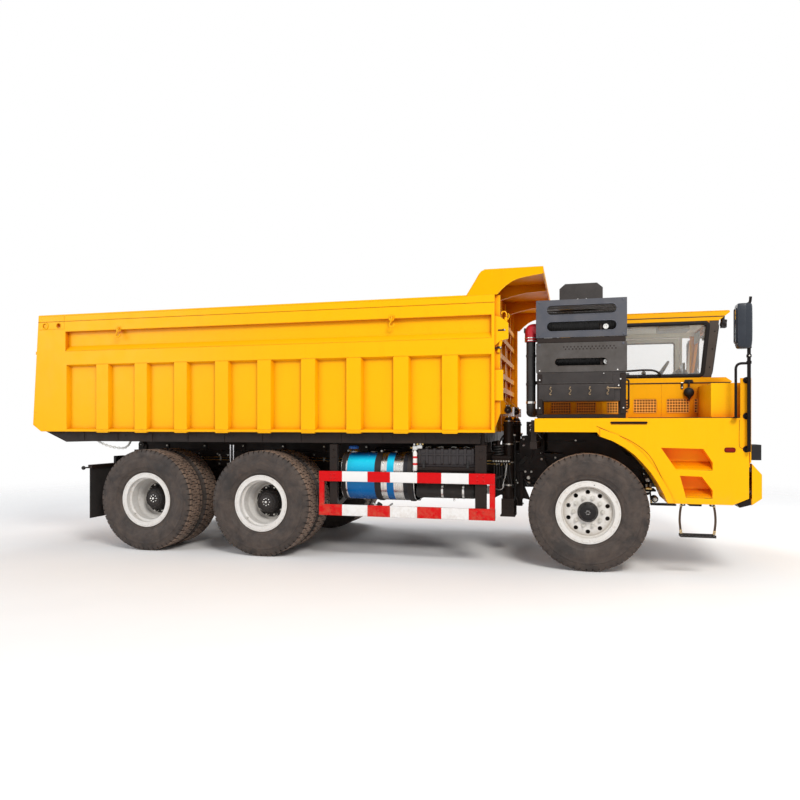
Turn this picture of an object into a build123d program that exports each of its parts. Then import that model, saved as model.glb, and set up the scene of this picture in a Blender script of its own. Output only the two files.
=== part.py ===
"""Three-axle mining dump truck with a tipping bed.

Frame: +X forward, +Y to the left, +Z up, origin on the ground under the middle of
the truck. Units are millimetres.
"""
import math
import os

from build123d import *

os.makedirs("parts", exist_ok=True)

# ---------------------------------------------------------------- driving sizes
FRONT_AXLE_X = 2900.0
FRONT_TO_MID = 4100.0
MID_TO_REAR = 1700.0
MID_AXLE_X = FRONT_AXLE_X - FRONT_TO_MID
REAR_AXLE_X = MID_AXLE_X - MID_TO_REAR
BOGIE_X = (MID_AXLE_X + REAR_AXLE_X) / 2

TYRE_OD = 1370.0
TYRE_W = 375.0
DUAL_GAP = 55.0        # between the two tyres of a twin wheel
AXLE_Z = TYRE_OD / 2
BEAD_R = 318.0
FLANGE_R = 368.0
RIM_HALF_W = 143.0
FLANGE_T = 16.0
RIM_T = 16.0
FRONT_TYRE_Y = 1370.0
REAR_OUTER_Y = 1470.0
REAR_INNER_Y = REAR_OUTER_Y - TYRE_W - DUAL_GAP
DUAL_FACE_Y = (REAR_OUTER_Y + REAR_INNER_Y) / 2

RUN_GAP = 5.0          # clearance between moving pieces
PIN_GAP = 0.5          # radial clearance of a pin in its bore
SEAT_GAP = 0.3         # gap where a face slides on another
GLASS_GAP = 0.5        # pane to its frame

RAIL_OUT_Y = 480.0
RAIL_IN_Y = 390.0
RAIL_Z0 = 960.0
RAIL_Z1 = 1320.0
RAIL_T = 12.0
RAIL_REAR_X = REAR_AXLE_X - 1000.0
RAIL_FRONT_X = 4450.0

BED_HINGE_X = REAR_AXLE_X - 850.0
BED_HINGE_Z = 1400.0
HINGE_PIN_R = 40.0
HINGE_BOSS_R = 70.0
BED_PAD_T = 10.0
SILL_Z0 = RAIL_Z1 + BED_PAD_T
BEARER_Z0 = 1475.0
FLOOR_Z0 = 1611.0
FLOOR_T = 20.0
FLOOR_Z1 = FLOOR_Z0 + FLOOR_T
SIDE_IN_Y = 1570.0
SIDE_OUT_Y = 1650.0
SIDE_H = 1614.0
SIDE_TOP_Z = FLOOR_Z1 + SIDE_H
SIDE_REAR_X = REAR_AXLE_X - 1811.0
SIDE_FRONT_X = 1834.0
HEAD_X = 1700.0
HEAD_T = 30.0

HOIST_X = 1900.0
HOIST_Y = 620.0
HOIST_BASE_Z = 650.0
HOIST_EYE_Z = 1900.0
HOIST_PIN_R = 40.0
EYE_PIN_R = 30.0

DECK_Z = 1780.0
DECK_T = 20.0
DECK_REAR_X = 2295.0
DECK_FRONT_X = 4588.0
FENDER_Y = 1600.0
SKIN_T = 16.0
HOOD_Y0 = -650.0
HOOD_Y1 = -66.0
CAB_Y0 = -50.0
CAB_Y1 = 1500.0
CAB_X0 = 2550.0
CAB_WALL = 40.0


# ---------------------------------------------------------------- shape helpers
def slab(x0, x1, y0, y1, z0, z1, mode=Mode.ADD):
    """Box between two corners."""
    with Locations(((x0 + x1) / 2, (y0 + y1) / 2, (z0 + z1) / 2)):
        Box(x1 - x0, y1 - y0, z1 - z0, mode=mode)


def rod(start, end, radius, mode=Mode.ADD):
    """Round bar between two points."""
    run = Vector(*end) - Vector(*start)
    with BuildSketch(Plane(origin=start, z_dir=run)) as end_face:
        Circle(radius)
    extrude(end_face.sketch, amount=run.length, mode=mode)


def profile_xz(points, y0, y1, mode=Mode.ADD):
    """Outline in X and Z, extruded from y0 to y1."""
    with BuildSketch(Plane.XZ.offset(-y0)) as outline:
        with BuildLine():
            Polyline(*points, close=True)
        make_face()
    extrude(outline.sketch, amount=y0 - y1, mode=mode)


def profile_yz(points, x0, x1, mode=Mode.ADD):
    """Outline in Y and Z, extruded from x0 to x1."""
    with BuildSketch(Plane.YZ.offset(x0)) as outline:
        with BuildLine():
            Polyline(*points, close=True)
        make_face()
    extrude(outline.sketch, amount=x1 - x0, mode=mode)


def ring_y(x, z, points, mode=Mode.ADD):
    """Closed outline of (y, radius) points turned about a Y axis through x, z."""
    with BuildSketch(Plane(origin=(x, 0, z), x_dir=(0, 1, 0), z_dir=(1, 0, 0))) as outline:
        with BuildLine():
            Polyline(*points, close=True)
        make_face()
    revolve(outline.sketch, axis=Axis((x, 0, z), (0, 1, 0)), mode=mode)


def leaf_pack(x, half_len, z_mid, sag, leaf_t, leaves, shorter, y0, y1, up):
    """Stack of curved leaves; up is +1 when the ends rise and -1 when they drop."""
    radius = (half_len ** 2 + sag ** 2) / (2 * sag)
    for i in range(leaves):
        reach = half_len - shorter * i
        near = radius + leaf_t * i
        far = near + leaf_t
        centre_z = z_mid + up * radius
        near_end = centre_z - up * math.sqrt(near ** 2 - reach ** 2)
        far_end = centre_z - up * math.sqrt(far ** 2 - reach ** 2)
        with BuildSketch(Plane.XZ.offset(-y0)) as leaf:
            with BuildLine():
                ThreePointArc((x - reach, near_end), (x, centre_z - up * near), (x + reach, near_end))
                Line((x + reach, near_end), (x + reach, far_end))
                ThreePointArc((x + reach, far_end), (x, centre_z - up * far), (x - reach, far_end))
                Line((x - reach, far_end), (x - reach, near_end))
            make_face()
        extrude(leaf.sketch, amount=y0 - y1)


def save(builder, name):
    """Label a finished piece and write its file."""
    builder.part.label = name
    export_step(builder.part, f"parts/{name}.step")


# ---------------------------------------------------------------- wheels
def tyre_section(centre_y):
    """Hollow tyre section as (y, radius) points about its centre plane."""
    seat = BEAD_R + SEAT_GAP
    bead = RIM_HALF_W - FLANGE_T
    half_w = TYRE_W / 2
    crown = TYRE_OD / 2
    bulge = FLANGE_R + 0.48 * (crown - FLANGE_R)
    outer = [(bead, seat), (bead, FLANGE_R), (half_w - 30, FLANGE_R + 40), (half_w - 8, bulge - 60),
             (half_w, bulge), (half_w - 3, bulge + 70), (half_w - 14, crown - 37), (half_w - 26, crown - 6),
             (half_w - 40, crown)]
    inner = [(half_w - 70, crown - 51), (half_w - 34, crown - 85), (half_w - 24, bulge),
             (half_w - 32, bulge - 60), (half_w - 54, FLANGE_R + 47), (bead - 16, FLANGE_R + 17),
             (bead - 16, seat)]
    half = outer + [(0, crown), (0, crown - 43)] + inner
    left = [(centre_y + y, r) for y, r in half]
    right = [(centre_y - y, r) for y, r in half]
    return left, right


def rim_section(centre_y):
    """Barrel and flanges as (y, radius) points."""
    w = RIM_HALF_W
    b = w - FLANGE_T
    outline = [(-w, BEAD_R - RIM_T), (-w, FLANGE_R), (-b, FLANGE_R), (-b, BEAD_R), (-70, BEAD_R),
               (-50, BEAD_R - 22), (50, BEAD_R - 22), (70, BEAD_R), (b, BEAD_R), (b, FLANGE_R),
               (w, FLANGE_R), (w, BEAD_R - RIM_T), (78, BEAD_R - RIM_T), (58, BEAD_R - 38),
               (-58, BEAD_R - 38), (-78, BEAD_R - RIM_T)]
    return [(centre_y + y, r) for y, r in outline]


SPINDLE_R = 50.0
HUB_BORE_R = SPINDLE_R + PIN_GAP
REAR_SPINDLE_R = 85.0
REAR_HUB_BORE_R = REAR_SPINDLE_R + PIN_GAP
REAR_SPINDLE_END_Y = 1300.0
FRONT_SPINDLE_END_Y = 1500.0
HUB_IN_Y = REAR_INNER_Y - 135.0
NUT_CIRCLE_R = 167.5
HAND_HOLE_CIRCLE_R = 232.0

# side is -1 on the right and +1 on the left
front_wheels = [("front_right", -1), ("front_left", 1)]
for name, side in front_wheels:
    cy = side * FRONT_TYRE_Y
    with BuildPart() as tyre:
        for half in tyre_section(cy):
            ring_y(FRONT_AXLE_X, AXLE_Z, half)
    save(tyre, f"tyre_{name}")

    with BuildPart() as rim:
        ring_y(FRONT_AXLE_X, AXLE_Z, rim_section(cy))
        disc = [(62, 118), (62, 205), (48, 262), (40, 290), (58, 290), (66, 268), (82, 208), (82, 118)]
        ring_y(FRONT_AXLE_X, AXLE_Z, [(cy + side * y, r) for y, r in disc])
        hub = [(-120, HUB_BORE_R), (-120, 100), (-60, 100), (-60, 200), (62, 200), (62, 125),
               (118, 105), (150, 92), (158, 60), (158, 0), (138, 0), (138, HUB_BORE_R)]
        ring_y(FRONT_AXLE_X, AXLE_Z, [(cy + side * y, r) for y, r in hub])
        with BuildSketch(Plane(origin=(FRONT_AXLE_X, cy + side * 82, AXLE_Z),
                               x_dir=(1, 0, 0), z_dir=(0, side, 0))):
            with PolarLocations(NUT_CIRCLE_R, 10):
                RegularPolygon(19, 6)
        extrude(amount=26)
        with BuildSketch(Plane(origin=(FRONT_AXLE_X, cy + side * 130, AXLE_Z),
                               x_dir=(1, 0, 0), z_dir=(0, -side, 0))):
            with PolarLocations(HAND_HOLE_CIRCLE_R, 10, start_angle=18):
                Circle(26)
        extrude(amount=110, mode=Mode.SUBTRACT)
    save(rim, f"rim_{name}")

rear_wheels = [("mid_right", MID_AXLE_X, -1), ("mid_left", MID_AXLE_X, 1),
               ("rear_right", REAR_AXLE_X, -1), ("rear_left", REAR_AXLE_X, 1)]
for name, ax, side in rear_wheels:
    with BuildPart() as tyre:
        for cy in (side * REAR_OUTER_Y, side * REAR_INNER_Y):
            for half in tyre_section(cy):
                ring_y(ax, AXLE_Z, half)
    save(tyre, f"tyre_{name}")

    with BuildPart() as rim:
        # flat of each disc lies on the shared face between the two wheels
        for cy, out in ((REAR_OUTER_Y, 1), (REAR_INNER_Y, -1)):
            ring_y(ax, AXLE_Z, rim_section(side * cy))
            flat = DUAL_FACE_Y - cy
            disc = [(flat, 140), (flat, 240), (flat + out * 22, 262), (-out * 128, 285),
                    (-out * 100, 306), (-out * 84, 306), (-out * 84, 296), (-out * 110, 280),
                    (flat + out * 34, 246), (flat + out * 18, 232), (flat + out * 18, 140)]
            ring_y(ax, AXLE_Z, [(side * (cy + y), r) for y, r in disc])
        hub = [(HUB_IN_Y, 198), (HUB_IN_Y, 214), (DUAL_FACE_Y - 18, 214), (DUAL_FACE_Y - 18, 140),
               (1400, 140), (1425, 125), (1430, 90), (1430, 0), (1310, 0), (1310, REAR_HUB_BORE_R),
               (1180, REAR_HUB_BORE_R), (1180, 198)]
        ring_y(ax, AXLE_Z, [(side * y, r) for y, r in hub])
        with BuildSketch(Plane(origin=(ax, side * (DUAL_FACE_Y + 18), AXLE_Z),
                               x_dir=(1, 0, 0), z_dir=(0, side, 0))):
            with PolarLocations(NUT_CIRCLE_R + 20, 10):
                RegularPolygon(19, 6)
        extrude(amount=26)
    save(rim, f"rim_{name}")

# ---------------------------------------------------------------- chassis frame
TOW_EYE_R = 30.0
TOW_LUG_T = 40.0
TOW_REAR_X = RAIL_REAR_X - 55.0
TOW_REAR_Z = 1100.0
FRONT_TOW_R = 25.0
FRONT_TOW_T = 30.0
FRONT_TOW_Y = 450.0
FRONT_TOW_X = 4590.0
FRONT_TOW_Z = 775.0
FRONT_BEAM_X0 = 4450.0
FRONT_BEAM_X1 = 4560.0
BUMPER_BRACKET_YS = (-1150, -450, 450, 1150)
# middle x, z0, z1
cross_members = [(REAR_AXLE_X - 100, 1080, 1300), (BOGIE_X, 1080, 1300), (MID_AXLE_X + 150, 1080, 1300),
                 (-100, 1080, 1300), (900, 1080, 1300), (1780, 1080, 1300), (4340, 975, 1150)]
EAR_T = 20.0
PAD_XS = (-2500, -500, 1400)
FRONT_SPRING_Y = 435.0
FRONT_SPRING_W = 80.0
FRONT_SPRING_HALF = 750.0
FRONT_SPRING_EYE_Z = 930.0
SPRING_EYE_R = 26.0
HANGER_T = 12.0
HANGER_Y = FRONT_SPRING_W / 2

with BuildPart() as chassis_frame:
    slab(RAIL_REAR_X, RAIL_FRONT_X, RAIL_OUT_Y - RAIL_T, RAIL_OUT_Y, RAIL_Z0, RAIL_Z1)
    slab(RAIL_REAR_X, RAIL_FRONT_X, RAIL_IN_Y, RAIL_OUT_Y, RAIL_Z0, RAIL_Z0 + RAIL_T)
    slab(RAIL_REAR_X, RAIL_FRONT_X, RAIL_IN_Y, RAIL_OUT_Y, RAIL_Z1 - RAIL_T, RAIL_Z1)
    # rest pads under the bed sills
    for px in PAD_XS:
        slab(px - 100, px + 100, RAIL_IN_Y + 10, RAIL_OUT_Y - 10, RAIL_Z1, SILL_Z0)
    # hinge ears outside and inside each rail, with the pin between them
    for ear0, ear1 in ((RAIL_OUT_Y, RAIL_OUT_Y + EAR_T), (RAIL_IN_Y - EAR_T, RAIL_IN_Y)):
        slab(BED_HINGE_X - 60, BED_HINGE_X + 80, ear0, ear1, BED_HINGE_Z - 245, BED_HINGE_Z)
        rod((BED_HINGE_X, ear0, BED_HINGE_Z), (BED_HINGE_X, ear1, BED_HINGE_Z), 60)
    rod((BED_HINGE_X, RAIL_IN_Y - EAR_T - 10, BED_HINGE_Z),
        (BED_HINGE_X, RAIL_OUT_Y + EAR_T + 10, BED_HINGE_Z), HINGE_PIN_R)
    # front spring hangers
    for hx in (FRONT_AXLE_X - FRONT_SPRING_HALF, FRONT_AXLE_X + FRONT_SPRING_HALF):
        for hy in (FRONT_SPRING_Y - HANGER_Y - HANGER_T, FRONT_SPRING_Y + HANGER_Y):
            slab(hx - 40, hx + 40, hy, hy + HANGER_T, FRONT_SPRING_EYE_Z - 38, RAIL_Z0 + 10)
    mirror(about=Plane.XZ)
    for cx, z0, z1 in cross_members:
        slab(cx - 40, cx + 40, -RAIL_OUT_Y + 2, RAIL_OUT_Y - 2, z0, z1)
        slab(cx - 28, cx + 41, -RAIL_OUT_Y + RAIL_T, RAIL_OUT_Y - RAIL_T, z0 + 12, z1 - 12, Mode.SUBTRACT)
    # rear closing plate and tow lug
    slab(RAIL_REAR_X, RAIL_REAR_X + 20, -RAIL_OUT_Y, RAIL_OUT_Y, RAIL_Z0, RAIL_Z1 - 60)
    slab(TOW_REAR_X, RAIL_REAR_X, -TOW_LUG_T / 2, TOW_LUG_T / 2, TOW_REAR_Z - 65, TOW_REAR_Z + 65)
    rod((TOW_REAR_X, -TOW_LUG_T / 2, TOW_REAR_Z), (TOW_REAR_X, TOW_LUG_T / 2, TOW_REAR_Z), 65)
    rod((TOW_REAR_X, -TOW_LUG_T, TOW_REAR_Z), (TOW_REAR_X, TOW_LUG_T, TOW_REAR_Z), TOW_EYE_R, Mode.SUBTRACT)
    # radiator seat
    slab(4290, RAIL_FRONT_X, -640, 470, RAIL_Z1, RAIL_Z1 + 20)
save(chassis_frame, "chassis_frame")

with BuildPart() as front_beam:
    slab(FRONT_BEAM_X0, FRONT_BEAM_X1, -1300, 1300, 930, 1150)
    slab(FRONT_BEAM_X0 + 14, FRONT_BEAM_X1 - 14, -1310, 1310, 944, 1136, Mode.SUBTRACT)
    # brackets that carry the bumper
    for by in BUMPER_BRACKET_YS:
        slab(FRONT_BEAM_X1, 4690, by - 40, by + 40, 980, 1100)
    for ty in (-FRONT_TOW_Y, FRONT_TOW_Y):
        y0 = ty - FRONT_TOW_T / 2
        y1 = ty + FRONT_TOW_T / 2
        profile_xz([(FRONT_BEAM_X0 + 10, 935), (FRONT_BEAM_X1 - 10, 935), (FRONT_TOW_X + 45, FRONT_TOW_Z),
                    (FRONT_TOW_X, FRONT_TOW_Z - 45), (FRONT_TOW_X - 60, FRONT_TOW_Z)], y0, y1)
        rod((FRONT_TOW_X, y0, FRONT_TOW_Z), (FRONT_TOW_X, y1, FRONT_TOW_Z), 50)
        rod((FRONT_TOW_X, y0 - 5, FRONT_TOW_Z), (FRONT_TOW_X, y1 + 5, FRONT_TOW_Z), FRONT_TOW_R,
            Mode.SUBTRACT)
save(front_beam, "front_beam")

# arms bolted to the rails; every arm is a solid of its own
GUARD_Y0 = 1560.0
GUARD_Y1 = 1600.0
ARM_Z0 = 985.0
ARM_Z1 = 1065.0
TANK_IN_Y = 800.0
FLAP_X = REAR_AXLE_X - 870.0
FLAP_OUT_Y = 1640.0
FLAP_ROD_X = FLAP_X - 114.0
# name, x0, x1, outer y, z0, z1
straight_arms = [
    ("tank rear", 0, 80, TANK_IN_Y, 1050, 1150),
    ("tank front", 560, 640, TANK_IN_Y, 1050, 1150),
    ("battery rear", 900, 960, 900, 1180, 1260),
    ("battery front", 1300, 1360, 900, 1180, 1260),
]
with BuildPart() as outriggers:
    for label, x0, x1, y1, z0, z1 in straight_arms:
        slab(x0, x1, RAIL_OUT_Y, y1, z0, z1)
    # side guard arms with their hanging plates
    for x0, x1, plate0, plate1 in ((-265, -190, -265, -165), (1590, 1650, 1590, 1725)):
        slab(x0, x1, RAIL_OUT_Y, GUARD_Y0, ARM_Z0, ARM_Z1)
        slab(plate0, plate1, GUARD_Y0 - 14, GUARD_Y0, 575, 1455)
    # mudflap arm
    slab(FLAP_X - 30, FLAP_X + 30, RAIL_OUT_Y, FLAP_OUT_Y, 1100, 1150)
    # deck supports behind and ahead of the front wheel
    slab(2200, 2360, RAIL_OUT_Y, RAIL_OUT_Y + 14, 1000, 1500)
    slab(2240, 2320, RAIL_OUT_Y, 1560, 1420, 1500)
    for p0, p1 in ((560, 640), (1440, 1520)):
        slab(2250, 2310, p0, p1, 1490, DECK_Z - DECK_T)
    slab(4110, 4232, RAIL_OUT_Y, RAIL_OUT_Y + 14, 1060, 1480)
    slab(4150, 4230, RAIL_OUT_Y, 760, 1400, 1480)
    slab(4150, 4230, 690, 760, 1470, DECK_Z - DECK_T)
    mirror(about=Plane.XZ)
save(outriggers, "outriggers")

with BuildPart() as hoist_brackets:
    slab(HOIST_X - 95, HOIST_X + 95, RAIL_OUT_Y, RAIL_OUT_Y + 20, 505, 1250)
    slab(HOIST_X - 80, HOIST_X + 80, 740, 760, 505, 740)
    slab(HOIST_X - 95, HOIST_X + 95, RAIL_OUT_Y, 760, 505, 525)
    rod((HOIST_X, RAIL_OUT_Y, HOIST_BASE_Z), (HOIST_X, 770, HOIST_BASE_Z), HOIST_PIN_R)
    mirror(about=Plane.XZ)
save(hoist_brackets, "hoist_brackets")

# ---------------------------------------------------------------- axles and springs
KINGPIN_Y = 1130.0
KINGPIN_R = 35.0
BOSS_R = 62.0
BOSS_Z0 = 610.0
BOSS_Z1 = 760.0
AXLE_PAD_Z = 710.0
with BuildPart() as front_axle:
    profile_yz([(-1100, 750), (-740, 724), (-600, 690), (600, 690), (740, 724), (1100, 750),
                (1100, 622), (740, 600), (600, 560), (-600, 560), (-740, 600), (-1100, 622)],
               FRONT_AXLE_X - 55, FRONT_AXLE_X + 55)
    for x0, x1 in ((FRONT_AXLE_X - 60, FRONT_AXLE_X - 20), (FRONT_AXLE_X + 20, FRONT_AXLE_X + 60)):
        slab(x0, x1, -590, 590, 585, 665, Mode.SUBTRACT)
    for ky in (-KINGPIN_Y, KINGPIN_Y):
        rod((FRONT_AXLE_X, ky, BOSS_Z0), (FRONT_AXLE_X, ky, BOSS_Z1), BOSS_R)
        rod((FRONT_AXLE_X, ky, BOSS_Z0 - 1), (FRONT_AXLE_X, ky, BOSS_Z1 + 1), KINGPIN_R + PIN_GAP,
            Mode.SUBTRACT)
    for sy in (-FRONT_SPRING_Y, FRONT_SPRING_Y):
        slab(FRONT_AXLE_X - 110, FRONT_AXLE_X + 110, sy - 55, sy + 55, 685, AXLE_PAD_Z)
save(front_axle, "front_axle")

TIE_BACK = 250.0
TIE_PIN_R = 14.0
TIE_X = FRONT_AXLE_X - TIE_BACK
ARM_BOTTOM_Z = 575.0
TIE_Z0 = 535.0
TIE_Z1 = ARM_BOTTOM_Z - SEAT_GAP
for name, side in (("right", -1), ("left", 1)):
    ky = side * KINGPIN_Y
    with BuildPart() as knuckle:
        rod((FRONT_AXLE_X, ky, 556), (FRONT_AXLE_X, ky, 814), KINGPIN_R)
        for z0, z1 in ((555, BOSS_Z0 - RUN_GAP), (BOSS_Z1 + RUN_GAP, 815)):
            rod((FRONT_AXLE_X, ky, z0), (FRONT_AXLE_X, ky, z1), 58)
            slab(FRONT_AXLE_X - 55, FRONT_AXLE_X + 55, min(ky, side * 1222), max(ky, side * 1222), z0, z1)
        slab(FRONT_AXLE_X - 90, FRONT_AXLE_X + 90, min(side * 1197, side * 1224),
             max(side * 1197, side * 1224), 555, 815)
        rod((FRONT_AXLE_X, side * 1220, AXLE_Z), (FRONT_AXLE_X, side * FRONT_SPINDLE_END_Y, AXLE_Z),
            SPINDLE_R)
        slab(TIE_X, FRONT_AXLE_X, ky - 32, ky + 32, ARM_BOTTOM_Z, BOSS_Z0 - RUN_GAP)
        rod((TIE_X, ky, ARM_BOTTOM_Z), (TIE_X, ky, BOSS_Z0 - RUN_GAP), 36)
        rod((TIE_X, ky, TIE_Z0 - 6), (TIE_X, ky, ARM_BOTTOM_Z), TIE_PIN_R)
    save(knuckle, f"knuckle_{name}")

with BuildPart() as tie_rod:
    rod((TIE_X, -KINGPIN_Y, (TIE_Z0 + TIE_Z1) / 2), (TIE_X, KINGPIN_Y, (TIE_Z0 + TIE_Z1) / 2), 19)
    for ky in (-KINGPIN_Y, KINGPIN_Y):
        rod((TIE_X, ky, TIE_Z0), (TIE_X, ky, TIE_Z1), 34)
    for ky in (-KINGPIN_Y, KINGPIN_Y):
        rod((TIE_X, ky, TIE_Z0 - 1), (TIE_X, ky, TIE_Z1 + 1), TIE_PIN_R + PIN_GAP, Mode.SUBTRACT)
save(tie_rod, "tie_rod")

REAR_SPRING_Y = 590.0
REAR_SPRING_W = 100.0
REAR_TUBE_R = 105.0
REAR_PAD_Z = 815.0
REAR_SPRING_Z = 925.0
RADIUS_ROD_Z = 600.0
SHAFT_Z = 765.0
TRUNNION_Z = 620.0
TRUNNION_HALF_X = 110.0
with BuildPart() as rear_axles:
    for ax in (MID_AXLE_X, REAR_AXLE_X):
        rod((ax, -REAR_SPINDLE_END_Y, AXLE_Z), (ax, REAR_SPINDLE_END_Y, AXLE_Z), REAR_SPINDLE_R)
        rod((ax, 25 - HUB_IN_Y, AXLE_Z), (ax, HUB_IN_Y - 25, AXLE_Z), REAR_TUBE_R)
        rod((ax - 130, 0, AXLE_Z), (ax + 130, 0, AXLE_Z), 225)
        rod((ax, -190, AXLE_Z), (ax, 190, AXLE_Z), 180)
        for sy in (-REAR_SPRING_Y, REAR_SPRING_Y):
            slab(ax - 75, ax + 75, sy - 55, sy + 55, AXLE_Z, REAR_PAD_Z)
            rod((ax, sy - 40, RADIUS_ROD_Z), (ax, sy + 40, RADIUS_ROD_Z), 34)
            slab(ax - 30, ax + 30, sy - 40, sy + 40, RADIUS_ROD_Z, AXLE_Z)
            # lower radius rod to the trunnion
            side = 1 if ax > BOGIE_X else -1
            rod((ax, sy, RADIUS_ROD_Z), (BOGIE_X + side * TRUNNION_HALF_X, sy, RADIUS_ROD_Z), 26)
    # propeller shafts
    rod((1940, 0, 1010), (MID_AXLE_X + 100, 0, SHAFT_Z), 52)
    rod((MID_AXLE_X, 0, SHAFT_Z), (REAR_AXLE_X + 100, 0, SHAFT_Z), 48)
save(rear_axles, "rear_axles")

with BuildPart() as bogie_trunnion:
    slab(BOGIE_X - 200, BOGIE_X + 200, RAIL_OUT_Y, RAIL_OUT_Y + 22, 900, 1300)
    slab(BOGIE_X - 120, BOGIE_X + 120, RAIL_OUT_Y, RAIL_OUT_Y + 22, 570, 920)
    rod((BOGIE_X, 0, TRUNNION_Z), (BOGIE_X, 700, TRUNNION_Z), 50)
    slab(BOGIE_X - TRUNNION_HALF_X, BOGIE_X + TRUNNION_HALF_X, REAR_SPRING_Y - 55, REAR_SPRING_Y + 55,
         560, REAR_SPRING_Z - 2)
    mirror(about=Plane.XZ)
save(bogie_trunnion, "bogie_trunnion")

with BuildPart() as leaf_springs:
    y0 = FRONT_SPRING_Y - FRONT_SPRING_W / 2
    y1 = FRONT_SPRING_Y + FRONT_SPRING_W / 2
    leaf_pack(FRONT_AXLE_X, FRONT_SPRING_HALF, 790, FRONT_SPRING_EYE_Z - 790, 16, 5, 120, y0, y1, 1)
    for hx in (FRONT_AXLE_X - FRONT_SPRING_HALF, FRONT_AXLE_X + FRONT_SPRING_HALF):
        rod((hx, y0, FRONT_SPRING_EYE_Z - 8), (hx, y1, FRONT_SPRING_EYE_Z - 8), SPRING_EYE_R)
    for ux in (-90, 90):
        for uy in (y0 - 8, y1 + 8):
            rod((FRONT_AXLE_X + ux, uy, AXLE_PAD_Z), (FRONT_AXLE_X + ux, uy, 830), 10)
    slab(FRONT_AXLE_X - 105, FRONT_AXLE_X + 105, y0 - 20, y1 + 20, 789, 812)
    y0 = REAR_SPRING_Y - REAR_SPRING_W / 2
    y1 = REAR_SPRING_Y + REAR_SPRING_W / 2
    leaf_pack(BOGIE_X, 890, REAR_SPRING_Z, 110, 25, 6, 110, y0, y1, -1)
    for ux in (-90, 90):
        for uy in (y0 - 19, y1 + 19):
            rod((BOGIE_X + ux, uy, 700), (BOGIE_X + ux, uy, REAR_SPRING_Z + 215), 14)
    slab(BOGIE_X - 120, BOGIE_X + 120, y0 - 36, y1 + 36, REAR_SPRING_Z + 147, REAR_SPRING_Z + 173)
    mirror(about=Plane.XZ)
save(leaf_springs, "leaf_springs")

# ---------------------------------------------------------------- drive
ENGINE_X0 = 2560.0
ENGINE_X1 = 3900.0
with BuildPart() as engine_block:
    slab(ENGINE_X0, ENGINE_X1, -370, 370, 900, 1690)
    slab(ENGINE_X0 + 40, ENGINE_X1 - 50, -560, -110, 1680, 2140)
    slab(1950, ENGINE_X0, -200, 200, 850, 1250)
    for mx in (2650, 3650):
        slab(mx, mx + 100, -RAIL_OUT_Y + RAIL_T, RAIL_OUT_Y - RAIL_T, 1060, 1160)
    # fan and shroud
    rod((ENGINE_X1, -330, 1560), (4250, -330, 1560), 60)
    rod((4238, -330, 1560), (4284, -330, 1560), 240)
save(engine_block, "engine_block")

with BuildPart() as radiator:
    slab(4300, 4440, -620, -90, RAIL_Z1 + 20, 2110)
    slab(4425, 4450, -590, -120, RAIL_Z1 + 80, 2060, Mode.SUBTRACT)
save(radiator, "radiator")

# ---------------------------------------------------------------- tanks and boxes
TANK_X0 = -154.0
TANK_X1 = 809.0
TANK_Z0 = 743.0
TANK_Z1 = 1348.0
TANK_OUT_Y = 1450.0
with BuildPart() as fuel_tank:
    with BuildSketch(Plane.YZ.offset(TANK_X0)) as section:
        with Locations((-(TANK_OUT_Y + TANK_IN_Y) / 2, (TANK_Z0 + TANK_Z1) / 2)):
            Rectangle(TANK_OUT_Y - TANK_IN_Y, TANK_Z1 - TANK_Z0)
        fillet(section.vertices().group_by(Axis.X)[0], 220)
        fillet(section.vertices().group_by(Axis.X)[-1], 70)
    extrude(amount=TANK_X1 - TANK_X0)
    rod((-70, -1180, TANK_Z1 - 10), (-70, -1180, 1392), 44)
    rod((-70, -1180, 1390), (-70, -1180, 1422), 56)
save(fuel_tank, "fuel_tank")

with BuildPart() as hydraulic_tank:
    slab(TANK_X0, 700, TANK_IN_Y, TANK_OUT_Y, 760, 1340)
    fillet(hydraulic_tank.edges().filter_by(Axis.X), 50)
    rod((0, 1130, 1330), (0, 1130, 1410), 60)
save(hydraulic_tank, "hydraulic_tank")

with BuildPart() as battery_box:
    slab(860, 1573, -1450, -900, 1137, 1330)
    slab(852, 1581, -1458, -892, 1330, 1402)
    # air reservoirs hang from two plates under the box
    for ty in (-1350, -1080):
        rod((855, ty, 883.5), (1542, ty, 883.5), 92.5)
        rod((820, ty, 883.5), (1575, ty, 883.5), 60)
    for px in (950, 1430):
        slab(px, px + 14, -1400, -1030, 883, 1140)
    # tool locker on the left
    slab(860, 1573, 900, 1450, 830, 1402)
save(battery_box, "battery_box")

GUARD_X0 = -396.0
GUARD_X1 = 1833.0
with BuildPart() as side_guards:
    for z0, z1 in ((990, 1120), (560, 700)):
        slab(GUARD_X0, GUARD_X1, GUARD_Y0, GUARD_Y1, z0, z1)
    for x0, x1 in ((GUARD_X0, GUARD_X0 + 66), (GUARD_X1 - 64, GUARD_X1)):
        slab(x0, x1, GUARD_Y0, GUARD_Y1, 560, 1120)
    mirror(about=Plane.XZ)
save(side_guards, "side_guards")

with BuildPart() as mudflaps:
    slab(FLAP_X - 6, FLAP_X + 6, REAR_INNER_Y - 160, FLAP_OUT_Y, 409, 1100)
    rod((FLAP_ROD_X, RAIL_OUT_Y, 1104), (FLAP_ROD_X, 1625, 1104), 10)
    with Locations((FLAP_ROD_X, 1630, 1104)):
        Sphere(28)
    mirror(about=Plane.XZ)
save(mudflaps, "mudflaps")

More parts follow.
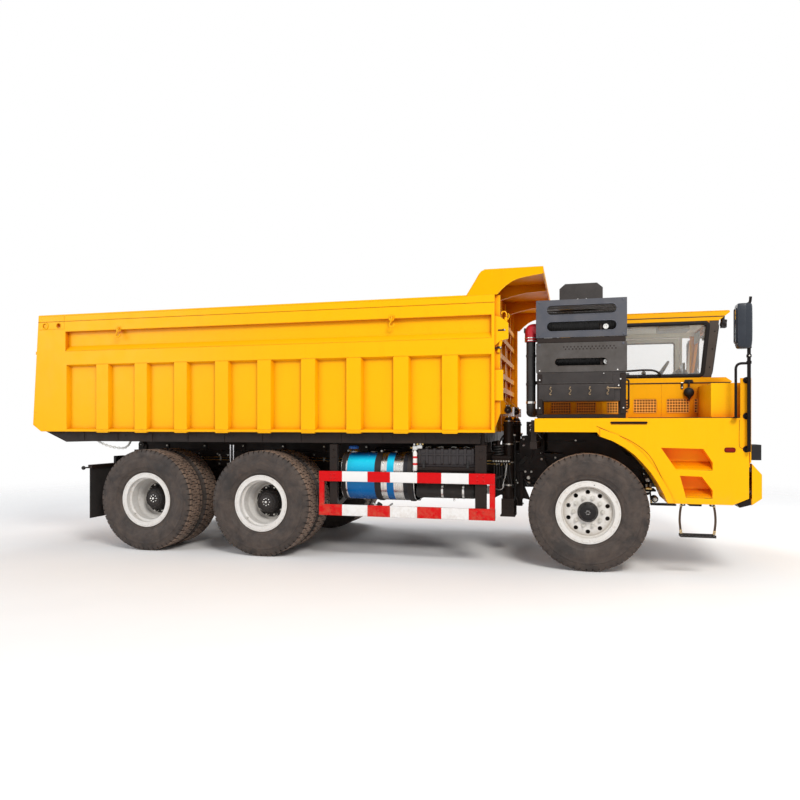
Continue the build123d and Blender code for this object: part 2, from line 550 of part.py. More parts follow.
# ---------------------------------------------------------------- front sheet metal
ARCH = [(3032, 1571), (3178, 1516), (3307, 1442), (3412, 1360), (3503, 1262), (3584, 1163),
        (3650, 1058), (3710, 946), (3758, 830)]
LIP = [(3830, 832), (3780, 948), (3723, 1059), (3662, 1163), (3590, 1263), (3496, 1382), (3380, 1488),
       (3226, 1590), (3032, 1663)]
STEP_UPPER = [(3688, 1447), (3845, 1209), (4221, 1201), (4223, 1287), (4129, 1438)]
STEP_LOWER = [(3887, 1137), (3949, 894), (4220, 892), (4223, 978), (4114, 1130)]
STEP_DEPTH = 190.0
STEP_WALL = 10.0
FENDER_BOTTOM_Z = 825.0

with BuildPart() as fenders:
    outline = [(DECK_REAR_X, DECK_Z), (DECK_FRONT_X, DECK_Z), (DECK_FRONT_X, 901), (4428, FENDER_BOTTOM_Z),
               (3758, FENDER_BOTTOM_Z)] + ARCH[::-1] + [(2999, 1619), (DECK_REAR_X, 1621)]
    profile_xz(outline, -FENDER_Y, -FENDER_Y + SKIN_T)
    # raised lip round the wheel opening
    profile_xz(ARCH + LIP, -FENDER_Y - 14, -FENDER_Y + SKIN_T)
    # liner that follows the opening inwards
    liner = ARCH + [(x + 10, z + 12) for x, z in ARCH[::-1]]
    profile_xz(liner, -FENDER_Y + 2, -820)
    slab(3026, 3042, -FENDER_Y + 2, -820, 1571, DECK_Z - 1)
    # front wall and floor of the lower box
    slab(DECK_FRONT_X - 14, DECK_FRONT_X, -FENDER_Y + 2, -1310, 901, DECK_Z)
    slab(3758, 4428, -FENDER_Y + 2, -1310, FENDER_BOTTOM_Z, FENDER_BOTTOM_Z + 12)
    for step in (STEP_UPPER, STEP_LOWER):
        with BuildSketch(Plane.XZ.offset(FENDER_Y)):
            with BuildLine():
                Polyline(*step, close=True)
            make_face()
            offset(amount=STEP_WALL, kind=Kind.INTERSECTION)
        extrude(amount=-STEP_DEPTH)
        profile_xz(step, -FENDER_Y - 1, -FENDER_Y + STEP_DEPTH - STEP_WALL, Mode.SUBTRACT)
    mirror(about=Plane.XZ)
    slab(DECK_REAR_X, DECK_FRONT_X, -FENDER_Y, HOOD_Y0, DECK_Z - DECK_T, DECK_Z)
    slab(DECK_REAR_X, DECK_FRONT_X, CAB_Y0, FENDER_Y, DECK_Z - DECK_T, DECK_Z)
save(fenders, "fenders")

BUMPER_X0 = 4617.0
BUMPER_X1 = 4716.0
with BuildPart() as front_bumper:
    shell = [(BUMPER_X0, 1281), (BUMPER_X1, 1164), (BUMPER_X1, 904), (BUMPER_X0, 830)]
    profile_xz(shell, -FENDER_Y, FENDER_Y)
    profile_xz([(BUMPER_X0 - 1, 1262), (4706, 1156), (4706, 910), (BUMPER_X0 - 1, 846)],
               -FENDER_Y + 10, FENDER_Y - 10, Mode.SUBTRACT)
    for by in BUMPER_BRACKET_YS:
        slab(4690, 4708, by - 60, by + 60, 960, 1120)
    # black wedge under each corner
    for y0, y1 in ((-1590, -1310), (1310, 1590)):
        profile_xz([(4470, 835), (4588, 891), (4617, 900), (4700, 905), (4625, 836), (4499, 798)], y0, y1)
save(front_bumper, "front_bumper")

MASK_X0 = 4223.0
MASK_X1 = 4600.0
MASK_Z1 = 2170.0
with BuildPart() as front_mask:
    # lower front panel with the cooling opening
    slab(DECK_FRONT_X, MASK_X1, -1590, 1590, 1240, DECK_Z + 10)
    slab(DECK_FRONT_X - 1, MASK_X1 + 1, -600, -110, 1380, 1740, Mode.SUBTRACT)
    slab(DECK_FRONT_X, MASK_X1, CAB_Y0, CAB_Y1, DECK_Z, 2200)
    # hollow box on the right deck
    slab(MASK_X0, MASK_X1, -1500, HOOD_Y0 - 12, DECK_Z, MASK_Z1)
    slab(MASK_X0 + 10, DECK_FRONT_X, -1490, HOOD_Y0 - 22, DECK_Z - 1, MASK_Z1 - 10, Mode.SUBTRACT)
    # corner channels
    for y0, y1 in ((-FENDER_Y, -1500), (1500, FENDER_Y)):
        slab(MASK_X1 - 2, 4610, y0, y1, 1290, 2215)
    for y0, y1 in ((-FENDER_Y, -FENDER_Y + 12), (FENDER_Y - 12, FENDER_Y)):
        slab(4500, 4610, y0, y1, DECK_Z, 2215)
save(front_mask, "front_mask")

HOOD_X0 = 2400.0
HOOD_X1 = 4600.0
HOOD_Z1 = 2218.0
HOOD_T = 10.0
VENT_Z0 = 1851.0
VENT_Z1 = 2032.0
vents = [(2446, 2704), (2766, 3013), (3143, 3410), (3467, 3746), (3859, 4128), (4179, 4450)]
with BuildPart() as engine_hood:
    slab(HOOD_X0, DECK_FRONT_X, HOOD_Y0, HOOD_Y0 + HOOD_T, DECK_Z - DECK_T, HOOD_Z1)
    slab(HOOD_X0, DECK_FRONT_X, HOOD_Y1 - HOOD_T, HOOD_Y1, DECK_Z - DECK_T, HOOD_Z1)
    slab(HOOD_X0, HOOD_X0 + HOOD_T, HOOD_Y0, HOOD_Y1, DECK_Z - DECK_T, HOOD_Z1)
    slab(HOOD_X1 - 12, HOOD_X1, HOOD_Y0, HOOD_Y1, DECK_Z + 10, HOOD_Z1)
    slab(HOOD_X1 - 20, HOOD_X1 + 1, HOOD_Y0 + 60, HOOD_Y1 - 60, 1840, 2160, Mode.SUBTRACT)
    for x0, x1 in vents:
        with BuildSketch(Plane.XZ.offset(-HOOD_Y0 + 5)):
            with Locations(((x0 + x1) / 2, (VENT_Z0 + VENT_Z1) / 2)):
                RectangleRounded(x1 - x0, VENT_Z1 - VENT_Z0, 30)
        extrude(amount=-30, mode=Mode.SUBTRACT)
save(engine_hood, "engine_hood")

LID_Z0 = HOOD_Z1 + SEAT_GAP
LID_Z1 = 2289.0
LID_HINGE_R = 6.0
with BuildPart() as hood_lid:
    profile_xz([(HOOD_X0, LID_Z0), (HOOD_X1, LID_Z0), (HOOD_X1 + 10, LID_Z0 + 20), (4540, LID_Z1),
                (HOOD_X0, LID_Z1)], HOOD_Y0 - 6, HOOD_Y1)
    profile_xz([(HOOD_X0 + 10, LID_Z0 - 1), (HOOD_X1 - 14, LID_Z0 - 1), (4530, LID_Z1 - 10),
                (HOOD_X0 + 10, LID_Z1 - 10)], HOOD_Y0 + 6, HOOD_Y1 - 12, Mode.SUBTRACT)
    # hinge barrels along the inner edge
    for hx in (2700, 3500, 4250):
        rod((hx, HOOD_Y1, LID_Z1), (hx + 120, HOOD_Y1, LID_Z1), LID_HINGE_R)
save(hood_lid, "hood_lid")

# ---------------------------------------------------------------- cab
CAB_FRONT_X = 4480.0
SILL_Z = 2328.0
SCREEN_TOP_X = 4577.0
ROOF_Z0 = 3072.0
ROOF_Z1 = 3198.0
LIP_TIP_X = 4709.0
LIP_TIP_Z = 3176.0
WIN_Z0 = 2363.0
WIN_Z1 = 3034.0
DOOR_X0 = 3400.0
DOOR_X1 = 4300.0
DOOR_Z0 = 1862.0
DOOR_Z1 = 3034.0
DOOR_GAP = 6.0
PANE_T = 6.0
screen_dir = Vector(SCREEN_TOP_X - CAB_FRONT_X, 0, ROOF_Z0 - SILL_Z).normalized()
screen_out = Vector(screen_dir.Z, 0, -screen_dir.X)
REAR_WIN_W = 1200.0
REAR_WIN_H = 560.0
REAR_WIN_MID = ((CAB_Y0 + CAB_Y1) / 2, 2720.0)
SCREEN_W = 1400.0
SCREEN_H = 640.0
PANE_CORNER_R = 60.0
SCREEN_MID = ((CAB_FRONT_X + SCREEN_TOP_X) / 2, (CAB_Y0 + CAB_Y1) / 2, (SILL_Z + ROOF_Z0) / 2)
screen_plane = Plane(origin=SCREEN_MID, x_dir=(0, 1, 0), z_dir=screen_out)
right_window = [(2720, WIN_Z0), (4383, WIN_Z0), (4450, WIN_Z1), (2720, WIN_Z1)]
quarter_window = [(4338, WIN_Z0 + 20), (4395, WIN_Z0 + 20), (4455, WIN_Z1), (4338, WIN_Z1)]
rear_quarter = [(2720, WIN_Z0), (3300, WIN_Z0), (3300, WIN_Z1), (2720, WIN_Z1)]


def window_cut(points, y0, y1, radius, inset, mode):
    """Rounded window outline in X and Z, between two Y planes."""
    with BuildSketch(Plane.XZ.offset(-y0)) as frame:
        with BuildLine():
            Polyline(*points, close=True)
        make_face()
        fillet(frame.vertices(), radius)
        if inset:
            offset(amount=-inset, mode=Mode.REPLACE)
    extrude(frame.sketch, amount=y0 - y1, mode=mode)


def lip_z(x):
    """Height of the underside of the roof lip."""
    return ROOF_Z0 + (x - SCREEN_TOP_X) * (LIP_TIP_Z - ROOF_Z0) / (LIP_TIP_X - SCREEN_TOP_X)


with BuildPart() as cab_shell:
    profile_xz([(CAB_X0, DECK_Z), (CAB_FRONT_X, DECK_Z), (CAB_FRONT_X, SILL_Z), (SCREEN_TOP_X, ROOF_Z0),
                (CAB_X0, ROOF_Z0)], CAB_Y0, CAB_Y1)
    profile_xz([(CAB_X0 - 10, ROOF_Z0), (SCREEN_TOP_X, ROOF_Z0), (LIP_TIP_X, LIP_TIP_Z), (4700, ROOF_Z1),
                (CAB_X0 - 10, ROOF_Z1)], CAB_Y0 - 10, CAB_Y1 + 10)
    slab(CAB_X0 - 12, 4640, CAB_Y0 - 12, CAB_Y1 + 12, 3126, 3134)
    profile_xz([(CAB_X0 + CAB_WALL, DECK_Z + CAB_WALL), (CAB_FRONT_X - CAB_WALL, DECK_Z + CAB_WALL),
                (CAB_FRONT_X - CAB_WALL, SILL_Z), (SCREEN_TOP_X - CAB_WALL, ROOF_Z0),
                (SCREEN_TOP_X - CAB_WALL, ROOF_Z1 - 40), (CAB_X0 + CAB_WALL, ROOF_Z1 - 40)],
               CAB_Y0 + CAB_WALL, CAB_Y1 - CAB_WALL, Mode.SUBTRACT)
    window_cut(right_window, CAB_Y0 - 5, CAB_Y0 + CAB_WALL + 5, PANE_CORNER_R, 0, Mode.SUBTRACT)
    window_cut(quarter_window, CAB_Y1 - CAB_WALL - 5, CAB_Y1 + 5, 18, 0, Mode.SUBTRACT)
    window_cut(rear_quarter, CAB_Y1 - CAB_WALL - 5, CAB_Y1 + 5, PANE_CORNER_R, 0, Mode.SUBTRACT)
    slab(DOOR_X0 - DOOR_GAP, DOOR_X1 + DOOR_GAP, CAB_Y1 - CAB_WALL - 5, CAB_Y1 + 5, DOOR_Z0 - DOOR_GAP,
         DOOR_Z1 + DOOR_GAP, Mode.SUBTRACT)
    with BuildSketch(screen_plane):
        RectangleRounded(SCREEN_W, SCREEN_H, PANE_CORNER_R)
    extrude(amount=90, both=True, mode=Mode.SUBTRACT)
    with BuildSketch(Plane.YZ.offset(CAB_X0 - 5)):
        with Locations(REAR_WIN_MID):
            RectangleRounded(REAR_WIN_W, REAR_WIN_H, PANE_CORNER_R)
    extrude(amount=CAB_WALL + 10, mode=Mode.SUBTRACT)
save(cab_shell, "cab_shell")

with BuildPart() as cab_glass:
    y_mid = CAB_Y0 + CAB_WALL / 2
    window_cut(right_window, y_mid - PANE_T / 2, y_mid + PANE_T / 2, PANE_CORNER_R, GLASS_GAP, Mode.ADD)
    y_mid = CAB_Y1 - CAB_WALL / 2
    window_cut(quarter_window, y_mid - PANE_T / 2, y_mid + PANE_T / 2, 18, GLASS_GAP, Mode.ADD)
    window_cut(rear_quarter, y_mid - PANE_T / 2, y_mid + PANE_T / 2, PANE_CORNER_R, GLASS_GAP, Mode.ADD)
    with BuildSketch(screen_plane.offset(-CAB_WALL / 2)):
        RectangleRounded(SCREEN_W - 2 * GLASS_GAP, SCREEN_H - 2 * GLASS_GAP, PANE_CORNER_R - GLASS_GAP)
    extrude(amount=PANE_T)
    with BuildSketch(Plane.YZ.offset(CAB_X0 + CAB_WALL / 2)):
        with Locations(REAR_WIN_MID):
            RectangleRounded(REAR_WIN_W - 2 * GLASS_GAP, REAR_WIN_H - 2 * GLASS_GAP,
                             PANE_CORNER_R - GLASS_GAP)
    extrude(amount=PANE_T)
save(cab_glass, "cab_glass")

DOOR_WIN_X0 = DOOR_X0 + 70
DOOR_WIN_X1 = DOOR_X1 - 60
DOOR_WIN_Z1 = WIN_Z1 - 60
DOOR_WIN = [(DOOR_WIN_X0, WIN_Z0), (DOOR_WIN_X1, WIN_Z0), (DOOR_WIN_X1, DOOR_WIN_Z1),
            (DOOR_WIN_X0, DOOR_WIN_Z1)]
DOOR_SKIN_T = 14.0
HINGE_Y = CAB_Y1 + 8
with BuildPart() as cab_door:
    slab(DOOR_X0, DOOR_X1, CAB_Y1 - CAB_WALL, CAB_Y1, DOOR_Z0, DOOR_Z1)
    window_cut(DOOR_WIN, CAB_Y1 - CAB_WALL - 5, CAB_Y1 + 5, 50, 0, Mode.SUBTRACT)
    slab(DOOR_X0 + 40, DOOR_X1 - 40, CAB_Y1 - CAB_WALL - 1, CAB_Y1 - DOOR_SKIN_T, DOOR_Z0 + 40, WIN_Z0 - 60,
         Mode.SUBTRACT)
    # hinge knuckles on the front edge
    for hz in (2050, 2700):
        rod((DOOR_X1 + 2, HINGE_Y, hz), (DOOR_X1 + 2, HINGE_Y, hz + 90), 8)
        slab(DOOR_X1 - 70, DOOR_X1 + 2, CAB_Y1 - 1, CAB_Y1 + 5, hz, hz + 90)
    # pull handle
    slab(DOOR_X0 + 50, DOOR_X0 + 200, CAB_Y1, CAB_Y1 + 22, 2240, 2262)
save(cab_door, "cab_door")

with BuildPart() as door_glass:
    y_mid = CAB_Y1 - CAB_WALL / 2
    window_cut(DOOR_WIN, y_mid - PANE_T / 2, y_mid + PANE_T / 2, 50, GLASS_GAP, Mode.ADD)
save(door_glass, "door_glass")

SEAT_Y = 1000.0
SEAT_Z = 2140.0
CAB_FLOOR_Z = DECK_Z + CAB_WALL
with BuildPart() as seat:
    slab(3230, 3740, SEAT_Y - 250, SEAT_Y + 250, SEAT_Z, SEAT_Z + 130)
    fillet(seat.edges(), 40)
    with BuildSketch(Plane.XZ.offset(-(SEAT_Y - 240))):
        with BuildLine():
            Polyline((3170, 2240), (3290, 2240), (3210, 2900), (3110, 2900), close=True)
        make_face()
    extrude(amount=-480)
save(seat, "seat")

WHEEL_CENTRE = (3960.0, SEAT_Y, 2440.0)
COLUMN_FOOT = (4250.0, SEAT_Y, 2260.0)
STEER_WHEEL_R = 225.0
with BuildPart() as cab_interior:
    # dashboard, steering column and wheel
    profile_xz([(CAB_FRONT_X - CAB_WALL, CAB_FLOOR_Z), (CAB_FRONT_X - CAB_WALL, SILL_Z + 2), (4300, 2400),
                (4180, 2380), (4140, 2250), (4230, 2150), (4280, CAB_FLOOR_Z)],
               CAB_Y0 + CAB_WALL + 10, CAB_Y1 - CAB_WALL - 10)
    rod(COLUMN_FOOT, WHEEL_CENTRE, 26)
    wheel_dir = Vector(*WHEEL_CENTRE) - Vector(*COLUMN_FOOT)
    wheel_plane = Plane(origin=WHEEL_CENTRE, x_dir=(0, 1, 0), z_dir=wheel_dir)
    with Locations(wheel_plane.location):
        Torus(STEER_WHEEL_R, 16)
    with BuildSketch(wheel_plane.offset(-10)):
        Rectangle(2 * STEER_WHEEL_R, 36)
        Rectangle(36, 2 * STEER_WHEEL_R)
        Circle(60)
    extrude(amount=20)
    # seat pedestal and a console beside it
    slab(3290, 3680, SEAT_Y - 190, SEAT_Y + 190, CAB_FLOOR_Z, SEAT_Z)
    slab(3300, 3900, 420, 640, CAB_FLOOR_Z, 2150)
save(cab_interior, "cab_interior")

# ---------------------------------------------------------------- filter rack
RACK_X0 = 2310.0
RACK_X1 = 3330.0
RACK_TOP_Z = 3165.0
POST = 60.0
DRUM_Y = -1330.0
UPPER_DRUM_Z = 2905.0
UPPER_DRUM_R = 145.0
LOWER_DRUM_Z = 2480.0
LOWER_DRUM_R = 120.0
RACK_Y0 = DRUM_Y - UPPER_DRUM_R - 75.0
RACK_Y1 = DRUM_Y + UPPER_DRUM_R + 65.0
PIPE_R = 55.0
PIPE_X = 2240.0
PIPE_Y = -1380.0
PIPE_TOP_Z = 2840.0
PIPE_LOW_Z = 1860.0
PIPE_HOOD_Y = HOOD_Y0 + 90.0
with BuildPart() as filter_rack:
    for x0 in (RACK_X0 + 12, RACK_X1 - 12 - POST):
        for y0 in (RACK_Y0 + 12, RACK_Y1 - POST):
            slab(x0, x0 + POST, y0, y0 + POST, DECK_Z, RACK_TOP_Z - 20)
    for z0 in (2285, 2662, RACK_TOP_Z - 80):
        slab(RACK_X0 + 12, RACK_X1 - 12, RACK_Y0 + 12, RACK_Y0 + 12 + 40, z0, z0 + 60)
        slab(RACK_X0 + 12, RACK_X1 - 12, RACK_Y1 - 40, RACK_Y1, z0, z0 + 60)
        for x0 in (RACK_X0 + 12, RACK_X1 - 52):
            slab(x0, x0 + 40, RACK_Y0 + 12, RACK_Y1, z0, z0 + 60)
    slab(RACK_X0 + 14, RACK_X1 - 14, RACK_Y0 + 14, RACK_Y1 - 2, 1983, 2285)
    # cradles under the drums
    for z0, drum_z, drum_r in ((2700, UPPER_DRUM_Z, UPPER_DRUM_R), (2320, LOWER_DRUM_Z, LOWER_DRUM_R)):
        for x0 in (2500, 3100):
            slab(x0, x0 + 40, RACK_Y0 + 14, RACK_Y1 - 2, z0, drum_z - drum_r + 40)
        rod((RACK_X0 + 70, DRUM_Y, drum_z), (RACK_X1 - 70, DRUM_Y, drum_z), drum_r + SEAT_GAP,
            Mode.SUBTRACT)
    # rounded plate above the rack
    with BuildSketch(Plane.XZ.offset(1340)):
        with BuildLine():
            Polyline((2573, 3085), (2573, 3330), (2640, 3388), (3005, 3388), (3072, 3330), (3072, 3085),
                     close=True)
        make_face()
    extrude(amount=-12)
    slab(RACK_X0 + 12, RACK_X1 - 12, -1360, -1300, 3085, 3125)
save(filter_rack, "filter_rack")

with BuildPart() as rack_guards:
    for z0, z1 in ((2725, RACK_TOP_Z), (2320, 2662)):
        slab(RACK_X0, RACK_X1, RACK_Y0, RACK_Y0 + 12, z0, z1)
        slab(RACK_X0, RACK_X0 + 12, RACK_Y0, RACK_Y1, z0, z1)
        slab(RACK_X1 - 12, RACK_X1, RACK_Y0, RACK_Y1, z0, z1)
    for z0, z1, x0, x1 in ((2987, 3103, 2430, 3220), (2795, 2911, 2430, 3220), (2389, 2482, 2522, 3116)):
        with BuildSketch(Plane.XZ.offset(-RACK_Y0 + 5)):
            with Locations(((x0 + x1) / 2, (z0 + z1) / 2)):
                SlotOverall(x1 - x0, z1 - z0)
        extrude(amount=-30, mode=Mode.SUBTRACT)
    # way in for the intake pipe
    rod((RACK_X0 - 1, PIPE_Y, PIPE_TOP_Z), (RACK_X0 + 20, PIPE_Y, PIPE_TOP_Z), PIPE_R + RUN_GAP,
        Mode.SUBTRACT)
save(rack_guards, "rack_guards")

with BuildPart() as air_intake:
    # two filter drums on the rack
    for drum_z, drum_r in ((UPPER_DRUM_Z, UPPER_DRUM_R), (LOWER_DRUM_Z, LOWER_DRUM_R)):
        rod((RACK_X0 + 62, DRUM_Y, drum_z), (RACK_X1 - 62, DRUM_Y, drum_z), drum_r)
    # stack pipe behind the rack, elbowed into the upper drum
    with BuildLine() as route:
        FilletPolyline((RACK_X0 + 66, PIPE_Y, PIPE_TOP_Z), (PIPE_X, PIPE_Y, PIPE_TOP_Z),
                       (PIPE_X, PIPE_Y, PIPE_LOW_Z), (PIPE_X, PIPE_HOOD_Y, PIPE_LOW_Z),
                       (HOOD_X0, PIPE_HOOD_Y, PIPE_LOW_Z), radius=(60, 70, 90))
    with BuildSketch(Plane(origin=(RACK_X0 + 66, PIPE_Y, PIPE_TOP_Z), z_dir=(-1, 0, 0))):
        Circle(PIPE_R)
    sweep(path=route.wire())
    rod((PIPE_X - 82, PIPE_Y, PIPE_TOP_Z), (PIPE_X + 60, PIPE_Y, PIPE_TOP_Z), 30)
save(air_intake, "air_intake")

# ---------------------------------------------------------------- mirrors, lamps, step
MIRROR_Y = 1650.0
with BuildPart() as mirrors:
    rod((4576, MIRROR_Y, 1413), (4576, MIRROR_Y, 2560), 19)
    with BuildSketch(Plane.XY.offset(2530)) as head:
        with Locations((4522, MIRROR_Y + 5)):
            Rectangle(180, 170)
        fillet(head.vertices(), 45)
    extrude(amount=484)
    rod((4590, MIRROR_Y, 3000), (4604, MIRROR_Y, 3098), 12)
    # hand rail loop
    with BuildLine() as loop:
        FilletPolyline((4445, MIRROR_Y, 1800), (4445, MIRROR_Y, 2371), (4576, MIRROR_Y, 2371), radius=60)
    with BuildSketch(Plane(origin=(4445, MIRROR_Y, 1800), z_dir=(0, 0, 1))):
        Circle(14)
    sweep(path=loop.wire())
    # stand-offs to the corner channel
    for sz in (1440, 1800, 2190):
        rod((4560, FENDER_Y, sz), (4560, MIRROR_Y, sz), 16)
    rod((4445, FENDER_Y - 10, 1800), (4445, MIRROR_Y + 10, 1800), 14)
    mirror(about=Plane.XZ)
save(mirrors, "mirrors")

with BuildPart() as lamps:
    # head lamps on the front panel
    slab(4610, 4712, 1350, 1590, 1320, 1488)
    # rear lamps on the mudflap arms
    slab(FLAP_X - 30, FLAP_X + 10, 900, 1100, 1150, 1250)
    mirror(about=Plane.XZ)
    # work lamps under the roof lip
    for ly in (40, 1410):
        slab(4616, 4680, ly - 45, ly + 45, 2985, 3060)
        profile_xz([(4630, 3055), (4660, 3055), (4660, lip_z(4660) - SEAT_GAP),
                    (4630, lip_z(4630) - SEAT_GAP)], ly - 12, ly + 12)
save(lamps, "lamps")

with BuildPart() as folding_step:
    for sx in (3905, 4205):
        slab(sx, sx + 36, 1550, 1560, 470, FENDER_BOTTOM_Z)
    slab(3887, 4261, 1490, 1600, 455, 487)
    mirror(about=Plane.XZ)
save(folding_step, "folding_step")

# ---------------------------------------------------------------- bed
RIB_COUNT = 9
RIB_W = 190.0
POCKET_X0 = SIDE_REAR_X + 563.0
POCKET_X1 = SIDE_FRONT_X - 37.0
FIRST_POCKET_W = 487.0
LAST_POCKET_W = 404.0
RIB_FIRST_X = POCKET_X0 + FIRST_POCKET_W + RIB_W / 2
RIB_LAST_X = POCKET_X1 - LAST_POCKET_W - RIB_W / 2
RIB_PITCH = (RIB_LAST_X - RIB_FIRST_X) / (RIB_COUNT - 1)
POCKET_Z0 = FLOOR_Z0 + 29.0
POCKET_DEPTH = 60.0
POCKET_SLANT = 22.0
TOP_RAIL_Z0 = SIDE_TOP_Z - 235.0
MID_RAIL_Z1 = TOP_RAIL_Z0 - 274.0
MID_RAIL_Z0 = MID_RAIL_Z1 - 191.0
POST_X1 = POCKET_X0 - 18.0
FLOOR_REAR_X = SIDE_REAR_X + 111.0
GATE_PIN_X = SIDE_REAR_X + 208.0
GATE_PIN_Z = SIDE_TOP_Z - 145.0
GATE_PIN_R = 30.0
LATCH_HOLE_X = GATE_PIN_X + 222.0
SEAM_Z = SIDE_TOP_Z - 90.0
SEAM_W = 8.0
BEARER_COUNT = 11
BEARER_W = 90.0
BEARER_FIRST_X = SIDE_REAR_X + 611.0
BEARER_LAST_X = HEAD_X - 140.0
BEARER_PITCH = (BEARER_LAST_X - BEARER_FIRST_X) / (BEARER_COUNT - 1)
SILL_Y0 = RAIL_IN_Y + RUN_GAP
SILL_Y1 = RAIL_OUT_Y - RUN_GAP
LONG_BEAM_Y0 = SIDE_IN_Y - 110.0
LONG_BEAM_Y1 = SIDE_IN_Y - 30.0
CHANNEL_X = SIDE_FRONT_X + 61.0
CHANNEL_Y = -SIDE_OUT_Y + 50
CHANNEL_Z0 = FLOOR_Z0 + 226.0
PLATE_Y0 = -SIDE_OUT_Y + 18
PLATE_Y1 = -SIDE_OUT_Y + 52

with BuildPart() as bed_floor:
    slab(FLOOR_REAR_X, HEAD_X, -SIDE_IN_Y, SIDE_IN_Y, FLOOR_Z0, FLOOR_Z1)
save(bed_floor, "bed_floor")

with BuildPart() as bed_underframe:
    # sills over the rails, with the hinge boss at the rear
    slab(BED_HINGE_X, HEAD_X - 50, SILL_Y0, SILL_Y1, SILL_Z0, BEARER_Z0)
    slab(BED_HINGE_X - 60, BED_HINGE_X + 60, SILL_Y0, SILL_Y1, BED_HINGE_Z, BEARER_Z0 + 5)
    rod((BED_HINGE_X, SILL_Y0, BED_HINGE_Z), (BED_HINGE_X, SILL_Y1, BED_HINGE_Z), HINGE_BOSS_R)
    # outer long beam with its rising rear end
    profile_xz([(FLOOR_REAR_X + 10, FLOOR_Z0), (GATE_PIN_X + 260, BEARER_Z0 - 12),
                (BED_HINGE_X - 18, BEARER_Z0), (HEAD_X - 50, BEARER_Z0), (HEAD_X - 50, FLOOR_Z0)],
               LONG_BEAM_Y0, LONG_BEAM_Y1)
    mirror(about=Plane.XZ)
    for side in (-1, 1):
        y0, y1 = sorted((side * RAIL_IN_Y, side * RAIL_OUT_Y))
        rod((BED_HINGE_X, y0, BED_HINGE_Z), (BED_HINGE_X, y1, BED_HINGE_Z), HINGE_PIN_R + PIN_GAP,
            Mode.SUBTRACT)
    for i in range(BEARER_COUNT):
        bx = BEARER_FIRST_X + BEARER_PITCH * i
        slab(bx, bx + BEARER_W, -LONG_BEAM_Y0 - 10, LONG_BEAM_Y0 + 10, BEARER_Z0, FLOOR_Z0)
save(bed_underframe, "bed_underframe")

with BuildPart() as bed_sides:
    side_outline = [(SIDE_REAR_X + 136, FLOOR_Z0), (SIDE_REAR_X, FLOOR_Z0 + 94),
                    (SIDE_REAR_X + 95, SIDE_TOP_Z), (SIDE_FRONT_X, SIDE_TOP_Z), (SIDE_FRONT_X, FLOOR_Z0)]
    profile_xz(side_outline, -SIDE_OUT_Y, -SIDE_IN_Y)
    # lower pockets between the ribs
    edges = [POCKET_X0]
    for i in range(RIB_COUNT):
        centre = RIB_FIRST_X + RIB_PITCH * i
        edges += [centre - RIB_W / 2, centre + RIB_W / 2]
    edges.append(POCKET_X1)
    for x0, x1 in zip(edges[0::2], edges[1::2]):
        with BuildSketch(Plane.XZ.offset(SIDE_OUT_Y)):
            with Locations(((x0 + x1) / 2, (POCKET_Z0 + MID_RAIL_Z0) / 2)):
                Rectangle(x1 - x0, MID_RAIL_Z0 - POCKET_Z0)
        extrude(amount=-POCKET_DEPTH, taper=POCKET_SLANT, mode=Mode.SUBTRACT)
    # long upper pocket with a sloping floor
    profile_yz([(-SIDE_OUT_Y - 1, MID_RAIL_Z1), (-SIDE_OUT_Y + POCKET_DEPTH, MID_RAIL_Z1 + 75),
                (-SIDE_OUT_Y + POCKET_DEPTH, TOP_RAIL_Z0), (-SIDE_OUT_Y - 1, TOP_RAIL_Z0)],
               POST_X1, POCKET_X1, Mode.SUBTRACT)
    # seam under the top tube
    slab(SIDE_REAR_X + 91, SIDE_FRONT_X, -SIDE_OUT_Y - 1, -SIDE_OUT_Y + 6, SEAM_Z - SEAM_W / 2,
         SEAM_Z + SEAM_W / 2, Mode.SUBTRACT)
    rod((GATE_PIN_X, -SIDE_OUT_Y - 1, GATE_PIN_Z), (GATE_PIN_X, -SIDE_IN_Y + 1, GATE_PIN_Z),
        GATE_PIN_R + PIN_GAP, Mode.SUBTRACT)
    rod((LATCH_HOLE_X, -SIDE_OUT_Y - 1, GATE_PIN_Z), (LATCH_HOLE_X, -SIDE_IN_Y + 1, GATE_PIN_Z), GATE_PIN_R,
        Mode.SUBTRACT)
    mirror(about=Plane.XZ)
    # channel, plates and foot on the front edge of the right side
    slab(SIDE_FRONT_X - 1, CHANNEL_X, CHANNEL_Y, -SIDE_IN_Y, CHANNEL_Z0, SIDE_TOP_Z)
    slab(SIDE_FRONT_X - 1, SIDE_FRONT_X + 99, PLATE_Y0, PLATE_Y1, FLOOR_Z0 + 381, FLOOR_Z0 + 745)
    profile_xz([(SIDE_FRONT_X - 1, SIDE_TOP_Z - 245), (SIDE_FRONT_X + 66, SIDE_TOP_Z - 265),
                (SIDE_FRONT_X + 160, SIDE_TOP_Z - 338), (SIDE_FRONT_X + 160, SIDE_TOP_Z - 523),
                (SIDE_FRONT_X + 66, SIDE_TOP_Z - 545), (SIDE_FRONT_X - 1, SIDE_TOP_Z - 605)], PLATE_Y0, PLATE_Y1)
    profile_xz([(SIDE_FRONT_X - 1, CHANNEL_Z0 + 1), (CHANNEL_X, CHANNEL_Z0 + 1),
                (SIDE_FRONT_X - 1, FLOOR_Z0 + 48)], CHANNEL_Y, -SIDE_IN_Y)
save(bed_sides, "bed_sides")

